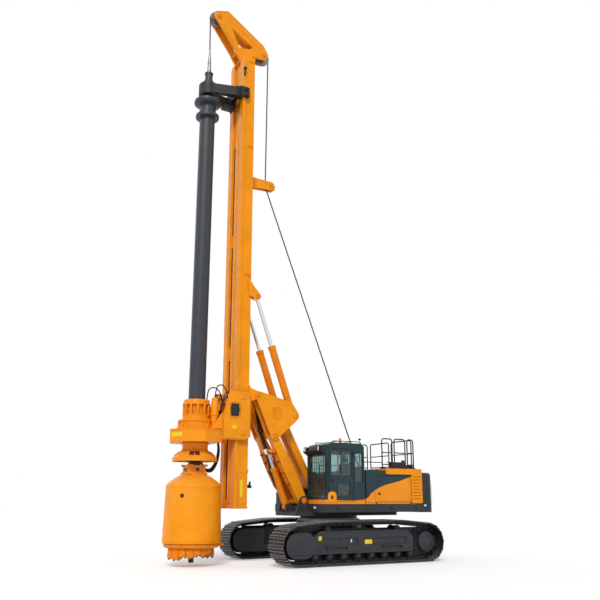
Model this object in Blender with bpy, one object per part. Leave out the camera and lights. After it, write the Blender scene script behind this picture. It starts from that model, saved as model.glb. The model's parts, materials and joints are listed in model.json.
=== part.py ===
"""Rotary piling rig on tracks: lower works, slewing upper works, boom linkage, mast, drive, kelly and bucket.

Metres, +X forward (towards the drilling tool), +Y left (cab side), +Z up.
The origin is on the ground, on the axis about which the upper works slew.
"""
import math

import bmesh
import bpy
from mathutils import Matrix, Vector

# Fits between pieces
SEAT_GAP = 0.0003
PIN_GAP = 0.002
EYE_GAP = 0.0005
ROD_GAP = 0.001
RAIL_GAP = 0.0005
OPEN_PIN_GAP = 0.012
RUN_GAP = 0.008
SINK = 0.015
CUT_OVERRUN = 0.05
MERGE_DISTANCE = 0.00001
ROUND_STEPS = 24
ROD_STEPS = 16
SMALL_STEPS = 10

# Tracks
TRACK_LENGTH = 5.30
TRACK_SPAN = 4.10
TRACK_TOP = 1.15
SHOE_WIDTH = 0.80
SHOE_COUNT = 50
LUG_HEIGHT = 0.05
SHOE_LEAN = 0.001
LINK_DEPTH = 0.10
WHEEL_PITCH_RADIUS = 0.48
WHEEL_TREAD_GAP = 0.02
TREAD_SHARE = 0.75
WHEEL_WIDTH = 0.26
CARRIER_X = 1.15
CARRIER_RADIUS = 0.09
ROLLER_RADIUS = 0.095
ROLLER_COUNT = 8
ROLLER_MARGIN = 0.07
ROLLER_WIDTH = 0.40
IDLER_CLEARANCE = 0.14
FRAME_WIDTH = 0.50
FRAME_BOTTOM = 0.30
FRAME_TOP = 0.88
FRAME_STEP_DEPTH = 0.03
FORK_PLATE = 0.05
FORK_HEIGHT = 0.24
HUB_RADIUS = 0.21
HUB_REACH = 0.10
SPROCKET_TEETH = 15
TOOTH_DEPTH = 0.05

# Lower works between the tracks
CENTRE_RADIUS = 0.95
CENTRE_BOTTOM = 0.55
LEG_BOTTOM = 0.40
LEG_TOP = 0.86
LEG_INNER_X = 0.15
LEG_WAIST_X = 0.75
LEG_TOE_X = 1.42
LEG_HEEL_X = 0.88
LEG_INNER_Y = 0.60
LEG_WAIST_Y = 0.25
RING_RADIUS = 0.84
RING_BOTTOM = 1.09
RING_TOP = 1.245
RING_BORE = 0.55

# Slewing deck
SLEW_PLATE_TOP = 1.36
SLEW_PLATE_REAR = -1.87
SLEW_PLATE_FRONT = 1.44
SLEW_PLATE_HALF = 0.85
SLEW_NOSE_HALF = 0.62
DECK_TOP = 1.57
DECK_FRONT = 1.00
DECK_REAR = -2.365
DECK_HALF = 1.50
DECK_BOTTOM = 1.345

# Boom linkage pins, all across the machine
BOOM_FOOT_X = 1.15
BOOM_FOOT_Z = 1.66
BOOM_HEAD_X = 2.09
BOOM_HEAD_Z = 3.44
LINK_HEAD_X = 1.62
LINK_HEAD_Z = 3.86
LINK_FOOT_X = LINK_HEAD_X - (BOOM_HEAD_X - BOOM_FOOT_X)
LINK_FOOT_Z = LINK_HEAD_Z - (BOOM_HEAD_Z - BOOM_FOOT_Z)
LUFF_FOOT_X = 1.43
LUFF_FOOT_Z = 1.50
LUFF_HEAD_X = 2.02
LUFF_HEAD_Z = 3.04
MAST_PIN_X = 2.62
MAST_PIN_Z = 4.57
TILT_FOOT_X = 1.44
TILT_FOOT_Z = 4.03
TILT_HEAD_X = 2.67
TILT_HEAD_Z = 7.49
PIN_RADIUS = 0.055

# Boom linkage plates
BOOM_LEG_Y = 0.40
BOOM_LEG_WIDTH = 0.22
BOOM_FOOT_RADIUS = 0.13
BOOM_BELLY_RADIUS = 0.17
BOOM_HEAD_RADIUS = 0.11
BOOM_TUBE_RADIUS = 0.085
LUFF_TUBE_RADIUS = 0.055
LUG_PLATE = 0.055
LUG_MARGIN = 0.02
LINK_HALF = 0.20
LINK_RADIUS = 0.10
LINK_WINDOW_HALF = 0.09
TRIANGLE_FRONT_RADIUS = 0.105
TRIANGLE_CREST_X = 1.62
TRIANGLE_CREST_Z = 4.30
TRIANGLE_CREST_RADIUS = 0.13
TRIANGLE_REAR_RADIUS = 0.14
TRIANGLE_FOOT_RADIUS = 0.12
TRIANGLE_HOLE_X = 2.04
TRIANGLE_HOLE_Z = 4.10
TRIANGLE_HOLE_RADIUS = 0.16
TRIANGLE_PIPE_WALL = 0.035
TRIANGLE_PLATE = 0.045

# Cylinders
TILT_BARREL_RADIUS = 0.105
TILT_ROD_RADIUS = 0.06
TILT_BARREL_LENGTH = 2.15
TILT_BORE_START = 1.20
TILT_ROD_LENGTH = 2.10
TILT_EYE_WIDTH = 0.12
LUFF_BARREL_RADIUS = 0.095
LUFF_ROD_RADIUS = 0.05
LUFF_BARREL_LENGTH = 1.15
LUFF_BORE_START = 0.45
LUFF_ROD_LENGTH = 1.05
LUFF_EYE_WIDTH = 0.14
EYE_WALL = 0.045
GLAND_LENGTH = 0.10
GLAND_RADIUS_EXTRA = 0.012

# Mast
MAST_X = 3.09
MAST_DEPTH = 0.42
MAST_HALF = 0.44
MAST_WALL = 0.04
MAST_BOTTOM = 1.45
MAST_TOP = 15.40
RAIL_HALF = 0.49
RAIL_DEPTH = 0.09
CHANNEL_HALF = 0.24
CHANNEL_DEPTH = 0.07
JOINT_BAND_Z = 2.40
JOINT_BAND_HEIGHT = 0.10
MAST_LUG_RADIUS = 0.10
MAST_LUG_WIDTH = BOOM_LEG_WIDTH
TILT_LUG_PLATE = 0.04
TILT_LUG_HEIGHT = 0.40
ARM_SHEAVE_X = 2.08
ARM_SHEAVE_Z = 11.31
ARM_SHEAVE_RADIUS = 0.17
ARM_PLATE = 0.035
ARM_ROOT_HEIGHT = 0.34

# Mast head
HEAD_PLATE = 0.05
HEAD_HALF = 0.20
HEAD_BASE_PLATE = 0.06
SHEAVE_RADIUS = 0.25
SHEAVE_WIDTH = 0.10
SHEAVE_GROOVE = 0.035
SHEAVE_HUB_RADIUS = 0.085
FRONT_SHEAVE_Z = 16.79
REAR_SHEAVE_X = 2.44
REAR_SHEAVE_Z = 15.86

# Kelly, its guide and the rotary drive
KELLY_X = 4.28
KELLY_RADIUS = 0.235
KELLY_TOP = 13.60
KELLY_TUBE_BOTTOM = 3.00
KELLY_CORE_RADIUS = 0.17
KELLY_CORE_BOTTOM = 2.72
KELLY_SQUARE_HALF = 0.135
KELLY_SQUARE_BOTTOM = 2.44
KELLY_FLANGE_RADIUS = 0.42
KELLY_FLANGE_Z = 13.52
KELLY_FLANGE_HEIGHT = 0.16
KELLY_COLLAR_RADIUS = 0.36
KELLY_COLLAR_Z = 13.12
KELLY_COLLAR_HEIGHT = 0.14
KELLY_NECK_RADIUS = 0.13
KELLY_NECK_TOP = 14.34
GUIDE_BOTTOM = 13.92
GUIDE_TOP = 14.26
GUIDE_RING_RADIUS = 0.30
GUIDE_ARM_WIDTH = 0.12
SWIVEL_BOTTOM_RADIUS = 0.15
SWIVEL_RADIUS = 0.10
SWIVEL_TOP = 15.12
SWIVEL_SHOULDER = 0.12
SWIVEL_TAPER = 0.20
SWIVEL_TIP = 0.08
CARRIAGE_BOTTOM = 3.28
CARRIAGE_TOP = 4.66
CARRIAGE_SIDE_Y = 0.52
CARRIAGE_PLATE = 0.055
CARRIAGE_FRONT_X = 3.72
CARRIAGE_HOLE_RADIUS = 0.15
CARRIAGE_HOLE_OFFSET = 0.06
CARRIAGE_TOE = 0.10
CARRIAGE_CORNER = 0.12
CARRIAGE_SHOULDER = 0.35
CARRIAGE_HEAD_REACH = 0.20
CARRIAGE_FACE_RISE = 0.30
CROSS_PLATE_GAP = 0.02
CROSS_PLATE_DROP = 0.06
CROSS_PLATE_HEIGHT = 0.26
HOOK_LENGTH = 0.30
HOOK_INSET = 0.04
GEARBOX_RADIUS = 0.75
GEARBOX_BOTTOM = 3.19
GEARBOX_TOP = 3.54
GEARBOX_REAR_HALF = 0.565
GEARBOX_CORNER = 0.03
GEARBOX_COLLAR_RADIUS = 0.50
GEARBOX_COLLAR_TOP = 3.80
MOTOR_RADIUS = 0.13
MOTOR_TOP = 4.45
MOTOR_X = 3.86
MOTOR_Y = 0.30
SLEEVE_BORE = 0.25
SLEEVE_RADIUS = 0.31
CAGE_RADIUS = 0.385
CAGE_TOP = 4.37
CAGE_RIBS = 12
CAGE_RIB_DEPTH = 0.035
LOWER_COLLAR_RADIUS = 0.37
SKIRT_RADIUS = 0.615
SKIRT_TOP = 2.99
SKIRT_BOTTOM = 2.69
SKIRT_WALL = 0.03

# Drilling bucket
BUCKET_TOP_RADIUS = 0.74
BUCKET_RADIUS = 0.78
BUCKET_WALL = 0.035
BUCKET_SHOULDER_Z = 2.05
BUCKET_SHOULDER_TOP = 2.34
BUCKET_NECK_HALF = 0.25
BUCKET_NECK_TOP = 2.61
BUCKET_BOTTOM = 0.58
BUCKET_RIM_HEIGHT = 0.05
EAR_ROOT_LIFT = 0.03
EAR_ROOT_HEIGHT = 0.17
FLOOR_PLATE_BOTTOM = 0.47
FLOOR_CONE_BOTTOM = 0.30
FLOOR_CONE_RADIUS = 0.30
FLOOR_HINGE_RADIUS = 0.82
FLOOR_HINGE_Z = 0.53
FLOOR_HINGE_BARREL = 0.035
FLOOR_HINGE_WIDTH = 0.34
TOOTH_LENGTH = 0.24
TOOTH_WIDTH = 0.07
TOOTH_COUNT = 7
TOOTH_EDGE = 0.06
TOOTH_INNER_RADIUS = 0.20
PILOT_BOTTOM = 0.08
PILOT_ROOT_DROP = 0.04
PILOT_POINT = 0.10
PILOT_RADIUS = 0.06

# Cab
CAB_FRONT = 0.98
CAB_REAR = -0.30
CAB_WIDTH = 1.04
CAB_ROOF = 3.24
CAB_WALL = 0.05
CAB_CORNER = 0.10
DOOR_REAR = 0.08
DOOR_FRONT = 0.88
DOOR_BOTTOM = 1.64
DOOR_TOP = 3.08
DOOR_WINDOW_BOTTOM = 2.34
DOOR_FRAME = 0.06
DOOR_LOW_TOP = 2.12
DOOR_LOW_BOTTOM = 1.80
DOOR_LOW_REAR = 0.20
DOOR_LOW_FRONT = 0.60
DOOR_HINGE_OUT = 0.02
HINGE_RADIUS = 0.014
HINGE_KNUCKLE = 0.05
HINGE_LEAF = 0.034
HINGE_SHARES = (0.08, 0.86)
GLASS = 0.012
WINDSCREEN_BOTTOM = 1.74
WINDSCREEN_TOP = 3.04
WINDOW_EDGE = 0.07
QUARTER_BOTTOM = 2.16
QUARTER_FRONT = 0.02
REAR_WINDOW_BOTTOM = 2.60
SIDE_WINDOW_BOTTOM = 2.05
SIDE_WINDOW_FRONT = 0.84
SIDE_WINDOW_REAR = -0.16
SEAT_X = 0.18
SEAT_HALF = 0.25
SEAT_HEIGHT = 0.55
CUSHION = 0.12
BACK_HEIGHT = 0.68
CONSOLE_WIDTH = 0.13
CONSOLE_HEIGHT = 0.62
VISOR_REACH = 0.16
VISOR_HEIGHT = 0.14
LAMP_HALF = 0.05
BEACON_X = 0.38
BEACON_INSET = 0.20
BEACON_RADIUS = 0.055
BEACON_HEIGHT = 0.15

# House, counterweight and what stands on the deck
HOUSE_FRONT = -0.36
HOUSE_REAR = -2.355
HOUSE_INSET = 0.03
HOUSE_ROOF = 2.50
HOUSE_WALL = 0.04
HOUSE_CORNER = 0.06
WELL_HALF = 0.42
WELL_FRONT = -1.12
WELL_REAR = -2.14
SERVICE_FRONT = -0.74
SERVICE_REAR = -1.92
SERVICE_BOTTOM = 1.63
SERVICE_TOP = 2.36
COWL_FRONT = -1.06
COWL_TOP = 2.565
COWL_BAND_BOTTOM = 2.40
COWL_WALL = 0.035
COWL_SIDE_FRONT = -1.975
COWL_SIDE_BOTTOM = 1.60
LOUVRE_COUNT = 8
LOUVRE_HEIGHT = 0.035
COUNTERWEIGHT_REAR = -2.76
COUNTERWEIGHT_BOTTOM = 1.33
COUNTERWEIGHT_TOP = 2.47
COUNTERWEIGHT_CORNER = 0.16
COUNTERWEIGHT_BEVEL = 0.08
ENGINE_FRONT = -1.00
ENGINE_REAR = -2.20
ENGINE_WIDTH = 0.72
ENGINE_INSET = 0.19
ENGINE_TOP = 2.32
WINCH_X = -1.64
WINCH_Z = 2.06
WINCH_DRUM_RADIUS = 0.26
WINCH_FLANGE_RADIUS = 0.36
WINCH_HALF = 0.31
WINCH_FLANGE = 0.04
WINCH_PLATE = 0.05
TANK_FRONT = 0.60
TANK_REAR = -0.32
TANK_WIDTH = 0.97
TANK_TOP = 2.46
STEP_BOX_FRONT = 0.985
STEP_BOX_REAR = 0.64
STEP_BOX_WIDTH = 0.75
STEP_BOX_TOP = 1.92
GRAB_RAIL_HEIGHT = 0.55
RAIL_TUBE_RADIUS = 0.019
RAIL_HEIGHT = 0.86
RAIL_MID_SHARE = 0.52
RAIL_INSET = 0.25
RAIL_BEND = 0.07
RAIL_BASE = 0.03
RAIL_BASE_HALF = 0.035
AIR_BOX_FRONT = -1.33
AIR_BOX_REAR = -1.80
AIR_BOX_WIDTH = 0.14
AIR_BOX_INSET = 0.03
AIR_BOX_HEIGHT = 0.18
EXHAUST_X = -2.16
EXHAUST_INSET = 0.61
EXHAUST_RADIUS = 0.055
EXHAUST_HEIGHT = 0.26

# Worked out from the sizes above
TRACK_Y = (TRACK_SPAN - SHOE_WIDTH) / 2
WHEEL_X = TRACK_LENGTH / 2 - WHEEL_PITCH_RADIUS - LUG_HEIGHT
WHEEL_Z = WHEEL_PITCH_RADIUS + LUG_HEIGHT
WHEEL_RADIUS = WHEEL_PITCH_RADIUS - LINK_DEPTH - WHEEL_TREAD_GAP
FRAME_REACH = WHEEL_X - WHEEL_RADIUS - IDLER_CLEARANCE
ROLLER_REACH = FRAME_REACH - ROLLER_MARGIN
DECK_SEAT = DECK_TOP + SEAT_GAP
HOUSE_HALF = DECK_HALF - HOUSE_INSET
CAB_OUTER_Y = DECK_HALF
CAB_INNER_Y = CAB_OUTER_Y - CAB_WIDTH
SEAT_Y = (CAB_INNER_Y + CAB_OUTER_Y) / 2
BEACON_Y = CAB_OUTER_Y - BEACON_INSET
ENGINE_OUTER_Y = ENGINE_INSET - HOUSE_HALF
ENGINE_INNER_Y = ENGINE_OUTER_Y + ENGINE_WIDTH
TANK_INNER_Y = TANK_WIDTH - HOUSE_HALF
STEP_BOX_INNER_Y = STEP_BOX_WIDTH - HOUSE_HALF
RAIL_Y = HOUSE_HALF - RAIL_INSET
AIR_BOX_OUTER_Y = HOUSE_HALF - AIR_BOX_INSET
AIR_BOX_INNER_Y = AIR_BOX_OUTER_Y - AIR_BOX_WIDTH
EXHAUST_Y = HOUSE_HALF - EXHAUST_INSET
FLOOR_TOP = BUCKET_BOTTOM - SEAT_GAP
MAST_REAR = MAST_X - MAST_DEPTH / 2
MAST_FRONT = MAST_X + MAST_DEPTH / 2
FRONT_SHEAVE_X = KELLY_X - SHEAVE_RADIUS + SHEAVE_GROOVE
COUNTERWEIGHT_FRONT = DECK_REAR - SEAT_GAP
LEG_INNER_FACE = BOOM_LEG_Y - BOOM_LEG_WIDTH / 2
LEG_OUTER_FACE = BOOM_LEG_Y + BOOM_LEG_WIDTH / 2

# Paints: red, green and blue shares, metallic share, roughness share
PAINT_SHARES = {
    "yellow": (0.86, 0.36, 0.02, 0.0, 0.42),
    "teal": (0.012, 0.045, 0.055, 0.0, 0.38),
    "grey": (0.035, 0.038, 0.042, 0.0, 0.50),
    "black": (0.012, 0.012, 0.013, 0.0, 0.55),
    "kelly": (0.045, 0.052, 0.062, 0.2, 0.45),
    "track": (0.020, 0.020, 0.021, 0.4, 0.60),
    "chrome": (0.75, 0.76, 0.78, 1.0, 0.12),
    "glass": (0.05, 0.08, 0.09, 0.0, 0.05),
    "amber": (0.90, 0.35, 0.03, 0.0, 0.25),
    "cloth": (0.02, 0.02, 0.02, 0.0, 0.85),
    "steel": (0.30, 0.30, 0.31, 0.9, 0.40),
}


def clear_scene():
    """Remove every object, so that the rig is all the scene holds."""
    for item in list(bpy.data.objects):
        bpy.data.objects.remove(item, do_unlink=True)


def paint(name):
    """Return the material of one paint, made on first use."""
    material = bpy.data.materials.get(name)
    if material is None:
        red, green, blue, metallic, roughness = PAINT_SHARES[name]
        material = bpy.data.materials.new(name)
        material.use_nodes = True
        shader = material.node_tree.nodes["Principled BSDF"]
        shader.inputs["Base Color"].default_value = (red, green, blue, 1)
        shader.inputs["Metallic"].default_value = metallic
        shader.inputs["Roughness"].default_value = roughness
        material.diffuse_color = (red, green, blue, 1)
    return material


def mesh_of(bm):
    """Turn a bmesh into a mesh with its faces pointing out."""
    bmesh.ops.remove_doubles(bm, verts=bm.verts, dist=MERGE_DISTANCE)
    bmesh.ops.recalc_face_normals(bm, faces=bm.faces)
    mesh = bpy.data.meshes.new("shape")
    bm.to_mesh(mesh)
    bm.free()
    return mesh


def block(x, y, z, corner=0, steps=2):
    """Return a box over three (low, high) spans, its edges rounded by the corner radius."""
    bm = bmesh.new()
    bmesh.ops.create_cube(bm, size=1)
    for vert in bm.verts:
        share = vert.co + Vector((1, 1, 1)) / 2
        vert.co = Vector([low + s * (high - low) for s, (low, high) in zip(share, (x, y, z))])
    if corner:
        bmesh.ops.bevel(bm, geom=bm.edges[:], offset=corner, segments=steps, affect="EDGES", profile=0.5)
    return mesh_of(bm)


def prism(outline, axis, low, high):
    """Extrude a closed outline along an axis. Outline axes: X takes (y, z), Y takes (x, z), Z takes (x, y)."""
    place = {
        "X": lambda a, b, c: (c, a, b),
        "Y": lambda a, b, c: (a, c, b),
        "Z": lambda a, b, c: (a, b, c),
    }[axis]
    bm = bmesh.new()
    face = bm.faces.new([bm.verts.new(place(a, b, low)) for a, b in outline])
    moved = bmesh.ops.extrude_face_region(bm, geom=[face])["geom"]
    verts = [item for item in moved if isinstance(item, bmesh.types.BMVert)]
    bmesh.ops.translate(bm, vec=Vector(place(0, 0, high - low)), verts=verts)
    return mesh_of(bm)


def turned(profile, centre, axis="Z", steps=ROUND_STEPS):
    """Turn a closed profile of (radius, place along the axis) points about an axis through centre."""
    way = {"X": Vector((1, 0, 0)), "Y": Vector((0, 1, 0)), "Z": Vector((0, 0, 1))}[axis]
    side = Vector((0, 0, 1)) if axis == "X" else Vector((1, 0, 0))
    bm = bmesh.new()
    verts = [bm.verts.new(Vector(centre) + side * radius + way * along) for radius, along in profile]
    edges = [bm.edges.new((a, b)) for a, b in zip(verts, verts[1:] + verts[:1])
             if (a.co - b.co).length > MERGE_DISTANCE]
    loose = [e for e in edges if all(abs((v.co - Vector(centre)).dot(side)) < MERGE_DISTANCE for v in e.verts)]
    for edge in loose:
        edges.remove(edge)
        bm.edges.remove(edge)
    bmesh.ops.spin(bm, geom=verts + edges, cent=Vector(centre), axis=way, angle=math.tau, steps=steps,
                   use_merge=True)
    return mesh_of(bm)


def rod(start, end, radius, steps=ROD_STEPS):
    """Return a round bar between two points."""
    start, end = Vector(start), Vector(end)
    way = end - start
    turn = way.to_track_quat("Z", "Y").to_matrix().to_4x4()
    bm = bmesh.new()
    bmesh.ops.create_cone(bm, cap_ends=True, segments=steps, radius1=radius, radius2=radius,
                          depth=way.length, matrix=Matrix.Translation((start + end) / 2) @ turn)
    return mesh_of(bm)


def cross_rod(x, z, radius, low, high, steps=ROD_STEPS):
    """Return a round bar across the machine, at x and z, from y low to y high."""
    return rod((x, low, z), (x, high, z), radius, steps)


def tube(points, radius, steps=6):
    """Return a round tube along a bent path of points, mitred at its bends, with closed ends."""
    points = [Vector(point) for point in points]
    ways = [(after - before).normalized() for before, after in zip(points, points[1:])]
    bm = bmesh.new()
    side = ways[0].orthogonal().normalized()
    rings = []
    for index, point in enumerate(points):
        before = ways[max(index - 1, 0)]
        after = ways[min(index, len(ways) - 1)]
        side = before.rotation_difference(after) @ side if index else side
        across = after.cross(side)
        plane = (before + after).normalized()
        ring = []
        for step in range(steps):
            angle = math.tau * step / steps
            spoke = (side * math.cos(angle) + across * math.sin(angle)) * radius
            ring.append(bm.verts.new(point + spoke - after * (spoke.dot(plane) / after.dot(plane))))
        rings.append(ring)
    for ring, following in zip(rings, rings[1:]):
        for step in range(steps):
            turn = (step + 1) % steps
            bm.faces.new((ring[step], ring[turn], following[turn], following[step]))
    bm.faces.new(rings[0])
    bm.faces.new(rings[-1])
    return mesh_of(bm)


def belt(circles, steps=6):
    """Return the taut outline round circles of (x, z, radius), given anticlockwise in x and z."""
    outline = []
    count = len(circles)
    normals = []
    for index, (x, z, radius) in enumerate(circles):
        next_x, next_z, next_radius = circles[(index + 1) % count]
        along = Vector((next_x - x, next_z - z))
        distance = along.length
        along /= distance
        out = Vector((along.y, -along.x))
        lean = (radius - next_radius) / distance
        normals.append(along * lean + out * math.sqrt(1 - lean * lean))
    for index, (x, z, radius) in enumerate(circles):
        start = math.atan2(normals[index - 1].y, normals[index - 1].x)
        sweep = (math.atan2(normals[index].y, normals[index].x) - start) % math.tau
        parts = max(1, round(steps * sweep / math.pi))
        for part in range(parts + 1):
            angle = start + sweep * part / parts
            outline.append((x + radius * math.cos(angle), z + radius * math.sin(angle)))
    return outline


def mirrored(mesh):
    """Return a copy of a mesh on the other side of the machine's centre plane."""
    bm = bmesh.new()
    bm.from_mesh(mesh)
    bmesh.ops.scale(bm, vec=Vector((1, -1, 1)), verts=bm.verts)
    return mesh_of(bm)


def both_sides(mesh):
    """Return a mesh and its mirror copy."""
    return [mesh, mirrored(mesh)]


def fuse(name, colour, solids, holes=(), pivot=(0, 0, 0), tilt=0):
    """Join solids into one body, cut the holes from it, and place it with its origin on its pivot.

    With a tilt, the shapes are given in the piece's own frame and turned about Y at the pivot.
    """
    body = bpy.data.objects.new(name, solids[0])
    bpy.context.collection.objects.link(body)
    helpers = []
    for operation, meshes in (("UNION", solids[1:]), ("DIFFERENCE", holes)):
        for mesh in meshes:
            helper = bpy.data.objects.new(name + "_tool", mesh)
            helper.hide_render = True
            helper.display_type = "WIRE"
            bpy.context.collection.objects.link(helper)
            modifier = body.modifiers.new(operation.lower(), "BOOLEAN")
            modifier.operation = operation
            modifier.solver = "EXACT"
            modifier.object = helper
            helpers.append(helper)
    if helpers:
        graph = bpy.context.evaluated_depsgraph_get()
        mesh = bpy.data.meshes.new_from_object(body.evaluated_get(graph))
        body.modifiers.clear()
        body.data = mesh
        for helper in helpers:
            bpy.data.objects.remove(helper, do_unlink=True)
    if tilt:
        body.rotation_euler = (0, tilt, 0)
    else:
        body.data.transform(Matrix.Translation(-Vector(pivot)))
    body.location = pivot
    body.data.name = name
    body.data.materials.clear()
    body.data.materials.append(paint(colour))
    body.data.shade_smooth()
    body.data.set_sharp_from_angle(angle=math.radians(32))
    return body


def refuse(body, solids):
    """Join more solids to a body that stands at the world's origin."""
    fused = fuse(body.name + "_whole", body.data.materials[0].name, [body.data] + solids)
    name = body.name
    bpy.data.objects.remove(body, do_unlink=True)
    fused.name = name
    fused.data.name = name


# Track shoe outline: share along the pitch, height share of the lug
SHOE_SHARES = (
    (0.03, -0.25),
    (0.03, 0.35),
    (0.36, 0.35),
    (0.42, 1.00),
    (0.58, 1.00),
    (0.64, 0.35),
    (0.97, 0.35),
    (0.97, -0.25),
)


def track_pins():
    """Return the places of the shoes' joints round the loop, in x and z."""
    carrier = CARRIER_RADIUS + LINK_DEPTH
    carrier_z = TRACK_TOP - LUG_HEIGHT - carrier
    path = belt([
        (-WHEEL_X, WHEEL_Z, WHEEL_PITCH_RADIUS),
        (WHEEL_X, WHEEL_Z, WHEEL_PITCH_RADIUS),
        (CARRIER_X, carrier_z, carrier),
        (-CARRIER_X, carrier_z, carrier),
    ], steps=40)
    path = [Vector(point) for point in path]
    lengths = [(b - a).length for a, b in zip(path, path[1:] + path[:1])]
    pitch = sum(lengths) / SHOE_COUNT
    pins = []
    travelled = 0
    target = 0
    for start, end, length in zip(path, path[1:] + path[:1], lengths):
        while target < travelled + length and len(pins) < SHOE_COUNT:
            pins.append(start.lerp(end, (target - travelled) / length))
            target += pitch
        travelled += length
    return pins


def shoe_outline(pins, lean):
    """Return the shoes' outline round the loop in x and z, its lugs lower by the lean."""
    outer = []
    for pin, after in zip(pins, pins[1:] + pins[:1]):
        along = after - pin
        out = Vector((along.y, -along.x)).normalized()
        for share, height_share in SHOE_SHARES:
            drop = lean if height_share > 0 else 0
            outer.append(pin + along * share + out * (LUG_HEIGHT * height_share - drop))
    return outer


def track(name, side):
    """Build one track as a closed loop, with its shoes and lugs in its outline.

    The lugs lean outwards by a hair, so that each shoe stands on its outer end.
    """
    pins = track_pins()
    inner = []
    for before, pin, after in zip(pins[-1:] + pins[:-1], pins, pins[1:] + pins[:1]):
        along = after - before
        out = Vector((along.y, -along.x)).normalized()
        inner.append(pin - out * LINK_DEPTH)
    near_y = side * (TRACK_Y - SHOE_WIDTH / 2)
    far_y = side * (TRACK_Y + SHOE_WIDTH / 2)
    bm = bmesh.new()
    loops = []
    per_shoe = len(SHOE_SHARES)
    for y, lean in ((near_y, SHOE_LEAN), (far_y, 0)):
        outside = [bm.verts.new((p.x, y, p.y)) for p in shoe_outline(pins, lean)]
        inside = [bm.verts.new((p.x, y, p.y)) for p in inner]
        loops.append((outside, inside))
        for index in range(SHOE_COUNT):
            start = index * per_shoe
            following = (start + per_shoe) % len(outside)
            after = (index + 1) % SHOE_COUNT
            ring = outside[start:start + per_shoe] + [outside[following], inside[after], inside[index]]
            bm.faces.new(ring)
    for near, far in zip(loops[0], loops[1]):
        count = len(near)
        for index in range(count):
            after = (index + 1) % count
            bm.faces.new((near[index], near[after], far[after], far[index]))
    fuse(name, "track", [mesh_of(bm)])


def track_frame(name, side):
    """Build one side frame: beam, rollers, carrier rollers and the forks that hold idler and final drive."""
    middle = side * TRACK_Y
    half = FRAME_WIDTH / 2
    beam_outline = [
        (-FRAME_REACH, FRAME_BOTTOM), (FRAME_REACH, FRAME_BOTTOM),
        (FRAME_REACH, FRAME_TOP - 2 * ROLLER_RADIUS), (FRAME_REACH - 2 * ROLLER_RADIUS, FRAME_TOP),
        (-FRAME_REACH + 2 * ROLLER_RADIUS, FRAME_TOP), (-FRAME_REACH, FRAME_TOP - 2 * ROLLER_RADIUS),
    ]
    solids = [prism(beam_outline, "Y", middle - half, middle + half)]
    roller_z = LUG_HEIGHT + LINK_DEPTH + ROLLER_RADIUS + SEAT_GAP
    for index in range(ROLLER_COUNT):
        x = -ROLLER_REACH + 2 * ROLLER_REACH * index / (ROLLER_COUNT - 1)
        solids.append(cross_rod(x, roller_z, ROLLER_RADIUS, middle - ROLLER_WIDTH / 2,
                                middle + ROLLER_WIDTH / 2, SMALL_STEPS))
    carrier_z = TRACK_TOP - LUG_HEIGHT - LINK_DEPTH - CARRIER_RADIUS - RUN_GAP
    for x in (-CARRIER_X, CARRIER_X):
        solids.append(cross_rod(x, carrier_z, CARRIER_RADIUS, middle - ROLLER_WIDTH / 2,
                                middle + ROLLER_WIDTH / 2, SMALL_STEPS))
    gap = WHEEL_WIDTH / 2 + SEAT_GAP
    fork_z = (WHEEL_Z - FORK_HEIGHT / 2, WHEEL_Z + FORK_HEIGHT / 2)
    for face in (-1, 1):
        inner, outer = sorted((middle + face * gap, middle + face * (gap + FORK_PLATE)))
        solids.append(block((FRAME_REACH - SINK, WHEEL_X + FORK_HEIGHT / 2), (inner, outer), fork_z))
    rear_plate = sorted((middle - side * gap, middle - side * (gap + FORK_PLATE)))
    solids.append(block((-WHEEL_X - FORK_HEIGHT / 2, -FRAME_REACH + SINK), rear_plate, fork_z))
    holes = []
    step_z = (FRAME_BOTTOM + 2 * ROLLER_RADIUS, FRAME_TOP - 2 * ROLLER_RADIUS)
    outer_face = middle + side * half
    step_y = sorted((outer_face - side * FRAME_STEP_DEPTH, outer_face + side * CUT_OVERRUN))
    for low, high in ((-FRAME_REACH + FORK_HEIGHT, -FORK_HEIGHT), (FORK_HEIGHT, FRAME_REACH - FORK_HEIGHT)):
        holes.append(block((low, high), step_y, step_z))
    fuse(name, "grey", solids, holes)


def idler(name, side):
    """Build the front wheel of one track."""
    tread = WHEEL_WIDTH / 2
    flat = tread * TREAD_SHARE
    rim = WHEEL_RADIUS
    profile = [(0, -tread), (HUB_RADIUS / 2, -tread), (HUB_RADIUS, -tread / 2), (rim - tread / 2, -tread / 2),
               (rim, -flat), (rim, flat), (rim - tread / 2, tread / 2),
               (HUB_RADIUS, tread / 2), (HUB_RADIUS / 2, tread), (0, tread)]
    fuse(name, "track", [turned(profile, (WHEEL_X, side * TRACK_Y, WHEEL_Z), "Y", ROUND_STEPS)])


def sprocket(name, side):
    """Build the toothed drive wheel of one track, with its final drive's hub outside."""
    middle = side * TRACK_Y
    outline = []
    for tooth in range(SPROCKET_TEETH):
        for share, depth in ((0.0, TOOTH_DEPTH), (0.35, TOOTH_DEPTH), (0.55, 0), (0.80, 0)):
            angle = math.tau * (tooth + share) / SPROCKET_TEETH
            radius = WHEEL_RADIUS - depth
            outline.append((-WHEEL_X + radius * math.cos(angle), WHEEL_Z + radius * math.sin(angle)))
    tooth_half = WHEEL_WIDTH / 6
    hub = sorted((middle - side * WHEEL_WIDTH / 2, middle + side * (WHEEL_WIDTH / 2 + HUB_REACH)))
    solids = [
        prism(outline, "Y", middle - tooth_half, middle + tooth_half),
        cross_rod(-WHEEL_X, WHEEL_Z, HUB_RADIUS, hub[0], hub[1], ROUND_STEPS),
    ]
    fuse(name, "grey", solids)


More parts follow.
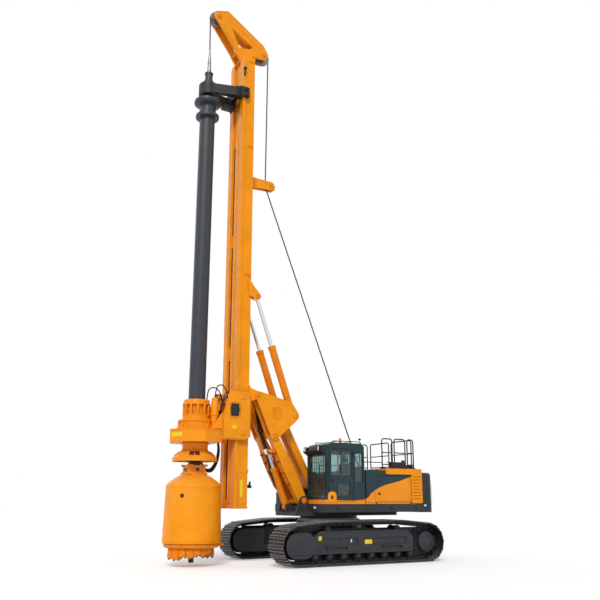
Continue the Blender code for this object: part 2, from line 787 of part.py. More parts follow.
def carbody():
    """Build the lower works' centre, its four legs out to the side frames and the slewing ring's seat."""
    solids = [
        turned([(0, CENTRE_BOTTOM), (CENTRE_RADIUS, CENTRE_BOTTOM), (CENTRE_RADIUS, RING_BOTTOM + SINK),
                (0, RING_BOTTOM + SINK)], (0, 0, 0)),
        turned([(0, RING_BOTTOM), (RING_RADIUS, RING_BOTTOM), (RING_RADIUS, RING_TOP), (RING_BORE, RING_TOP),
                (RING_BORE, RING_BOTTOM + 2 * SINK), (0, RING_BOTTOM + 2 * SINK)], (0, 0, 0)),
    ]
    end_y = TRACK_Y - FRAME_WIDTH / 2 - SEAT_GAP
    for sx in (-1, 1):
        for sy in (-1, 1):
            outline = [(sx * LEG_INNER_X, sy * LEG_INNER_Y), (sx * LEG_WAIST_X, sy * LEG_WAIST_Y),
                       (sx * LEG_TOE_X, sy * end_y), (sx * LEG_HEEL_X, sy * end_y)]
            solids.append(prism(outline, "Z", LEG_BOTTOM, LEG_TOP))
    fuse("carbody", "black", solids)


def pin_lugs(x, z, radius, inner, outer, root):
    """Return a lug plate as a hull round its pin and two root corners of (x, z)."""
    (ax, az), (bx, bz) = root
    edge = SINK / 3
    corners = [(ax, az, edge), (bx, bz, edge)]
    if (bx - ax) * (z - az) < (bz - az) * (x - ax):
        corners.reverse()
    return prism(belt(corners + [(x, z, radius)]), "Y", inner, outer)


def slew_frame():
    """Build the slewing deck with its nose, boom foot lugs, link lugs and winch plates."""
    plate = [(SLEW_PLATE_REAR, -SLEW_PLATE_HALF), (LINK_FOOT_X, -SLEW_PLATE_HALF),
             (SLEW_PLATE_FRONT, -SLEW_NOSE_HALF), (SLEW_PLATE_FRONT, SLEW_NOSE_HALF),
             (LINK_FOOT_X, SLEW_PLATE_HALF), (SLEW_PLATE_REAR, SLEW_PLATE_HALF)]
    solids = [
        prism(plate, "Z", RING_TOP + SEAT_GAP, SLEW_PLATE_TOP),
        block((DECK_REAR, DECK_FRONT), (-DECK_HALF, DECK_HALF), (DECK_BOTTOM, DECK_TOP)),
        block((DECK_FRONT - SINK, BOOM_FOOT_X + BOOM_FOOT_RADIUS),
              (-LEG_OUTER_FACE - EYE_GAP - LUG_PLATE, LEG_OUTER_FACE + EYE_GAP + LUG_PLATE),
              (SLEW_PLATE_TOP - SINK, BOOM_FOOT_Z - BOOM_FOOT_RADIUS - RUN_GAP)),
    ]
    lug_inner = LEG_OUTER_FACE + EYE_GAP
    root = ((DECK_FRONT + SINK, SLEW_PLATE_TOP), (BOOM_FOOT_X + 2 * BOOM_FOOT_RADIUS, SLEW_PLATE_TOP))
    foot_lug = pin_lugs(BOOM_FOOT_X, BOOM_FOOT_Z, BOOM_FOOT_RADIUS, lug_inner, lug_inner + LUG_PLATE, root)
    foot_pin = cross_rod(BOOM_FOOT_X, BOOM_FOOT_Z, PIN_RADIUS, LEG_INNER_FACE + RUN_GAP, lug_inner + SINK)
    luff_inner = LUFF_EYE_WIDTH / 2 + EYE_GAP
    luff_root = ((BOOM_FOOT_X, SLEW_PLATE_TOP), (SLEW_PLATE_FRONT + LUG_PLATE, SLEW_PLATE_TOP - SINK))
    luff_lug = pin_lugs(LUFF_FOOT_X, LUFF_FOOT_Z, PIN_RADIUS + LUG_MARGIN, luff_inner, luff_inner + LUG_PLATE,
                        luff_root)
    link_inner = LINK_HALF + EYE_GAP
    link_root = ((LINK_FOOT_X - 2 * LINK_RADIUS, DECK_TOP - SINK), (LINK_FOOT_X + 2 * LINK_RADIUS, DECK_TOP - SINK))
    link_lug = pin_lugs(LINK_FOOT_X, LINK_FOOT_Z, LINK_RADIUS, link_inner, link_inner + LUG_PLATE, link_root)
    winch_inner = WINCH_HALF + EYE_GAP
    winch_root = ((WINCH_X - WINCH_DRUM_RADIUS, DECK_TOP - SINK), (WINCH_X + WINCH_DRUM_RADIUS, DECK_TOP - SINK))
    winch_lug = pin_lugs(WINCH_X, WINCH_Z, LINK_RADIUS, winch_inner, winch_inner + WINCH_PLATE, winch_root)
    for shape in (foot_lug, foot_pin, luff_lug, link_lug, winch_lug):
        solids += both_sides(shape)
    solids.append(cross_rod(LUFF_FOOT_X, LUFF_FOOT_Z, PIN_RADIUS, -luff_inner - SINK, luff_inner + SINK))
    solids.append(cross_rod(LINK_FOOT_X, LINK_FOOT_Z, PIN_RADIUS, -link_inner - SINK, link_inner + SINK))
    solids.append(cross_rod(WINCH_X, WINCH_Z, PIN_RADIUS, -winch_inner - SINK, winch_inner + SINK))
    fuse("slew_frame", "grey", solids)


def boom():
    """Build the two-legged boom, with its foot tube and the cross tube that the luffing rod holds."""
    middle_x = (BOOM_FOOT_X + BOOM_HEAD_X) / 2
    middle_z = (BOOM_FOOT_Z + BOOM_HEAD_Z) / 2
    outline = belt([(BOOM_FOOT_X, BOOM_FOOT_Z, BOOM_FOOT_RADIUS), (middle_x, middle_z, BOOM_BELLY_RADIUS),
                    (BOOM_HEAD_X, BOOM_HEAD_Z, BOOM_HEAD_RADIUS), (middle_x, middle_z, BOOM_BELLY_RADIUS)])
    solids = both_sides(prism(outline, "Y", LEG_INNER_FACE, LEG_OUTER_FACE))
    solids.append(cross_rod(BOOM_FOOT_X, BOOM_FOOT_Z, BOOM_TUBE_RADIUS, -LEG_INNER_FACE - SINK,
                            LEG_INNER_FACE + SINK))
    solids.append(cross_rod(LUFF_HEAD_X, LUFF_HEAD_Z, LUFF_TUBE_RADIUS, -LEG_INNER_FACE - SINK,
                            LEG_INNER_FACE + SINK))
    plate_x = middle_x - BOOM_FOOT_RADIUS
    solids.append(block((plate_x - BOOM_TUBE_RADIUS, plate_x), (-LEG_INNER_FACE - SINK, LEG_INNER_FACE + SINK),
                        (middle_z - 2 * BOOM_BELLY_RADIUS, middle_z)))
    reach = LEG_OUTER_FACE + CUT_OVERRUN
    holes = [cross_rod(BOOM_HEAD_X, BOOM_HEAD_Z, PIN_RADIUS + PIN_GAP, -reach, reach)]
    for side in (-1, 1):
        low, high = sorted((side * (LEG_INNER_FACE + RUN_GAP / 2), side * reach))
        holes.append(cross_rod(BOOM_FOOT_X, BOOM_FOOT_Z, PIN_RADIUS + PIN_GAP, low, high))
    fuse("boom", "yellow", solids, holes, pivot=(BOOM_FOOT_X, 0, BOOM_FOOT_Z))


def rear_link():
    """Build the link that keeps the triangle level, parallel to the boom."""
    outline = belt([(LINK_FOOT_X, LINK_FOOT_Z, LINK_RADIUS), (LINK_HEAD_X, LINK_HEAD_Z, LINK_RADIUS)])
    reach = LINK_HALF + CUT_OVERRUN
    window_low = LINK_FOOT_Z + 3 * LINK_RADIUS
    window_high = LINK_HEAD_Z - 3 * LINK_RADIUS
    holes = [
        cross_rod(LINK_FOOT_X, LINK_FOOT_Z, PIN_RADIUS + PIN_GAP, -reach, reach),
        cross_rod(LINK_HEAD_X, LINK_HEAD_Z, PIN_RADIUS + 2 * PIN_GAP, -reach, reach),
        block((LINK_FOOT_X - CUT_OVERRUN, LINK_HEAD_X + CUT_OVERRUN), (-LINK_WINDOW_HALF, LINK_WINDOW_HALF),
              (window_low, window_high)),
    ]
    fuse("rear_link", "yellow", [prism(outline, "Y", -LINK_HALF, LINK_HALF)], holes,
         pivot=(LINK_FOOT_X, 0, LINK_FOOT_Z))


def triangle():
    """Build the triangular frame between boom and mast: four plates, their pins and the open cross pipe."""
    outline = belt([(BOOM_HEAD_X, BOOM_HEAD_Z, TRIANGLE_FOOT_RADIUS),
                    (MAST_PIN_X, MAST_PIN_Z, TRIANGLE_FRONT_RADIUS),
                    (TRIANGLE_CREST_X, TRIANGLE_CREST_Z, TRIANGLE_CREST_RADIUS),
                    (TILT_FOOT_X, TILT_FOOT_Z, TRIANGLE_REAR_RADIUS)], 5)
    outer_face = LEG_OUTER_FACE + EYE_GAP
    inner_face = LEG_INNER_FACE - EYE_GAP
    solids = both_sides(prism(outline, "Y", outer_face, outer_face + TRIANGLE_PLATE))
    solids += both_sides(prism(outline, "Y", inner_face - TRIANGLE_PLATE, inner_face))
    full = outer_face + TRIANGLE_PLATE + SINK
    pipe_radius = TRIANGLE_HOLE_RADIUS + TRIANGLE_PIPE_WALL
    solids.append(cross_rod(TRIANGLE_HOLE_X, TRIANGLE_HOLE_Z, pipe_radius, -full, full))
    for x, z in ((BOOM_HEAD_X, BOOM_HEAD_Z), (MAST_PIN_X, MAST_PIN_Z), (TILT_FOOT_X, TILT_FOOT_Z)):
        solids += both_sides(cross_rod(x, z, PIN_RADIUS, inner_face - SINK, full, SMALL_STEPS))
    link_inner = inner_face - TRIANGLE_PLATE
    solids.append(cross_rod(LINK_HEAD_X, LINK_HEAD_Z, PIN_RADIUS, -link_inner - SINK, link_inner + SINK,
                            SMALL_STEPS))
    reach = full + CUT_OVERRUN
    holes = [cross_rod(TRIANGLE_HOLE_X, TRIANGLE_HOLE_Z, TRIANGLE_HOLE_RADIUS, -reach, reach)]
    fuse("mast_triangle", "yellow", solids, holes, pivot=(BOOM_HEAD_X, 0, BOOM_HEAD_Z))


def barrel(name, foot, head, y, radius, rod_radius, length, bore_start, eye_width):
    """Build a cylinder's barrel along its own Z, its foot eye's pin at the origin."""
    eye_radius = PIN_RADIUS + EYE_WALL
    profile = [(0, eye_radius / 2), (radius, eye_radius), (radius, length - GLAND_LENGTH),
               (radius + GLAND_RADIUS_EXTRA, length - GLAND_LENGTH), (radius + GLAND_RADIUS_EXTRA, length),
               (rod_radius + ROD_GAP, length), (rod_radius + ROD_GAP, bore_start), (0, bore_start)]
    solids = [turned(profile, (0, 0, 0)), rod((0, -eye_width / 2, 0), (0, eye_width / 2, 0), eye_radius)]
    half = eye_width / 2 + CUT_OVERRUN
    holes = [rod((0, -half, 0), (0, half, 0), PIN_RADIUS + PIN_GAP)]
    lean = math.atan2(head[0] - foot[0], head[1] - foot[1])
    fuse(name, "yellow", solids, holes, pivot=(foot[0], y, foot[1]), tilt=lean)


def piston_rod(name, foot, head, y, rod_radius, length, eye_width, pin_radius, pin_gap):
    """Build a cylinder's rod along its own Z, its eye's centre at the origin and its end below."""
    eye_radius = pin_radius + EYE_WALL
    solids = [rod((0, 0, -length), (0, 0, -pin_radius), rod_radius),
              rod((0, -eye_width / 2, 0), (0, eye_width / 2, 0), eye_radius)]
    half = eye_width / 2 + CUT_OVERRUN
    holes = [rod((0, -half, 0), (0, half, 0), pin_radius + pin_gap)]
    lean = math.atan2(head[0] - foot[0], head[1] - foot[1])
    fuse(name, "chrome", solids, holes, pivot=(head[0], y, head[1]), tilt=lean)


def cylinders():
    """Build the luffing cylinder and the two mast cylinders."""
    luff_foot, luff_head = (LUFF_FOOT_X, LUFF_FOOT_Z), (LUFF_HEAD_X, LUFF_HEAD_Z)
    barrel("luff_barrel", luff_foot, luff_head, 0, LUFF_BARREL_RADIUS, LUFF_ROD_RADIUS, LUFF_BARREL_LENGTH,
           LUFF_BORE_START, LUFF_EYE_WIDTH)
    piston_rod("luff_rod", luff_foot, luff_head, 0, LUFF_ROD_RADIUS, LUFF_ROD_LENGTH, LUFF_EYE_WIDTH,
               LUFF_TUBE_RADIUS, OPEN_PIN_GAP / 2)
    tilt_foot, tilt_head = (TILT_FOOT_X, TILT_FOOT_Z), (TILT_HEAD_X, TILT_HEAD_Z)
    for word, side in (("left", 1), ("right", -1)):
        y = side * BOOM_LEG_Y
        barrel(word + "_mast_barrel", tilt_foot, tilt_head, y, TILT_BARREL_RADIUS, TILT_ROD_RADIUS,
               TILT_BARREL_LENGTH, TILT_BORE_START, BOOM_LEG_WIDTH)
        piston_rod(word + "_mast_rod", tilt_foot, tilt_head, y, TILT_ROD_RADIUS, TILT_ROD_LENGTH,
                   TILT_EYE_WIDTH, PIN_RADIUS, OPEN_PIN_GAP)


def mast_outline(grow=0):
    """Return the mast's section in x and y, with its side rails and front channel."""
    rail_rear = MAST_FRONT - RAIL_DEPTH
    channel = MAST_FRONT - CHANNEL_DEPTH
    right = [(MAST_REAR - grow, -MAST_HALF - grow), (rail_rear, -MAST_HALF - grow), (rail_rear, -RAIL_HALF),
             (MAST_FRONT, -RAIL_HALF), (MAST_FRONT, -CHANNEL_HALF), (channel, -CHANNEL_HALF)]
    return right + [(x, -y) for x, y in reversed(right)]


def mast():
    """Build the hollow mast with its rails, pin lugs, cylinder lugs and the arm of the rope's lower sheave."""
    band = [(MAST_REAR - SINK, -MAST_HALF - SINK), (MAST_FRONT - RAIL_DEPTH - SINK, -MAST_HALF - SINK),
            (MAST_FRONT - RAIL_DEPTH - SINK, MAST_HALF + SINK), (MAST_REAR - SINK, MAST_HALF + SINK)]
    bracket = BOOM_LEG_Y + TILT_EYE_WIDTH / 2 + EYE_GAP + TILT_LUG_PLATE - SEAT_GAP
    solids = [
        prism(mast_outline(), "Z", MAST_BOTTOM, MAST_TOP),
        prism(band, "Z", JOINT_BAND_Z, JOINT_BAND_Z + JOINT_BAND_HEIGHT),
        block((MAST_REAR - 2 * SINK, MAST_REAR + RAIL_DEPTH), (-bracket, bracket),
              (TILT_HEAD_Z - SINK, TILT_HEAD_Z + TILT_LUG_HEIGHT)),
    ]
    lug_low = BOOM_LEG_Y - MAST_LUG_WIDTH / 2
    root_x = MAST_REAR + MAST_WALL / 2
    root = ((root_x, MAST_PIN_Z - 2 * MAST_LUG_RADIUS), (root_x, MAST_PIN_Z + 2 * MAST_LUG_RADIUS))
    solids += both_sides(pin_lugs(MAST_PIN_X, MAST_PIN_Z, MAST_LUG_RADIUS, lug_low,
                                  lug_low + MAST_LUG_WIDTH, root))
    eye_inner = BOOM_LEG_Y - TILT_EYE_WIDTH / 2 - EYE_GAP
    eye_outer = BOOM_LEG_Y + TILT_EYE_WIDTH / 2 + EYE_GAP
    tilt_root = ((root_x, TILT_HEAD_Z), (root_x, TILT_HEAD_Z + TILT_LUG_HEIGHT))
    for low, high in ((eye_inner - TILT_LUG_PLATE, eye_inner), (eye_outer, eye_outer + TILT_LUG_PLATE)):
        solids += both_sides(pin_lugs(TILT_HEAD_X, TILT_HEAD_Z, MAST_LUG_RADIUS, low, high, tilt_root))
    solids += both_sides(cross_rod(TILT_HEAD_X, TILT_HEAD_Z, PIN_RADIUS, eye_inner - SINK, eye_outer + SINK))
    arm_low = SHEAVE_WIDTH / 2 + RUN_GAP
    arm_root = ((root_x, ARM_SHEAVE_Z - ARM_ROOT_HEIGHT / 2), (root_x, ARM_SHEAVE_Z + ARM_ROOT_HEIGHT / 2))
    solids += both_sides(pin_lugs(ARM_SHEAVE_X, ARM_SHEAVE_Z, ARM_SHEAVE_RADIUS * 0.8, arm_low,
                                  arm_low + ARM_PLATE, arm_root))
    solids.append(cross_rod(ARM_SHEAVE_X, ARM_SHEAVE_Z, PIN_RADIUS, -arm_low - SINK, arm_low + SINK, SMALL_STEPS))
    reach = LEG_OUTER_FACE + CUT_OVERRUN
    core = [(MAST_REAR + MAST_WALL, -MAST_HALF + MAST_WALL),
            (MAST_FRONT - CHANNEL_DEPTH - MAST_WALL, -MAST_HALF + MAST_WALL),
            (MAST_FRONT - CHANNEL_DEPTH - MAST_WALL, MAST_HALF - MAST_WALL),
            (MAST_REAR + MAST_WALL, MAST_HALF - MAST_WALL)]
    holes = [
        prism(core, "Z", MAST_BOTTOM - CUT_OVERRUN, MAST_TOP - MAST_WALL),
        cross_rod(MAST_PIN_X, MAST_PIN_Z, PIN_RADIUS + PIN_GAP, -reach, reach),
    ]
    fuse("mast", "yellow", solids, holes, pivot=(MAST_PIN_X, 0, MAST_PIN_Z))


# Mast head: the corner that each point is measured from, and its x and z as shares of the sheave's radius
HEAD_OUTLINE_SHARES = (
    ("rear", 0, 0),
    ("front", 0, 0),
    ("front", 0.96, 1.60),
    ("front_sheave", 0.08, -0.96),
    ("front_sheave", 0.72, -0.24),
    ("front_sheave", 0.56, 0.64),
    ("front_sheave", -1.20, 1.20),
    ("rear_sheave", 0.08, 1.44),
    ("rear_sheave", -0.60, 0.32),
    ("rear_sheave", -0.24, -0.64),
    ("rear", 0, 1.12),
)
HEAD_OPENING_SHARES = (
    ("rear", 0.40, 2.08),
    ("front", 0.20, 1.92),
    ("front_sheave", -1.80, -1.12),
    ("rear_sheave", 1.60, 0.72),
)
HEAD_TUBE_SHARES = (
    ("front", 0.40, 1.20),
    ("front_sheave", -1.60, 0.64),
    ("rear_sheave", 1.68, 1.68),
    ("rear", 0.48, 1.20),
)


def head_points(shares):
    """Return the points of the mast head's side view, in x and z, that a table of shares gives."""
    corners = {
        "rear": (MAST_REAR, MAST_TOP + SEAT_GAP),
        "front": (MAST_FRONT, MAST_TOP + SEAT_GAP),
        "front_sheave": (FRONT_SHEAVE_X, FRONT_SHEAVE_Z),
        "rear_sheave": (REAR_SHEAVE_X, REAR_SHEAVE_Z),
    }
    return [(corners[word][0] + SHEAVE_RADIUS * x_share, corners[word][1] + SHEAVE_RADIUS * z_share)
            for word, x_share, z_share in shares]


def mast_head():
    """Build the head frame: two cheek plates, their cross tubes, the base plate and the sheave pins."""
    base = MAST_TOP + SEAT_GAP
    outline = head_points(HEAD_OUTLINE_SHARES)
    opening = head_points(HEAD_OPENING_SHARES)
    solids = [block((MAST_REAR, MAST_FRONT), (-MAST_HALF, MAST_HALF), (base, base + HEAD_BASE_PLATE))]
    solids += both_sides(prism(outline, "Y", HEAD_HALF - HEAD_PLATE, HEAD_HALF))
    cross = HEAD_HALF - HEAD_PLATE / 2
    for x, z in ((FRONT_SHEAVE_X, FRONT_SHEAVE_Z), (REAR_SHEAVE_X, REAR_SHEAVE_Z)):
        solids.append(cross_rod(x, z, PIN_RADIUS, -cross, cross))
    for x, z in head_points(HEAD_TUBE_SHARES):
        solids.append(cross_rod(x, z, PIN_RADIUS, -cross, cross, SMALL_STEPS))
    reach = HEAD_HALF + CUT_OVERRUN
    fuse("mast_head", "yellow", solids, [prism(opening, "Y", -reach, reach)])


def sheave(name, x, z, radius, hub_half):
    """Build a grooved rope sheave on its pin, its hub filling the space between the cheeks."""
    half = SHEAVE_WIDTH / 2
    bore = PIN_RADIUS + PIN_GAP
    profile = [(bore, -hub_half), (SHEAVE_HUB_RADIUS, -hub_half), (SHEAVE_HUB_RADIUS, -half), (radius, -half),
               (radius - SHEAVE_GROOVE, 0), (radius, half), (SHEAVE_HUB_RADIUS, half),
               (SHEAVE_HUB_RADIUS, hub_half), (bore, hub_half)]
    fuse(name, "yellow", [turned(profile, (x, 0, z), "Y")], pivot=(x, 0, z))


def rail_hooks(low, high):
    """Return the guide blocks that run along the mast's rails, between two heights."""
    rail_rear = MAST_FRONT - RAIL_DEPTH
    solids = []
    for side in (-1, 1):
        front_y = sorted((side * CHANNEL_HALF, side * (CARRIAGE_SIDE_Y + SINK)))
        rear_y = sorted((side * (MAST_HALF + RUN_GAP), side * (CARRIAGE_SIDE_Y + SINK)))
        solids.append(block((MAST_FRONT + RAIL_GAP, MAST_FRONT + RAIL_GAP + RAIL_DEPTH), front_y, (low, high)))
        solids.append(block((rail_rear - RAIL_GAP - RAIL_DEPTH, rail_rear - RAIL_GAP), rear_y, (low, high)))
    return solids


def carriage():
    """Build the drive's carriage: side plates with their holes, guide blocks and the front cross plate."""
    side = [(MAST_REAR, CARRIAGE_BOTTOM + CARRIAGE_TOE), (MAST_REAR + CARRIAGE_CORNER, CARRIAGE_BOTTOM),
            (CARRIAGE_FRONT_X, CARRIAGE_BOTTOM), (CARRIAGE_FRONT_X, GEARBOX_TOP + CARRIAGE_SHOULDER),
            (MAST_FRONT + CARRIAGE_HEAD_REACH, CARRIAGE_TOP), (MAST_REAR + CARRIAGE_TOE, CARRIAGE_TOP),
            (MAST_REAR, CARRIAGE_TOP - CARRIAGE_CORNER)]
    solids = both_sides(prism(side, "Y", CARRIAGE_SIDE_Y, CARRIAGE_SIDE_Y + CARRIAGE_PLATE))
    for low in (CARRIAGE_TOP - HOOK_INSET - HOOK_LENGTH, CARRIAGE_BOTTOM + HOOK_INSET):
        solids += rail_hooks(low, low + HOOK_LENGTH)
    cross = CARRIAGE_SIDE_Y + SINK
    solids.append(block((CARRIAGE_FRONT_X - CARRIAGE_PLATE, CARRIAGE_FRONT_X), (-cross, cross),
                        (CARRIAGE_BOTTOM, GEARBOX_TOP + CARRIAGE_FACE_RISE)))
    plate_x = MAST_FRONT + CROSS_PLATE_GAP
    plate_top = CARRIAGE_TOP - CROSS_PLATE_DROP
    solids.append(block((plate_x, plate_x + CARRIAGE_PLATE), (-cross, cross),
                        (plate_top - CROSS_PLATE_HEIGHT, plate_top)))
    reach = CARRIAGE_SIDE_Y + CARRIAGE_PLATE + CUT_OVERRUN
    hole_z = (GEARBOX_TOP + CARRIAGE_TOP) / 2
    hole_x = MAST_FRONT + CARRIAGE_HOLE_OFFSET
    holes = [cross_rod(hole_x, hole_z, CARRIAGE_HOLE_RADIUS, -reach, reach, ROUND_STEPS)]
    fuse("drive_carriage", "yellow", solids, holes)


def gearbox():
    """Build the rotary drive's housing, its collar and its two motors."""
    base_x = CARRIAGE_FRONT_X + SEAT_GAP
    corner = GEARBOX_CORNER
    corner_y = GEARBOX_REAR_HALF - corner
    outline = belt([(KELLY_X, 0, GEARBOX_RADIUS), (base_x + corner, corner_y, corner),
                    (base_x + corner, -corner_y, corner)], ROUND_STEPS // 2)
    bore = SLEEVE_RADIUS + RUN_GAP
    solids = [
        prism(outline, "Z", GEARBOX_BOTTOM, GEARBOX_TOP),
        rod((KELLY_X, 0, GEARBOX_TOP - SINK), (KELLY_X, 0, GEARBOX_COLLAR_TOP), GEARBOX_COLLAR_RADIUS, ROUND_STEPS),
    ]
    holes = [rod((KELLY_X, 0, GEARBOX_BOTTOM - CUT_OVERRUN), (KELLY_X, 0, GEARBOX_COLLAR_TOP + CUT_OVERRUN),
                 bore, ROUND_STEPS)]
    for side in (-1, 1):
        solids.append(rod((MOTOR_X, side * MOTOR_Y, GEARBOX_TOP - 2 * SINK), (MOTOR_X, side * MOTOR_Y, MOTOR_TOP),
                          MOTOR_RADIUS))
    fuse("rotary_gearbox", "yellow", solids, holes)


def sleeve():
    """Build the turning drive sleeve: ribbed cage above, tube through the housing, flared skirt below."""
    centre = (KELLY_X, 0, 0)
    cage_low = GEARBOX_COLLAR_TOP + SEAT_GAP
    collar_top = GEARBOX_BOTTOM - RUN_GAP
    rib_in = CAGE_RADIUS - CAGE_RIB_DEPTH
    profile = [
        (SLEEVE_BORE, SKIRT_TOP - SKIRT_WALL), (SKIRT_RADIUS - SKIRT_WALL, SKIRT_BOTTOM + 3 * SKIRT_WALL),
        (SKIRT_RADIUS - SKIRT_WALL, SKIRT_BOTTOM), (SKIRT_RADIUS, SKIRT_BOTTOM),
        (SKIRT_RADIUS, SKIRT_BOTTOM + 3 * SKIRT_WALL), (LOWER_COLLAR_RADIUS, SKIRT_TOP),
        (LOWER_COLLAR_RADIUS, collar_top), (SLEEVE_RADIUS, collar_top), (SLEEVE_RADIUS, cage_low),
        (CAGE_RADIUS, cage_low), (CAGE_RADIUS, cage_low + SKIRT_WALL), (rib_in, cage_low + 2 * SKIRT_WALL),
        (rib_in, CAGE_TOP - 2 * SKIRT_WALL), (CAGE_RADIUS, CAGE_TOP - SKIRT_WALL), (CAGE_RADIUS, CAGE_TOP),
        (SLEEVE_BORE, CAGE_TOP),
    ]
    solids = [turned(profile, centre)]
    for index in range(CAGE_RIBS):
        angle = math.tau * (index + 0.5) / CAGE_RIBS
        way = Vector((math.cos(angle), math.sin(angle), 0))
        spot = Vector(centre) + way * (rib_in - SINK / 2)
        solids.append(rod(spot + Vector((0, 0, cage_low + SINK)), spot + Vector((0, 0, CAGE_TOP - SINK)),
                          CAGE_RIB_DEPTH, 8))
    fuse("drive_sleeve", "yellow", solids, pivot=(KELLY_X, 0, GEARBOX_BOTTOM))


def kelly():
    """Build the kelly bar: top neck, flanges, outer tube, core and the square that drives the bucket."""
    flange_low = KELLY_FLANGE_Z - KELLY_FLANGE_HEIGHT / 2
    flange_high = KELLY_FLANGE_Z + KELLY_FLANGE_HEIGHT / 2
    collar_low = KELLY_COLLAR_Z - KELLY_COLLAR_HEIGHT / 2
    collar_high = KELLY_COLLAR_Z + KELLY_COLLAR_HEIGHT / 2
    profile = [
        (0, KELLY_CORE_BOTTOM), (KELLY_CORE_RADIUS, KELLY_CORE_BOTTOM), (KELLY_CORE_RADIUS, KELLY_TUBE_BOTTOM),
        (KELLY_RADIUS, KELLY_TUBE_BOTTOM), (KELLY_RADIUS, collar_low), (KELLY_COLLAR_RADIUS, collar_low),
        (KELLY_COLLAR_RADIUS, collar_high), (KELLY_RADIUS, collar_high), (KELLY_RADIUS, flange_low),
        (KELLY_FLANGE_RADIUS, flange_low), (KELLY_FLANGE_RADIUS, flange_high), (KELLY_RADIUS, flange_high),
        (KELLY_RADIUS, KELLY_TOP), (KELLY_NECK_RADIUS, KELLY_TOP + SINK), (KELLY_NECK_RADIUS, KELLY_NECK_TOP),
        (0, KELLY_NECK_TOP),
    ]
    square = (-KELLY_SQUARE_HALF, KELLY_SQUARE_HALF)
    solids = [
        turned(profile, (KELLY_X, 0, 0)),
        block((KELLY_X - KELLY_SQUARE_HALF, KELLY_X + KELLY_SQUARE_HALF), square,
              (KELLY_SQUARE_BOTTOM, KELLY_CORE_BOTTOM + SINK)),
    ]
    fuse("kelly_bar", "kelly", solids, pivot=(KELLY_X, 0, KELLY_TOP))


def guide():
    """Build the kelly's guide frame on the mast's rails, and the swivel that stands on it."""
    bore = KELLY_NECK_RADIUS + RUN_GAP
    inner_y = MAST_HALF - GUIDE_ARM_WIDTH
    low, high = GUIDE_BOTTOM, GUIDE_TOP
    cross_x = MAST_FRONT + RUN_GAP + RAIL_DEPTH
    solids = [
        turned([(bore, low), (GUIDE_RING_RADIUS, low), (GUIDE_RING_RADIUS, high), (bore, high)], (KELLY_X, 0, 0)),
        block((cross_x - SINK, cross_x + GUIDE_ARM_WIDTH), (-CARRIAGE_SIDE_Y, CARRIAGE_SIDE_Y), (low, high)),
    ]
    arm = [(cross_x, inner_y), (cross_x, CARRIAGE_SIDE_Y), (KELLY_X, GUIDE_RING_RADIUS - SINK),
           (KELLY_X - SINK, bore + SINK)]
    solids += both_sides(prism(arm, "Z", low + SINK, high - SINK))
    solids += both_sides(block((MAST_FRONT - RAIL_DEPTH - RUN_GAP - RAIL_DEPTH, cross_x + SINK),
                               (CARRIAGE_SIDE_Y, CARRIAGE_SIDE_Y + CARRIAGE_PLATE), (low, high)))
    solids += rail_hooks(low + SINK, high - SINK)
    holes = [rod((KELLY_X, 0, low - CUT_OVERRUN), (KELLY_X, 0, high + CUT_OVERRUN), bore, ROUND_STEPS)]
    fuse("kelly_guide", "kelly", solids, holes)
    base = high + SEAT_GAP
    profile = [(bore, base), (GUIDE_RING_RADIUS * 0.8, base), (GUIDE_RING_RADIUS * 0.8, base + 2 * SINK),
               (SWIVEL_BOTTOM_RADIUS + SINK, KELLY_NECK_TOP + SINK),
               (SWIVEL_RADIUS, KELLY_NECK_TOP + SWIVEL_SHOULDER), (SWIVEL_RADIUS, SWIVEL_TOP - SWIVEL_TAPER),
               (SWIVEL_RADIUS * 0.5, SWIVEL_TOP - SWIVEL_TIP),
               (SWIVEL_RADIUS * 0.4, SWIVEL_TOP), (0, SWIVEL_TOP), (0, KELLY_NECK_TOP + EYE_GAP),
               (bore, KELLY_NECK_TOP + EYE_GAP)]
    fuse("rope_swivel", "kelly", [turned(profile, (KELLY_X, 0, 0), "Z", ROD_STEPS)])


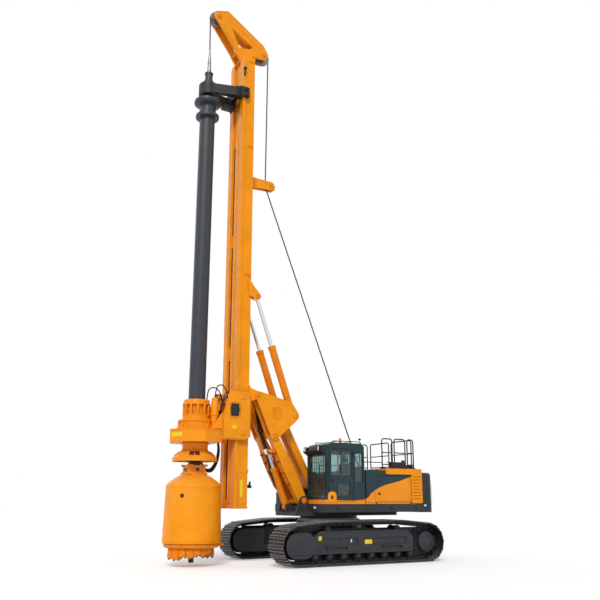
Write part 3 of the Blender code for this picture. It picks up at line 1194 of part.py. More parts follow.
def bucket():
    """Build the drilling bucket's open shell with its cone, square neck and floor hinge ears."""
    centre = (KELLY_X, 0, 0)
    neck = BUCKET_NECK_HALF
    top = BUCKET_SHOULDER_TOP
    profile = [
        (0, top), (neck, top), (BUCKET_TOP_RADIUS, BUCKET_SHOULDER_Z),
        (BUCKET_RADIUS, BUCKET_BOTTOM + BUCKET_RIM_HEIGHT),
        (BUCKET_RADIUS, BUCKET_BOTTOM), (BUCKET_RADIUS - BUCKET_WALL, BUCKET_BOTTOM),
        (BUCKET_TOP_RADIUS - BUCKET_WALL, BUCKET_SHOULDER_Z - BUCKET_WALL), (neck, top - 2 * BUCKET_WALL),
        (0, top - 2 * BUCKET_WALL),
    ]
    half = neck + SINK
    ear_x = KELLY_X - FLOOR_HINGE_RADIUS
    solids = [
        turned(profile, centre),
        block((KELLY_X - half, KELLY_X + half), (-half, half), (top - BUCKET_WALL, BUCKET_NECK_TOP)),
    ]
    ear_inner = FLOOR_HINGE_WIDTH / 2 + EYE_GAP
    root_x = KELLY_X - BUCKET_RADIUS + BUCKET_WALL / 2
    root_low = BUCKET_BOTTOM + EAR_ROOT_LIFT
    root = ((root_x, root_low), (root_x, root_low + EAR_ROOT_HEIGHT))
    solids += both_sides(pin_lugs(ear_x, FLOOR_HINGE_Z, FLOOR_HINGE_BARREL, ear_inner, ear_inner + WINCH_PLATE,
                                  root))
    solids.append(cross_rod(ear_x, FLOOR_HINGE_Z, FLOOR_HINGE_BARREL / 2, -ear_inner - SINK, ear_inner + SINK,
                            SMALL_STEPS))
    socket = KELLY_SQUARE_HALF + PIN_GAP
    holes = [block((KELLY_X - socket, KELLY_X + socket), (-socket, socket),
                   (KELLY_SQUARE_BOTTOM - SEAT_GAP, BUCKET_NECK_TOP + CUT_OVERRUN))]
    fuse("drilling_bucket", "yellow", solids, holes, pivot=(KELLY_X, 0, BUCKET_BOTTOM))


def bucket_floor():
    """Build the bucket's hinged floor with its cone, cutting teeth and pilot point."""
    centre = (KELLY_X, 0, 0)
    rim = BUCKET_RADIUS - SEAT_GAP
    profile = [
        (0, FLOOR_TOP), (rim - BUCKET_WALL, FLOOR_TOP), (rim, FLOOR_TOP), (rim, FLOOR_PLATE_BOTTOM),
        (FLOOR_CONE_RADIUS, FLOOR_CONE_BOTTOM), (PILOT_RADIUS, FLOOR_CONE_BOTTOM - PILOT_ROOT_DROP),
        (PILOT_RADIUS * 0.9, PILOT_BOTTOM + PILOT_POINT), (0, PILOT_BOTTOM),
    ]
    hinge_x = KELLY_X - FLOOR_HINGE_RADIUS
    half = FLOOR_HINGE_WIDTH / 2
    solids = [
        turned(profile, centre),
        cross_rod(hinge_x, FLOOR_HINGE_Z, FLOOR_HINGE_BARREL, -half, half, SMALL_STEPS),
        block((hinge_x, KELLY_X - BUCKET_RADIUS + BUCKET_WALL), (-half, half),
              (FLOOR_PLATE_BOTTOM + SINK, FLOOR_HINGE_Z)),
    ]
    outermost = rim - TOOTH_EDGE
    for side in (-1, 1):
        for index in range(TOOTH_COUNT):
            radius = outermost - (outermost - TOOTH_INNER_RADIUS) * index / TOOTH_COUNT
            drop = (FLOOR_PLATE_BOTTOM - FLOOR_CONE_BOTTOM) * (rim - radius) / (rim - FLOOR_CONE_RADIUS)
            root_z = FLOOR_PLATE_BOTTOM + SINK - min(drop, FLOOR_PLATE_BOTTOM - FLOOR_CONE_BOTTOM)
            y = side * radius
            x = KELLY_X - side * TOOTH_WIDTH * 0.5
            tip = (x - side * TOOTH_LENGTH * 0.45, root_z - TOOTH_LENGTH)
            outline = [(x - TOOTH_WIDTH / 2, root_z), (x + TOOTH_WIDTH / 2, root_z),
                       (tip[0] + TOOTH_WIDTH / 5, tip[1]), (tip[0] - TOOTH_WIDTH / 5, tip[1])]
            solids.append(prism(outline, "Y", y - TOOTH_WIDTH / 2, y + TOOTH_WIDTH / 2))
    holes = [cross_rod(hinge_x, FLOOR_HINGE_Z, FLOOR_HINGE_BARREL / 2 + PIN_GAP, -half - CUT_OVERRUN,
                       half + CUT_OVERRUN, SMALL_STEPS)]
    fuse("bucket_floor", "yellow", solids, holes, pivot=(hinge_x, 0, FLOOR_HINGE_Z))


def knuckles(x, y, low, high, side):
    """Return two hinge knuckles on an upright axis at x and y, low ones for the frame, high ones for the door.

    The leaf that carries each knuckle reaches to the side of the axis that its piece lies on.
    """
    solids = []
    lift = HINGE_KNUCKLE if side > 0 else 0
    for share in HINGE_SHARES:
        z = low + (high - low) * share + lift
        span = (z + EYE_GAP / 2, z + HINGE_KNUCKLE - EYE_GAP / 2)
        solids.append(rod((x, y, span[0]), (x, y, span[1]), HINGE_RADIUS, SMALL_STEPS))
        leaf_x = sorted((x, x + side * HINGE_LEAF))
        root_x = sorted((x + side * HINGE_LEAF / 2, x + side * HINGE_LEAF))
        solids.append(block(leaf_x, (y - DOOR_HINGE_OUT + EYE_GAP, y), span))
        solids.append(block(root_x, (y - DOOR_HINGE_OUT - SINK, y - DOOR_HINGE_OUT / 2), span))
    return solids


def cab_profile(inset=0):
    """Return the cab's side outline in x and z, drawn in by an inset."""
    rear, front = CAB_REAR + inset, CAB_FRONT - inset
    low, high = DECK_SEAT + inset, CAB_ROOF - inset
    corner = CAB_CORNER
    return [(rear, low), (front, low), (front, high - 2 * corner), (front - corner / 2, high - corner / 2),
            (front - 2 * corner, high), (rear + corner, high), (rear, high - corner)]


def cab_shell():
    """Build the hollow cab with its door opening, windows and the guard bars on the boom side."""
    wall = CAB_WALL
    reach = CUT_OVERRUN
    holes = [
        prism(cab_profile(wall), "Y", CAB_INNER_Y + wall, CAB_OUTER_Y - wall),
        block((CAB_FRONT - wall - reach, CAB_FRONT + reach), (CAB_INNER_Y + WINDOW_EDGE, CAB_OUTER_Y - WINDOW_EDGE),
              (WINDSCREEN_BOTTOM, WINDSCREEN_TOP - WINDOW_EDGE)),
        block((DOOR_REAR, DOOR_FRONT), (CAB_OUTER_Y - wall - reach, CAB_OUTER_Y + reach), (DOOR_BOTTOM, DOOR_TOP)),
        block((CAB_REAR + WINDOW_EDGE, QUARTER_FRONT), (CAB_OUTER_Y - wall - reach, CAB_OUTER_Y + reach),
              (QUARTER_BOTTOM, WINDSCREEN_TOP - WINDOW_EDGE)),
        block((CAB_REAR - reach, CAB_REAR + wall + reach), (CAB_INNER_Y + WINDOW_EDGE, CAB_OUTER_Y - WINDOW_EDGE),
              (REAR_WINDOW_BOTTOM, WINDSCREEN_TOP - WINDOW_EDGE)),
        block((SIDE_WINDOW_REAR, SIDE_WINDOW_FRONT), (CAB_INNER_Y - reach, CAB_INNER_Y + wall + reach),
              (SIDE_WINDOW_BOTTOM, WINDSCREEN_TOP - WINDOW_EDGE)),
    ]
    solids = [prism(cab_profile(), "Y", CAB_INNER_Y, CAB_OUTER_Y)]
    body = fuse("cab_shell", "teal", solids, holes)
    hinge_y = CAB_OUTER_Y + DOOR_HINGE_OUT
    frame_knuckles = knuckles(DOOR_REAR - HINGE_RADIUS, hinge_y, DOOR_BOTTOM, DOOR_TOP, -1)
    refuse(body, frame_knuckles)


def pane(name, x, y, z):
    """Build one flat window pane over three (low, high) spans."""
    fuse(name, "glass", [block(x, y, z)])


def cab_glass():
    """Build the panes that fill the cab's fixed windows."""
    wall = CAB_WALL
    seat = SEAT_GAP
    top = WINDSCREEN_TOP - WINDOW_EDGE - seat
    across = (CAB_INNER_Y + WINDOW_EDGE + seat, CAB_OUTER_Y - WINDOW_EDGE - seat)
    middle = (wall - GLASS) / 2
    pane("windscreen", (CAB_FRONT - middle - GLASS, CAB_FRONT - middle), across, (WINDSCREEN_BOTTOM + seat, top))
    pane("rear_window", (CAB_REAR + middle, CAB_REAR + middle + GLASS), across, (REAR_WINDOW_BOTTOM + seat, top))
    pane("quarter_window", (CAB_REAR + WINDOW_EDGE + seat, QUARTER_FRONT - seat),
         (CAB_OUTER_Y - middle - GLASS, CAB_OUTER_Y - middle), (QUARTER_BOTTOM + seat, top))
    pane("side_window", (SIDE_WINDOW_REAR + seat, SIDE_WINDOW_FRONT - seat),
         (CAB_INNER_Y + middle, CAB_INNER_Y + middle + GLASS), (SIDE_WINDOW_BOTTOM + seat, top))


def cab_door():
    """Build the cab's door with its two window openings, and its panes."""
    wall = CAB_WALL
    gap = RUN_GAP
    low_y, high_y = CAB_OUTER_Y - wall, CAB_OUTER_Y
    hinge = (DOOR_REAR - HINGE_RADIUS, CAB_OUTER_Y + DOOR_HINGE_OUT, DOOR_BOTTOM)
    shape = block((DOOR_REAR + gap, DOOR_FRONT - gap), (low_y, high_y), (DOOR_BOTTOM + gap, DOOR_TOP - gap))
    window = ((DOOR_REAR + gap + DOOR_FRAME, DOOR_FRONT - gap - DOOR_FRAME),
              (DOOR_WINDOW_BOTTOM, DOOR_TOP - gap - DOOR_FRAME))
    low_window = ((DOOR_LOW_REAR, DOOR_LOW_FRONT), (DOOR_LOW_BOTTOM, DOOR_LOW_TOP))
    through = (low_y - CUT_OVERRUN, high_y + CUT_OVERRUN)
    holes = [block(x, through, z) for x, z in (window, low_window)]
    solids = [shape] + knuckles(hinge[0], hinge[1], DOOR_BOTTOM, DOOR_TOP, 1)
    fuse("cab_door", "teal", solids, holes, pivot=hinge)
    middle = (wall - GLASS) / 2
    seat = SEAT_GAP
    for name, (x, z) in (("door_window", window), ("door_low_window", low_window)):
        fuse(name, "glass", [block((x[0] + seat, x[1] - seat), (high_y - middle - GLASS, high_y - middle),
                                   (z[0] + seat, z[1] - seat))], pivot=hinge)


def cab_fittings():
    """Build the seat and consoles, the roof visor with its lamps, and the beacon."""
    floor = DECK_SEAT + CAB_WALL + SEAT_GAP
    seat_top = floor + SEAT_HEIGHT
    seat_y = (SEAT_Y - SEAT_HALF, SEAT_Y + SEAT_HALF)
    solids = [
        block((SEAT_X - SEAT_HALF / 2, SEAT_X + SEAT_HALF / 2), (SEAT_Y - SEAT_HALF / 2, SEAT_Y + SEAT_HALF / 2),
              (floor, seat_top - CUSHION + SINK)),
        block((SEAT_X - SEAT_HALF, SEAT_X + SEAT_HALF), seat_y, (seat_top - CUSHION, seat_top), SINK),
        block((SEAT_X - SEAT_HALF, SEAT_X - SEAT_HALF + CUSHION), seat_y, (seat_top - SINK, seat_top + BACK_HEIGHT),
              SINK),
    ]
    fuse("operator_seat", "cloth", solids)
    base = (SEAT_X - SEAT_HALF / 2, SEAT_X + 2 * SEAT_HALF)
    front = (SEAT_X + 2 * SEAT_HALF - SINK, CAB_FRONT - CAB_WALL - SINK)
    console_y = SEAT_Y - SEAT_HALF - SINK
    console = [
        block(base, (console_y - CONSOLE_WIDTH, console_y), (floor, floor + CONSOLE_HEIGHT)),
        block(front, (console_y - CONSOLE_WIDTH, console_y), (floor, floor + CONSOLE_HEIGHT + CUSHION)),
    ]
    fuse("cab_console", "black", console)
    visor_x = CAB_FRONT + SEAT_GAP
    visor_top = CAB_ROOF - CAB_CORNER * 2
    outline = [(visor_x, visor_top - VISOR_HEIGHT), (visor_x, visor_top), (visor_x + VISOR_REACH, visor_top - SINK),
               (visor_x + VISOR_REACH, visor_top - 2 * SINK)]
    visor = [prism(outline, "Y", CAB_INNER_Y + SINK, CAB_OUTER_Y - SINK)]
    for y in (CAB_INNER_Y + 3 * LAMP_HALF, CAB_OUTER_Y - 3 * LAMP_HALF):
        visor.append(block((visor_x + LAMP_HALF, visor_x + VISOR_REACH), (y - LAMP_HALF, y + LAMP_HALF),
                           (visor_top - 2 * SINK, visor_top + 2 * LAMP_HALF)))
    fuse("cab_visor", "black", visor)
    roof = CAB_ROOF + SEAT_GAP
    profile = [(0, roof), (BEACON_RADIUS, roof), (BEACON_RADIUS, roof + SINK), (BEACON_RADIUS * 0.8, roof + SINK),
               (BEACON_RADIUS * 0.7, roof + BEACON_HEIGHT - SINK), (0, roof + BEACON_HEIGHT)]
    fuse("beacon", "amber", [turned(profile, (BEACON_X, BEACON_Y, 0), "Z", ROD_STEPS)])


def house():
    """Build the house's shell with its service opening and rope well, its door, and the rear cowl."""
    wall = HOUSE_WALL
    outer = block((HOUSE_REAR, HOUSE_FRONT), (-HOUSE_HALF, HOUSE_HALF), (DECK_SEAT, HOUSE_ROOF))
    rear_cut = HOUSE_REAR + wall
    holes = [
        block((rear_cut, HOUSE_FRONT - wall), (-HOUSE_HALF + wall, HOUSE_HALF - wall),
              (DECK_SEAT - CUT_OVERRUN, HOUSE_ROOF - wall)),
        block((SERVICE_REAR, SERVICE_FRONT), (HOUSE_HALF - wall - CUT_OVERRUN, HOUSE_HALF + CUT_OVERRUN),
              (SERVICE_BOTTOM, SERVICE_TOP)),
        block((WELL_REAR, WELL_FRONT), (-WELL_HALF, WELL_HALF), (HOUSE_ROOF - wall - CUT_OVERRUN,
                                                                HOUSE_ROOF + CUT_OVERRUN)),
    ]
    body = fuse("engine_house", "teal", [outer], holes)
    gap = RUN_GAP
    hinge = (SERVICE_REAR - HINGE_RADIUS, HOUSE_HALF + DOOR_HINGE_OUT, SERVICE_BOTTOM)
    refuse(body, knuckles(hinge[0], hinge[1], SERVICE_BOTTOM, SERVICE_TOP, -1))
    panel = block((SERVICE_REAR + gap, SERVICE_FRONT - gap), (HOUSE_HALF - wall, HOUSE_HALF),
                  (SERVICE_BOTTOM + gap, SERVICE_TOP - gap))
    fuse("service_door", "yellow", [panel] + knuckles(hinge[0], hinge[1], SERVICE_BOTTOM, SERVICE_TOP, 1),
         pivot=hinge)
    inner = HOUSE_HALF + SEAT_GAP
    outer_y = inner + COWL_WALL
    under = HOUSE_ROOF + SEAT_GAP
    band = [(-outer_y, COWL_BAND_BOTTOM), (-inner, COWL_BAND_BOTTOM), (-inner, under), (inner, under),
            (inner, COWL_BAND_BOTTOM), (outer_y, COWL_BAND_BOTTOM), (outer_y, COWL_TOP), (-outer_y, COWL_TOP)]
    sides = [(y, COWL_SIDE_BOTTOM if z == COWL_BAND_BOTTOM else z) for y, z in band]
    solids = [prism(band, "X", HOUSE_REAR, COWL_FRONT), prism(sides, "X", HOUSE_REAR, COWL_SIDE_FRONT)]
    holes = [block((WELL_REAR, WELL_FRONT), (-WELL_HALF, WELL_HALF), (under - CUT_OVERRUN, COWL_TOP + CUT_OVERRUN))]
    pitch = (COWL_BAND_BOTTOM - COWL_SIDE_BOTTOM) / (LOUVRE_COUNT + 1)
    for index in range(LOUVRE_COUNT):
        z = COWL_SIDE_BOTTOM + pitch * (index + 1)
        for side in (-1, 1):
            span = sorted((side * (inner - CUT_OVERRUN), side * (outer_y + CUT_OVERRUN)))
            holes.append(block((HOUSE_REAR + LAMP_HALF, COWL_SIDE_FRONT - LAMP_HALF), span, (z, z + LOUVRE_HEIGHT)))
    fuse("rear_cowl", "yellow", solids, holes)


def counterweight():
    """Build the counterweight block behind the house."""
    corner = COUNTERWEIGHT_CORNER
    outline = [(COUNTERWEIGHT_FRONT, -DECK_HALF)]
    for side in (-1, 1):
        for step in range(5):
            angle = math.pi / 2 * step / 4
            bend = (corner * math.sin(angle), corner * (1 - math.cos(angle)))
            if side > 0:
                bend = (corner * math.cos(angle), corner * (1 - math.sin(angle)))
            outline.append((COUNTERWEIGHT_REAR + corner - bend[0], side * (DECK_HALF - bend[1])))
    outline.append((COUNTERWEIGHT_FRONT, DECK_HALF))
    bm = bmesh.new()
    bm.from_mesh(prism(outline, "Z", COUNTERWEIGHT_BOTTOM, COUNTERWEIGHT_TOP))
    top = [e for e in bm.edges if all(v.co.z > COUNTERWEIGHT_TOP - MERGE_DISTANCE for v in e.verts)
           and any(v.co.x < COUNTERWEIGHT_FRONT - MERGE_DISTANCE for v in e.verts)]
    bmesh.ops.bevel(bm, geom=top, offset=COUNTERWEIGHT_BEVEL, segments=2, affect="EDGES", profile=0.5)
    fuse("counterweight", "grey", [mesh_of(bm)])


def deck_gear():
    """Build the engine, the winch drum, the tank, the step box, the air box and the exhaust."""
    fuse("engine_block", "black", [block((ENGINE_REAR, ENGINE_FRONT), (ENGINE_OUTER_Y, ENGINE_INNER_Y),
                                         (DECK_SEAT, ENGINE_TOP), SINK)])
    half = WINCH_HALF
    inner = half - WINCH_FLANGE
    bore = PIN_RADIUS + PIN_GAP
    profile = [(bore, -half), (WINCH_FLANGE_RADIUS, -half), (WINCH_FLANGE_RADIUS, -inner),
               (WINCH_DRUM_RADIUS, -inner), (WINCH_DRUM_RADIUS, inner), (WINCH_FLANGE_RADIUS, inner),
               (WINCH_FLANGE_RADIUS, half), (bore, half)]
    fuse("winch_drum", "steel", [turned(profile, (WINCH_X, 0, WINCH_Z), "Y")], pivot=(WINCH_X, 0, WINCH_Z))
    fuse("fuel_tank", "teal", [block((TANK_REAR, TANK_FRONT), (-HOUSE_HALF, TANK_INNER_Y), (DECK_SEAT, TANK_TOP),
                                     HOUSE_CORNER)])
    rail_y = (STEP_BOX_INNER_Y - HOUSE_HALF) / 2
    rail_x = STEP_BOX_FRONT - LAMP_HALF
    top = STEP_BOX_TOP + GRAB_RAIL_HEIGHT
    spread = (STEP_BOX_INNER_Y + HOUSE_HALF) / 2 - LAMP_HALF
    hoop = [(rail_x, rail_y - spread, STEP_BOX_TOP - SINK), (rail_x, rail_y - spread, top - RAIL_BEND),
            (rail_x, rail_y - spread + RAIL_BEND, top), (rail_x, rail_y + spread - RAIL_BEND, top),
            (rail_x, rail_y + spread, top - RAIL_BEND), (rail_x, rail_y + spread, STEP_BOX_TOP - SINK)]
    solids = [block((STEP_BOX_REAR, STEP_BOX_FRONT), (-HOUSE_HALF, STEP_BOX_INNER_Y), (DECK_SEAT, STEP_BOX_TOP)),
              tube(hoop, RAIL_TUBE_RADIUS)]
    fuse("step_box", "black", solids)
    base = COWL_TOP + SEAT_GAP
    fuse("air_box", "black", [block((AIR_BOX_REAR, AIR_BOX_FRONT), (AIR_BOX_INNER_Y, AIR_BOX_OUTER_Y),
                                    (base, base + AIR_BOX_HEIGHT), SINK)])
    profile = [(0, base), (EXHAUST_RADIUS * 1.4, base), (EXHAUST_RADIUS * 1.4, base + SINK),
               (EXHAUST_RADIUS, base + SINK), (EXHAUST_RADIUS, base + EXHAUST_HEIGHT),
               (EXHAUST_RADIUS * 0.8, base + EXHAUST_HEIGHT), (EXHAUST_RADIUS * 0.8, base + EXHAUST_HEIGHT / 2),
               (0, base + EXHAUST_HEIGHT / 2)]
    fuse("exhaust_stack", "black", [turned(profile, (EXHAUST_X, EXHAUST_Y, 0), "Z", ROD_STEPS)])


# Handrail panels: places of each hoop's two posts, as shares of the way from the front post to the rear one
RAIL_PANEL_SHARES = (
    (0, 0.32),
    (0.39, 0.736),
    (0.805, 1),
)


def hoop(start, end, base, height):
    """Return one handrail hoop between two posts of (x, y), with its mid rail."""
    start, end = Vector((*start, base)), Vector((*end, base))
    along = (end - start).normalized() * RAIL_BEND
    up = Vector((0, 0, height))
    bend = Vector((0, 0, RAIL_BEND))
    path = [start, start + up - bend, start + up + along, end + up - along, end + up - bend, end]
    middle = up * RAIL_MID_SHARE
    return [tube(path, RAIL_TUBE_RADIUS), rod(start + middle, end + middle, RAIL_TUBE_RADIUS, 6)]


def handrails():
    """Build the handrails round the cowl, on the strips that carry them."""
    base = COWL_TOP + SEAT_GAP
    half = RAIL_BASE_HALF
    rear_x = HOUSE_REAR + half
    strip_x = (HOUSE_REAR, COWL_FRONT - SINK)
    solids = [block((HOUSE_REAR, HOUSE_REAR + 2 * half), (-RAIL_Y, RAIL_Y), (base, base + RAIL_BASE))]
    solids += both_sides(block(strip_x, (RAIL_Y - half, RAIL_Y + half), (base, base + RAIL_BASE)))
    foot = base + RAIL_BASE / 2
    first_x = COWL_FRONT - 2 * half
    length = first_x - (HOUSE_REAR + 2 * half)
    for side in (-1, 1):
        for shares in RAIL_PANEL_SHARES:
            start, end = [(first_x - length * share, side * RAIL_Y) for share in shares]
            solids += hoop(start, end, foot, RAIL_HEIGHT)
    for low, high in ((-RAIL_Y + 2 * RAIL_BEND, -RAIL_BEND), (RAIL_BEND, RAIL_Y - 2 * RAIL_BEND)):
        solids += hoop((rear_x, low), (rear_x, high), foot, RAIL_HEIGHT)
    fuse("handrails", "grey", solids)


def main():
    """Build the whole rig."""
    clear_scene()
    for word, side in (("left", 1), ("right", -1)):
        track(word + "_track", side)
        track_frame(word + "_track_frame", side)
        idler(word + "_idler", side)
        sprocket(word + "_sprocket", side)
    carbody()
    slew_frame()
    boom()
    rear_link()
    triangle()
    cylinders()
    mast()
    mast_head()
    head_hub = HEAD_HALF - HEAD_PLATE - EYE_GAP
    sheave("front_sheave", FRONT_SHEAVE_X, FRONT_SHEAVE_Z, SHEAVE_RADIUS, head_hub)
    sheave("rear_sheave", REAR_SHEAVE_X, REAR_SHEAVE_Z, SHEAVE_RADIUS, head_hub)
    sheave("arm_sheave", ARM_SHEAVE_X, ARM_SHEAVE_Z, ARM_SHEAVE_RADIUS, SHEAVE_WIDTH / 2 + RUN_GAP - EYE_GAP)
    carriage()
    gearbox()
    sleeve()
    kelly()
    guide()
    bucket()
    bucket_floor()
    cab_shell()
    cab_glass()
    cab_door()
    cab_fittings()
    house()
    counterweight()
    deck_gear()
    handrails()


main()
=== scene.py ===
"""Looks of a rotary piling rig on tracks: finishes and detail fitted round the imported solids.

Metres, +X towards the drilling tool, +Y towards the cab's side, +Z up, origin on the ground on the slewing axis.
"""

import json
import logging
import math
from dataclasses import dataclass, field
from enum import Enum
from typing import Iterable, Sequence

import bmesh
import bpy
from mathutils import Matrix, Vector

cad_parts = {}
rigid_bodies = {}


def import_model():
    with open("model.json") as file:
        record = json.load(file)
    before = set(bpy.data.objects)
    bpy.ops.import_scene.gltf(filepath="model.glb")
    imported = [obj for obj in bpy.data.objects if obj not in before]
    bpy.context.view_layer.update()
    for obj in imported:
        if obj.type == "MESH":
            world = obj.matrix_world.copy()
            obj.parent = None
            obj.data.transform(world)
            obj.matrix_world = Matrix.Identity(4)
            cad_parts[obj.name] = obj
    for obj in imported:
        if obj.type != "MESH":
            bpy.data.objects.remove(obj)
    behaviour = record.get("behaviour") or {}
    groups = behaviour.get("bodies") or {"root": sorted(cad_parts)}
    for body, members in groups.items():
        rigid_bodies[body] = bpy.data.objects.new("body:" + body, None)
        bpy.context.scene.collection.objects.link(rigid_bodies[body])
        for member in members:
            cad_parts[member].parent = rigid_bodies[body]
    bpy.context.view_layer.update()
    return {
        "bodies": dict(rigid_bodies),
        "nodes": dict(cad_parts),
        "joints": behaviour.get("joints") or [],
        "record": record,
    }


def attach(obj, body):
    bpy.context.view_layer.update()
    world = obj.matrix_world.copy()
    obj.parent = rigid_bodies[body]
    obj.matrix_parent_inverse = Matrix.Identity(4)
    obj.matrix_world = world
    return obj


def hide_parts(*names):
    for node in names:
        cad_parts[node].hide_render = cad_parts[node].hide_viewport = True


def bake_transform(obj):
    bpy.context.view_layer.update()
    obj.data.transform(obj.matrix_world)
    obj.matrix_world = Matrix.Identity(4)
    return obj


log = logging.getLogger("rig")

Point = Sequence[float]
Outline = Sequence[tuple[float, float]]

MM = 0.001
KELLY_X = 4.28  # axis of the kelly and of all that turns with it
ON_KELLY = (KELLY_X, 0, 0)
HEXAGON = 6
BOLT_SINK = 0.2  # share of a bolt head's height that lies in the face below it
BEVEL_SHARE = 0.45  # widest bevel, as a share of a box's thinnest side
THINNEST = 1e-5  # least size of a box
WELD_REACH = 1e-5  # points closer than this are one
AXIS_REACH = 1e-6  # a profile's point this near to the axis lies on it
FLAT = 0.99  # cosine above which a face counts as square to an axis
RAIN_DIRT = "#6B5A45"
SITE_DUST = "#A29A8A"
ROPE_GREASE = "#15161A"


class Body(Enum):
    """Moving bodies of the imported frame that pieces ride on."""

    LOWER = "undercarriage"
    UPPER = "upperstructure"
    WINCH = "winch"
    CAB_DOOR = "cab_door_leaf"
    SERVICE_DOOR = "service_door_leaf"
    BOOM = "boom_frame"
    TRIANGLE = "triangle_frame"
    LUFF_BARREL = "luff_cylinder"
    LEFT_BARREL = "left_tilt_cylinder"
    RIGHT_BARREL = "right_tilt_cylinder"
    MAST = "mast_column"
    DRIVE = "rotary_drive"
    SLEEVE = "turning_sleeve"
    HANGER = "kelly_hanger"
    KELLY = "kelly_string"
    FLOOR = "bucket_bottom"


class Axis(Enum):
    """Directions of the rig that shapes are drawn along."""

    X = (1, 0, 0)
    Y = (0, 1, 0)
    Z = (0, 0, 1)


def linear(colour: str) -> tuple[float, float, float, float]:
    """Turn an sRGB hex colour into the linear values that shaders take.

    Args:
        colour: six hex digits after a hash.

    Returns:
        Red, green, blue and an alpha of 1.
    """
    shares = [int(colour[i:i + 2], 16) / 255 for i in (1, 3, 5)]
    red, green, blue = [s / 12.92 if s <= 0.04045 else ((s + 0.055) / 1.055) ** 2.4 for s in shares]
    return (red, green, blue, 1.0)


def add_node(tree: bpy.types.NodeTree, kind: str, values: dict | None = None, links: dict | None = None,
             **settings: object) -> bpy.types.Node:
    """Add one node with its settings, socket values and links.

    Args:
        tree: node tree of the material.
        kind: Blender's name of the node type.
        values: socket name or number to the value it holds.
        links: socket name or number to the output socket that feeds it.
        settings: properties of the node itself.

    Returns:
        The new node.
    """
    node = tree.nodes.new(kind)
    for key, value in settings.items():
        setattr(node, key, value)
    for key, value in (values or {}).items():
        node.inputs[key].default_value = value
    for key, output in (links or {}).items():
        tree.links.new(output, node.inputs[key])
    return node


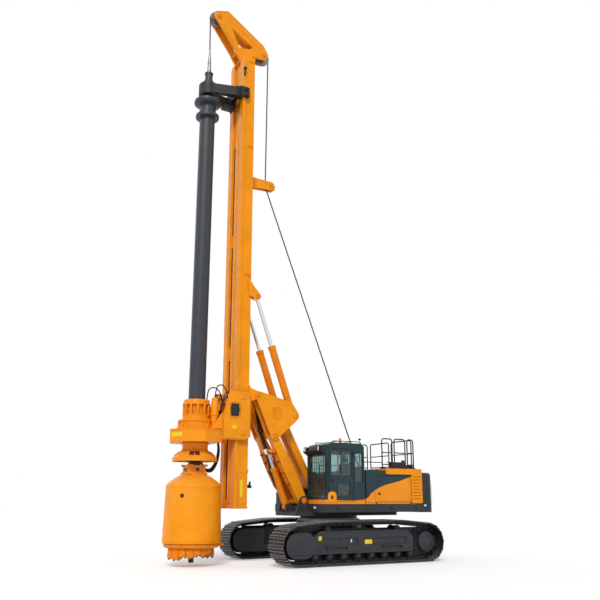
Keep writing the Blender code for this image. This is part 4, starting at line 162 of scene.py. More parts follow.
@dataclass(frozen=True)
class Finish:
    """A surface as it is made and worn; subclasses add what the eye sees on the real one.

    Args:
        name: what the surface is, in a maker's words.
        colour: its main colour, sRGB hex.
        roughness: mean roughness.
        metallic: 1 for bare metal.
        slot: the record's material slot that it belongs to; not used.
        patch: how far the colour wanders, as a share.
        patch_mm: size of the patches in millimetres.
        grain_mm: size of the surface's grain, drawn no finer than it can show.
        grain_height_mm: height of that grain.
        dust: share of pale site dust that lies in patches on the surface.
        coat: weight of the clear gloss on top.
        gloss: the shader's specular level, 0.5 for common paint and plastic.
    """

    name: str
    colour: str
    roughness: float = 0.5
    metallic: float = 0.0
    slot: str = "yellow"
    patch: float = 0.08
    patch_mm: float = 600
    grain_mm: float = 14
    grain_height_mm: float = 0.25
    dust: float = 0.06
    coat: float = 0.0
    gloss: float = 0.5

    def material(self) -> bpy.types.Material:
        """Return the material, made on first use."""
        found = bpy.data.materials.get(self.name)
        if found:
            return found
        material = bpy.data.materials.new(self.name)
        material.use_nodes = True
        tree = material.node_tree
        shader = tree.nodes["Principled BSDF"]
        shader.inputs["Metallic"].default_value = self.metallic
        shader.inputs["Coat Weight"].default_value = self.coat
        shader.inputs["Specular IOR Level"].default_value = self.gloss
        shader.inputs["Coat Roughness"].default_value = 0.12
        place = add_node(tree, "ShaderNodeTexCoord").outputs["Object"]
        self.dress(tree, shader, place)
        return material

    def base(self, tree: bpy.types.NodeTree, place: bpy.types.NodeSocket) -> bpy.types.NodeSocket:
        """Return the socket of the clean colour before wear."""
        return self.flat(tree, self.colour)

    @staticmethod
    def flat(tree: bpy.types.NodeTree, colour: str) -> bpy.types.NodeSocket:
        """Return a socket that gives one colour."""
        node = add_node(tree, "ShaderNodeRGB")
        node.outputs[0].default_value = linear(colour)
        return node.outputs[0]

    def dress(self, tree: bpy.types.NodeTree, shader: bpy.types.Node, place: bpy.types.NodeSocket) -> None:
        """Wire fading, runs of dirt, dust that settles on top, roughness and grain into the shader.

        Args:
            tree: node tree of the material.
            shader: its Principled shader.
            place: socket of the Object coordinates.
        """
        size = self.patch_mm * MM
        broad = add_node(tree, "ShaderNodeTexNoise", {"Scale": 1 / size, "Detail": 5, "Roughness": 0.6},
                         {"Vector": place})
        shade = add_node(tree, "ShaderNodeMapRange", {"From Min": 0.3, "From Max": 0.7, "To Min": 1 - self.patch,
                                                      "To Max": 1 + self.patch / 2}, {"Value": broad.outputs[0]})
        faded = add_node(tree, "ShaderNodeVectorMath", {}, {0: self.base(tree, place), 1: shade.outputs[0]},
                         operation="MULTIPLY")
        # Rain draws dirt downwards, so its pattern is far longer than it is wide
        drawn = add_node(tree, "ShaderNodeMapping", {"Scale": (9 / size, 9 / size, 1.2 / size)}, {0: place})
        runs = add_node(tree, "ShaderNodeTexNoise", {"Scale": 1, "Detail": 6, "Roughness": 0.65},
                        {"Vector": drawn.outputs[0]})
        streak = add_node(tree, "ShaderNodeMapRange", {"From Min": 0.50, "From Max": 0.80, "To Min": 0.0,
                                                       "To Max": self.dust * 1.6}, {"Value": runs.outputs[0]})
        stained = add_node(tree, "ShaderNodeMix", {7: linear(RAIN_DIRT)},
                           {0: streak.outputs[0], 6: faded.outputs[0]}, data_type="RGBA")
        normal = add_node(tree, "ShaderNodeTexCoord").outputs["Normal"]
        upward = add_node(tree, "ShaderNodeSeparateXYZ", {}, {0: normal}).outputs["Z"]
        fine = add_node(tree, "ShaderNodeTexNoise", {"Scale": 6 / size, "Detail": 8, "Roughness": 0.7},
                        {"Vector": place})
        patchy = add_node(tree, "ShaderNodeMath", {}, {0: upward, 1: fine.outputs[0]}, operation="MULTIPLY")
        settled = add_node(tree, "ShaderNodeMapRange", {"From Min": 0.25, "From Max": 0.65, "To Min": 0.0,
                                                        "To Max": self.dust * 2.5}, {"Value": patchy.outputs[0]})
        dusty = add_node(tree, "ShaderNodeMix", {7: linear(SITE_DUST)},
                         {0: settled.outputs[0], 6: stained.outputs[2]}, data_type="RGBA")
        tree.links.new(dusty.outputs[2], shader.inputs["Base Color"])
        rough = add_node(tree, "ShaderNodeMapRange", {"From Min": 0.3, "From Max": 0.7, "To Min": self.roughness * 0.85,
                                                      "To Max": min(1, self.roughness * 1.2)},
                         {"Value": fine.outputs[0]})
        tree.links.new(rough.outputs[0], shader.inputs["Roughness"])
        grain = add_node(tree, "ShaderNodeTexNoise", {"Scale": 1 / (self.grain_mm * MM), "Detail": 3},
                         {"Vector": place})
        bump = add_node(tree, "ShaderNodeBump", {"Strength": 0.6, "Distance": self.grain_height_mm * MM},
                        {"Height": grain.outputs[0]})
        tree.links.new(bump.outputs[0], shader.inputs["Normal"])


@dataclass(frozen=True)
class Livery(Finish):
    """Enamel of the house's and the cab's side: dark above and bright below a swept border.

    Args:
        lower: colour below the border, sRGB hex.
    """

    lower: str = "#F99608"

    # Border's height along the side, as shares of the span below
    BORDER = ((0.0, 0.780), (0.10, 0.760), (0.28, 0.600), (0.44, 0.480), (0.565, 0.300), (0.64, 0.110), (0.68, 0.085),
              (1.0, 0.085))
    SPAN_X = (-2.40, 0.80)
    SPAN_Z = (1.60, 2.60)

    def base(self, tree: bpy.types.NodeTree, place: bpy.types.NodeSocket) -> bpy.types.NodeSocket:
        """Return the colour socket that changes at the border."""
        parts = add_node(tree, "ShaderNodeSeparateXYZ", {}, {0: place})
        along = add_node(tree, "ShaderNodeMapRange", {"From Min": self.SPAN_X[0], "From Max": self.SPAN_X[1]},
                         {"Value": parts.outputs["X"]})
        border = add_node(tree, "ShaderNodeFloatCurve", {}, {"Value": along.outputs[0]})
        curve = border.mapping.curves[0]
        curve.points[0].location = self.BORDER[0]
        curve.points[1].location = self.BORDER[-1]
        for spot in self.BORDER[1:-1]:
            curve.points.new(*spot)
        border.mapping.update()
        height = add_node(tree, "ShaderNodeMapRange", {"From Min": self.SPAN_Z[0], "From Max": self.SPAN_Z[1]},
                          {"Value": parts.outputs["Z"]})
        above = add_node(tree, "ShaderNodeMath", {}, {0: height.outputs[0], 1: border.outputs[0]},
                         operation="GREATER_THAN")
        mix = add_node(tree, "ShaderNodeMix", {6: linear(self.lower), 7: linear(self.colour)}, {0: above.outputs[0]},
                       data_type="RGBA")
        return mix.outputs[2]


@dataclass(frozen=True)
class TwistedWire(Finish):
    """Steel wire rope: bright strands laid in a spiral, dark grease between them."""

    lay_mm: float = 160

    def dress(self, tree: bpy.types.NodeTree, shader: bpy.types.Node, place: bpy.types.NodeSocket) -> None:
        """Wire the strands' stripes and their relief into the shader.

        Args:
            tree: node tree of the material.
            shader: its Principled shader.
            place: socket of the Object coordinates.
        """
        strands = add_node(tree, "ShaderNodeTexWave", {"Scale": 1 / (self.lay_mm * MM), "Distortion": 0.4},
                           {"Vector": place}, bands_direction="DIAGONAL")
        ramp = add_node(tree, "ShaderNodeValToRGB", {}, {"Fac": strands.outputs[1]})
        ramp.color_ramp.elements[0].color = linear(ROPE_GREASE)
        ramp.color_ramp.elements[1].color = linear(self.colour)
        tree.links.new(ramp.outputs[0], shader.inputs["Base Color"])
        bump = add_node(tree, "ShaderNodeBump", {"Strength": 0.8, "Distance": 2 * MM}, {"Height": strands.outputs[1]})
        tree.links.new(bump.outputs[0], shader.inputs["Normal"])
        shader.inputs["Roughness"].default_value = self.roughness


@dataclass(frozen=True)
class ClearPane(Finish):
    """Safety glass with a body tint, seen through and with the sky in it."""

    def dress(self, tree: bpy.types.NodeTree, shader: bpy.types.Node, place: bpy.types.NodeSocket) -> None:
        """Make the pane pass light with its tint and a faint film of dust.

        Args:
            tree: node tree of the material.
            shader: its Principled shader.
            place: socket of the Object coordinates.
        """
        shader.inputs["Base Color"].default_value = linear(self.colour)
        shader.inputs["Transmission Weight"].default_value = 0.96
        shader.inputs["IOR"].default_value = 1.05
        film = add_node(tree, "ShaderNodeTexNoise", {"Scale": 1 / (self.patch_mm * MM), "Detail": 6}, {"Vector": place})
        rough = add_node(tree, "ShaderNodeMapRange", {"From Min": 0.4, "From Max": 0.8, "To Min": 0.02, "To Max": 0.12},
                         {"Value": film.outputs[0]})
        tree.links.new(rough.outputs[0], shader.inputs["Roughness"])
        shader.inputs["Coat Weight"].default_value = 0.8
        shader.inputs["Coat Roughness"].default_value = 0.02


# Sprayed two-pack enamel on plate steel: even, half gloss, a little dust and fading
ENAMEL = Finish("site_yellow_enamel", "#FA9A08", roughness=0.40, slot="yellow", patch=0.14, dust=0.07, coat=0.06,
                gloss=0.22)
# The same enamel on castings and cylinder barrels, a touch redder and rougher from the sand mould; its darker tone also
# paints the shade in the triangle's pipe mouths and along the head's beam slots
CAST_ENAMEL = Finish("enamelled_casting", "#EF8A06", roughness=0.48, slot="yellow", patch=0.16, patch_mm=300,
                     grain_mm=22, grain_height_mm=0.8, dust=0.10, coat=0.04, gloss=0.22)
# Baked dark enamel of the roof's hatches and the fuel tank: smooth and glossy
DARK_ENAMEL = Finish("baked_dark_enamel", "#18343C", roughness=0.32, slot="teal", patch=0.10, dust=0.03, coat=0.25,
                     gloss=0.3)
# The same two enamels masked along a border on the house's and the cab's pressed panels
LIVERY = Livery("swept_house_livery", "#18343C", roughness=0.34, slot="teal", patch=0.08, dust=0.035, coat=0.2,
                gloss=0.25)
# Chassis paint: flat charcoal with dust lying in it
CHASSIS = Finish("charcoal_chassis_paint", "#313339", roughness=0.55, slot="grey", patch=0.18, patch_mm=450, dust=0.13,
                 gloss=0.35)
# The counterweight's thick cast iron, filled and painted near black
COUNTER = Finish("dark_casting_paint", "#222E2F", roughness=0.45, slot="grey", patch=0.14, grain_mm=30,
                 grain_height_mm=0.8, dust=0.06, coat=0.05, gloss=0.3)
# Black powder coat on rails, racks and boxes: fine orange peel. The same black makes the plates that paint the shade in
# the backs of openings, in holes, in the mast's front channel and inside the tracks' loops
POWDER = Finish("black_powder_coat", "#17181B", roughness=0.5, slot="black", patch=0.10, grain_mm=8, dust=0.06,
                gloss=0.4)
# Slate two-pack on the kelly's rolled tube, streaked by the sleeve's keys
SLATE = Finish("slate_tube_paint", "#31363D", roughness=0.40, slot="kelly", patch=0.16, patch_mm=350, dust=0.07,
               coat=0.08, gloss=0.4)
# Rolled shoe steel: dark scale where it is never touched
SHOE_STEEL = Finish("rolled_shoe_steel", "#26282B", roughness=0.55, metallic=0.35, slot="track", patch=0.25,
                    patch_mm=260, grain_mm=25, grain_height_mm=1.2, dust=0.18)
# The same steel rubbed bright by the ground along the bars' tips
RUBBED_STEEL = Finish("rubbed_bar_steel", "#77797C", roughness=0.42, metallic=0.6, slot="track", patch=0.3,
                      patch_mm=120, dust=0.25)
# Machined and greased steel of sheaves, the drum, flanges and sockets
BARE_STEEL = Finish("greased_bare_steel", "#8A8B8C", roughness=0.38, metallic=0.9, slot="steel", patch=0.25,
                    patch_mm=180, dust=0.15)
# Zinc plate on fasteners, unions and clamps: pale and slightly dull
ZINC = Finish("zinc_plated_fastener", "#9A9C98", roughness=0.42, metallic=0.8, slot="steel", patch=0.1, patch_mm=60)
# Hard chrome on ground rods: nearly a mirror
CHROME = Finish("hard_chrome", "#DADDE0", roughness=0.10, metallic=1.0, slot="chrome", patch=0.03, dust=0.0)
# Extruded nitrile hose cover and moulded seals: soft black
RUBBER = Finish("nitrile_hose_cover", "#17181A", roughness=0.6, slot="black", patch=0.12, patch_mm=150, dust=0.14)
# Moulded ABS of the cab's trim
TRIM = Finish("moulded_cab_trim", "#3A3C3E", roughness=0.6, slot="black", patch=0.06, grain_mm=5, dust=0.02)
# Woven polyester of the seat's cushions: matt, with a ribbed weave
SEAT_CLOTH = Finish("woven_seat_cloth", "#2A2C30", roughness=0.95, slot="cloth", patch=0.12, patch_mm=80, grain_mm=6,
                    grain_height_mm=0.8, dust=0.02)
# Moulded polycarbonate and acrylic of the beacon and the lamps, clear coated against scratches
AMBER = Finish("amber_polycarbonate", "#F08A1C", roughness=0.15, slot="amber", patch=0.05, dust=0.0, coat=0.6)
LENS = Finish("lamp_lens", "#E8ECEE", roughness=0.12, slot="chrome", patch=0.04, dust=0.0, coat=0.8)
RED_LENS = Finish("red_lens", "#A81810", roughness=0.2, slot="amber", patch=0.04, dust=0.0, coat=0.6)
# Printed vinyl plates, left blank
BRIGHT_LABEL = Finish("bare_yellow_plate", "#F2D21A", roughness=0.45, slot="yellow", patch=0.05, dust=0.1)
WHITE_LABEL = Finish("bare_white_plate", "#D9DAD8", roughness=0.45, slot="chrome", patch=0.05, dust=0.1)
# Bright drawn wire, laid and greased
ROPE = TwistedWire("steel_wire_rope", "#6A6D70", roughness=0.45, metallic=0.6, slot="steel")
# Toughened cab glass with a green body tint
GLASS = ClearPane("tinted_safety_glass", "#B9D2CE", roughness=0.03, slot="glass", patch_mm=300)


@dataclass(frozen=True)
class Crossing:
    """The second body of a piece that crosses a joint, and the two ends of the span across it."""

    body: Body
    start: Point
    end: Point


@dataclass
class Shape:
    """A mesh in the making, in the rig's own frame."""

    bm: bmesh.types.BMesh = field(default_factory=bmesh.new)

    def take(self, part: bmesh.types.BMesh, recalc: bool = True) -> None:
        """Merge a finished part into the shape and free it.

        Args:
            part: bmesh that holds one closed form or more.
            recalc: whether its faces are turned to point out.
        """
        if recalc:
            bmesh.ops.recalc_face_normals(part, faces=part.faces)
        mesh = bpy.data.meshes.new("part")
        part.to_mesh(mesh)
        part.free()
        self.bm.from_mesh(mesh)
        bpy.data.meshes.remove(mesh)

    def box(self, low: Point, high: Point, bevel: float = 0.0, segments: int = 2,
            turn: Matrix | None = None) -> None:
        """Add a box between two corners.

        Args:
            low: one corner.
            high: the opposite corner.
            bevel: radius of its rounded edges.
            segments: steps in each rounded edge.
            turn: further transform of the finished box.
        """
        part = bmesh.new()
        bmesh.ops.create_cube(part, size=1)
        size = [max(abs(b - a), THINNEST) for a, b in zip(low, high)]
        bmesh.ops.scale(part, vec=size, verts=part.verts)
        bmesh.ops.translate(part, vec=[(a + b) / 2 for a, b in zip(low, high)], verts=part.verts)
        if bevel > 0:
            width = min(bevel, min(size) * BEVEL_SHARE)
            bmesh.ops.bevel(part, geom=part.edges[:], offset=width, segments=segments, affect="EDGES", profile=0.5,
                            material=-1)
        if turn is not None:
            bmesh.ops.transform(part, matrix=turn, verts=part.verts)
        self.take(part)

    def rod(self, start: Point, end: Point, radius: float, sides: int = 16, bevel: float = 0.0) -> None:
        """Add a round bar between two points.

        Args:
            start: centre of the first end.
            end: centre of the last end.
            radius: its radius.
            sides: facets round it.
            bevel: size of the chamfer on both rims.
        """
        start, end = Vector(start), Vector(end)
        way = end - start
        turn = way.to_track_quat("Z", "Y").to_matrix().to_4x4()
        part = bmesh.new()
        bmesh.ops.create_cone(part, cap_ends=True, segments=sides, radius1=radius, radius2=radius, depth=way.length,
                              matrix=Matrix.Translation((start + end) / 2) @ turn)
        if bevel > 0:
            rims = [e for e in part.edges if any(len(f.verts) > 4 for f in e.link_faces)]
            bmesh.ops.bevel(part, geom=rims, offset=bevel, segments=2, affect="EDGES", profile=0.5, material=-1)
        self.take(part)

    def spun(self, profile: Iterable[tuple[float, float]], centre: Point, axis: Axis, sides: int) -> None:
        """Turn a profile of (radius, place along the axis) once round an axis.

        Args:
            profile: closed loop of points, or an open one that starts and ends on the axis.
            centre: point that the axis passes through.
            axis: the axis.
            sides: steps of the full turn.
        """
        way = Vector(axis.value)
        side = Vector((0, 0, 1)) if axis is Axis.X else Vector((1, 0, 0))
        part = bmesh.new()
        points = [Vector(centre) + side * r + way * a for r, a in profile]
        verts = [part.verts.new(p) for p in points]
        on_axis = [abs(r) < AXIS_REACH for r, _ in profile]
        edges = [part.edges.new((verts[i], verts[i - 1])) for i in range(len(verts))
                 if not (on_axis[i] and on_axis[i - 1])]
        bmesh.ops.spin(part, geom=verts + edges, cent=Vector(centre), axis=way, angle=math.tau, steps=sides,
                       use_merge=True)
        bmesh.ops.remove_doubles(part, verts=part.verts, dist=WELD_REACH)
        self.take(part)

    @staticmethod
    def flat_face(part: bmesh.types.BMesh, outline: Outline, axis: Axis, place: float) -> bmesh.types.BMFace:
        """Draw an outline as one face.

        Args:
            part: bmesh that takes it.
            outline: corners in order; X takes (y, z), Y takes (x, z) and Z takes (x, y).
            axis: the direction that the face is square to.
            place: its place along that axis.

        Returns:
            The face, whose normal isn't worked out yet.
        """
        spots = {Axis.X: lambda a, b: (place, a, b), Axis.Y: lambda a, b: (a, place, b),
                 Axis.Z: lambda a, b: (a, b, place)}
        return part.faces.new([part.verts.new(spots[axis](a, b)) for a, b in outline])

    @staticmethod
    def thicken(part: bmesh.types.BMesh, axis: Axis, depth: float) -> list[bmesh.types.BMFace]:
        """Extrude a flat part along an axis.

        Args:
            part: bmesh that holds it.
            axis: the axis.
            depth: how far it is extruded.

        Returns:
            The faces that are square to the axis.
        """
        moved = bmesh.ops.extrude_face_region(part, geom=part.faces[:])["geom"]
        verts = [v for v in moved if isinstance(v, bmesh.types.BMVert)]
        bmesh.ops.translate(part, vec=Vector(axis.value) * depth, verts=verts)
        bmesh.ops.recalc_face_normals(part, faces=part.faces)
        return [f for f in part.faces if abs(f.normal.dot(Vector(axis.value))) > FLAT]

    def plate(self, outline: Outline, axis: Axis, low: float, high: float, bevel: float = 0.0,
              segments: int = 1) -> None:
        """Add a flat plate cut to an outline.

        Args:
            outline: corners in order, as for flat_face.
            axis: direction of its thickness.
            low: place of the first face.
            high: place of the second face.
            bevel: chamfer round both faces.
            segments: steps in the chamfer.
        """
        part = bmesh.new()
        self.flat_face(part, outline, axis, low)
        flats = self.thicken(part, axis, high - low)
        if bevel > 0:
            rims = list({e for f in flats for e in f.edges})
            bmesh.ops.bevel(part, geom=rims, offset=bevel, segments=segments, affect="EDGES", profile=0.5, material=-1,
                            clamp_overlap=True)
        self.take(part)

    def ring_plate(self, outline: Outline, axis: Axis, low: float, high: float, width: float,
                   bevel: float = 0.0) -> None:
        """Add the standing rim of an outline, meant as a flat frame with an opening.

        The frame has no width as built: the inset needs the face's normal, which a new face lacks, so it moves
        nothing, and the inner wall lies in the outer one with faces of no area between them.

        Args:
            outline: corners in order, as for flat_face.
            axis: direction of its thickness.
            low: place of the first face.
            high: place of the second face.
            width: width that the frame is meant to have.
            bevel: chamfer that its edges are meant to have.
        """
        part = bmesh.new()
        face = self.flat_face(part, outline, axis, low)
        bmesh.ops.inset_individual(part, faces=[face], thickness=width, use_even_offset=True)
        bmesh.ops.delete(part, geom=[face], context="FACES")
        flats = self.thicken(part, axis, high - low)
        if bevel > 0:
            rims = list({e for f in flats for e in f.edges if any(g not in flats for g in e.link_faces)})
            bmesh.ops.bevel(part, geom=rims, offset=bevel, segments=1, affect="EDGES", profile=0.5, material=-1)
        self.take(part)

    def cushion(self, low: Point, high: Point, crown: float) -> "Shape":
        """Add a padded form: crowned faces, sides that pull in between the corners, and a piped seam; return the shape.

        Args:
            low: one corner.
            high: the opposite corner.
            crown: how far its largest faces swell.
        """
        part = bmesh.new()
        bmesh.ops.create_cube(part, size=1)
        size = Vector([b - a for a, b in zip(low, high)])
        centre = Vector([(a + b) / 2 for a, b in zip(low, high)])
        bmesh.ops.scale(part, vec=size, verts=part.verts)
        bmesh.ops.bevel(part, geom=part.edges[:], offset=min(size) * 0.30, segments=3, affect="EDGES", profile=0.5,
                        material=-1)
        bmesh.ops.subdivide_edges(part, edges=part.edges[:], cuts=3, use_grid_fill=True)
        thin = list(size).index(min(size))
        wide = [i for i in range(3) if i != thin]
        for vert in part.verts:
            shares = [abs(vert.co[i]) / (size[i] / 2) for i in wide]
            swell = (1 - shares[0] ** 2) * (1 - shares[1] ** 2)
            channel = 0.35 * math.exp(-((abs(vert.co[wide[1]]) / size[wide[1]] - 0.26) * 22) ** 2)
            vert.co[thin] += math.copysign(crown * (swell - channel) - crown * 0.9, vert.co[thin])
            for i, other in ((wide[0], wide[1]), (wide[1], wide[0])):
                pull = max(0.0, 1 - (abs(vert.co[other]) / (size[other] / 2)) ** 2)
                vert.co[i] -= math.copysign(crown * 0.35 * pull * shares[wide.index(i)], vert.co[i])
        bmesh.ops.smooth_vert(part, verts=part.verts, factor=0.5, use_axis_x=True, use_axis_y=True, use_axis_z=True)
        bmesh.ops.translate(part, vec=centre, verts=part.verts)
        self.take(part)
        return self

    def pipe(self, points: Sequence[Point], radius: float, sides: int = 10) -> None:
        """Add a round tube along a smooth or bent line.

        Args:
            points: its centreline.
            radius: its radius.
            sides: facets round it.
        """
        line = [Vector(p) for p in points]
        part = bmesh.new()
        ways = [(b - a).normalized() for a, b in zip(line, line[1:])]
        side = ways[0].orthogonal().normalized()
        rings = []
        for i, spot in enumerate(line):
            before, after = ways[max(i - 1, 0)], ways[min(i, len(ways) - 1)]
            side = (before.rotation_difference(after) @ side) if i else side
            mean = (before + after).normalized()
            flat = (side - mean * side.dot(mean)).normalized()
            turn = Matrix((flat, mean.cross(flat), mean)).transposed().to_4x4()
            ring = bmesh.ops.create_circle(part, segments=sides, radius=radius, matrix=Matrix.Translation(spot) @ turn)
            rings.append(ring["verts"])
        for first, second in zip(rings, rings[1:]):
            for k in range(sides):
                part.faces.new((first[k], first[(k + 1) % sides], second[(k + 1) % sides], second[k]))
        part.faces.new(rings[0])
        part.faces.new(rings[-1])
        self.take(part)

    def bolts(self, places: Iterable[Point], way: Point, radius: float, height: float) -> None:
        """Add hexagon heads that stand on a face.

        Args:
            places: centres on the face.
            way: direction that they stand out in.
            radius: half their width over corners.
            height: how far they stand out.
        """
        step = Vector(way).normalized()
        for place in places:
            spot = Vector(place)
            self.rod(spot - step * height * BOLT_SINK, spot + step * height, radius, HEXAGON)

    def ring_of_bolts(self, centre: Point, axis: Axis, circle: float, count: int, radius: float, height: float,
                      back: bool = False, start: float = 0.0) -> None:
        """Add a circle of hexagon heads.

        Args:
            centre: centre of the circle on the face.
            axis: axis of the circle.
            circle: its radius.
            count: number of heads.
            radius: half a head's width.
            height: how far a head stands out.
            back: whether they stand out against the axis.
            start: angle of the first head.
        """
        way = Vector(axis.value)
        first = Vector((0, 0, 1)) if axis is not Axis.Z else Vector((1, 0, 0))
        places = []
        for i in range(count):
            turn = Matrix.Rotation(start + math.tau * i / count, 3, way)
            places.append(Vector(centre) + turn @ first * circle)
        self.bolts(places, -way if back else way, radius, height)

    def stamp(self, template: "Shape", places: Iterable[Matrix]) -> "Shape":
        """Add a copy of a template at each place, free the template and return the shape."""
        for place in places:
            copy = template.bm.copy()
            bmesh.ops.transform(copy, matrix=place, verts=copy.verts)
            self.take(copy, recalc=False)
        template.bm.free()
        return self

    def mirror(self) -> "Shape":
        """Add the mirror copy of everything so far on the rig's other side, and return the shape."""
        copy = self.bm.copy()
        bmesh.ops.scale(copy, vec=(1, -1, 1), verts=copy.verts)
        self.take(copy)
        return self

    def turned(self, turn: Matrix) -> "Shape":
        """Transform everything so far, and return the shape."""
        bmesh.ops.transform(self.bm, matrix=turn, verts=self.bm.verts)
        return self

    def piece(self, name: str, finish: Finish, body: Body, replaces: Sequence[str] = (),
              angle: float = 34, crossing: Crossing | None = None) -> bpy.types.Object:
        """Turn the shape into a named piece that rides on a body.

        Args:
            name: the piece's name.
            finish: its finish.
            body: the body it moves with.
            replaces: CAD nodes that it stands for.
            angle: edges sharper than this many degrees stay sharp.
            crossing: the second body and the span of a piece that crosses a joint; such a piece is left where it
                stands, on no body.

        Returns:
            The piece.
        """
        mesh = bpy.data.meshes.new(name)
        self.bm.to_mesh(mesh)
        self.bm.free()
        mesh.materials.append(finish.material())
        mesh.shade_smooth()
        mesh.set_sharp_from_angle(angle=math.radians(angle))
        item = bpy.data.objects.new(name, mesh)
        bpy.context.collection.objects.link(item)
        if crossing is None:
            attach(item, body.value)
        else:
            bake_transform(item)
        if replaces:
            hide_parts(*replaces)
        log.info("%s: %d faces on %s", name, len(mesh.polygons), body.value)
        return item


def rounded(points: Sequence[Point], radius: float, steps: int = 5) -> list[Vector]:
    """Round the corners of a bent line.

    Args:
        points: its corners.
        radius: length that each corner takes from its legs.
        steps: points in each corner.

    Returns:
        The finer line.
    """
    line = [Vector(p) for p in points]
    result = [line[0]]
    for before, corner, after in zip(line, line[1:], line[2:]):
        cut_in = min(radius, (corner - before).length * 0.49)
        cut_out = min(radius, (after - corner).length * 0.49)
        start = corner + (before - corner).normalized() * cut_in
        end = corner + (after - corner).normalized() * cut_out
        for i in range(steps + 1):
            t = i / steps
            result.append(start * (1 - t) ** 2 + corner * 2 * t * (1 - t) + end * t ** 2)
    result.append(line[-1])
    return result


def flowing(points: Sequence[Point], steps: int) -> list[Vector]:
    """Run a smooth line through points.

    Args:
        points: places that it passes through.
        steps: points between each two places.

    Returns:
        The finer line.
    """
    line = [Vector(p) for p in points]
    line = [line[0] * 2 - line[1]] + line + [line[-1] * 2 - line[-2]]
    result = []
    for a, b, c, d in zip(line, line[1:], line[2:], line[3:]):
        for i in range(steps):
            t = i / steps
            result.append((b * 2 + (c - a) * t + (a * 2 - b * 5 + c * 4 - d) * t * t
                           + (b * 3 - a - c * 3 + d) * t ** 3) / 2)
    result.append(line[-2])
    return result


def soft_box(low_a: float, high_a: float, low_b: float, high_b: float, radius: float,
             steps: int = 4) -> list[tuple[float, float]]:
    """Return a rectangle's outline with rounded corners.

    Args:
        low_a: lowest place along the first direction.
        high_a: highest place along the first direction.
        low_b: lowest place along the second direction.
        high_b: highest place along the second direction.
        radius: radius of the corners.
        steps: points in each corner, less one.
    """
    corners = ((high_a - radius, high_b - radius), (low_a + radius, high_b - radius), (low_a + radius, low_b + radius),
               (high_a - radius, low_b + radius))
    return [(a + radius * math.cos(math.pi / 2 * (k + i / steps)), b + radius * math.sin(math.pi / 2 * (k + i / steps)))
            for k, (a, b) in enumerate(corners) for i in range(steps + 1)]


def lean_frame(spot: Vector, along: Vector) -> Matrix:
    """Return the transform to a place whose Z lies along a lean in the rig's side view, with Y kept.

    Args:
        spot: the place.
        along: its Z direction, which lies in the XZ plane.
    """
    across = Vector((0, 1, 0))
    return Matrix.Translation(spot) @ Matrix((across.cross(along), across, along)).transposed().to_4x4()


def about_kelly(angle: float, z: float = 0.0) -> Matrix:
    """Return the transform that turns a form about the kelly's axis, from a frame whose Z is that axis.

    Args:
        angle: the turn.
        z: height of the frame's origin.
    """
    return Matrix.Translation((KELLY_X, 0, z)) @ Matrix.Rotation(angle, 4, "Z")


def beside(spot: Sequence[float], y: float = 0.0) -> Vector:
    """Return the place of a side view's (x, z), at a distance y to the rig's left."""
    return Vector((spot[0], y, spot[1]))


def belt(circles: Sequence[tuple[float, float, float]], steps: int) -> list[tuple[float, float]]:
    """Draw the taut outline round circles.

    Args:
        circles: (x, z, radius) of each, anticlockwise.
        steps: points in half a turn.

    Returns:
        The outline's points.
    """
    normals = []
    for i, (x, z, radius) in enumerate(circles):
        next_x, next_z, next_radius = circles[(i + 1) % len(circles)]
        along = Vector((next_x - x, next_z - z))
        lean = (radius - next_radius) / along.length
        along.normalize()
        out = Vector((along.y, -along.x))
        normals.append(along * lean + out * math.sqrt(1 - lean * lean))
    outline = []
    for i, (x, z, radius) in enumerate(circles):
        start = math.atan2(normals[i - 1].y, normals[i - 1].x)
        sweep = (math.atan2(normals[i].y, normals[i].x) - start) % math.tau
        parts = max(1, round(steps * sweep / math.pi))
        outline += [(x + radius * math.cos(start + sweep * k / parts), z + radius * math.sin(start + sweep * k / parts))
                    for k in range(parts + 1)]
    return outline


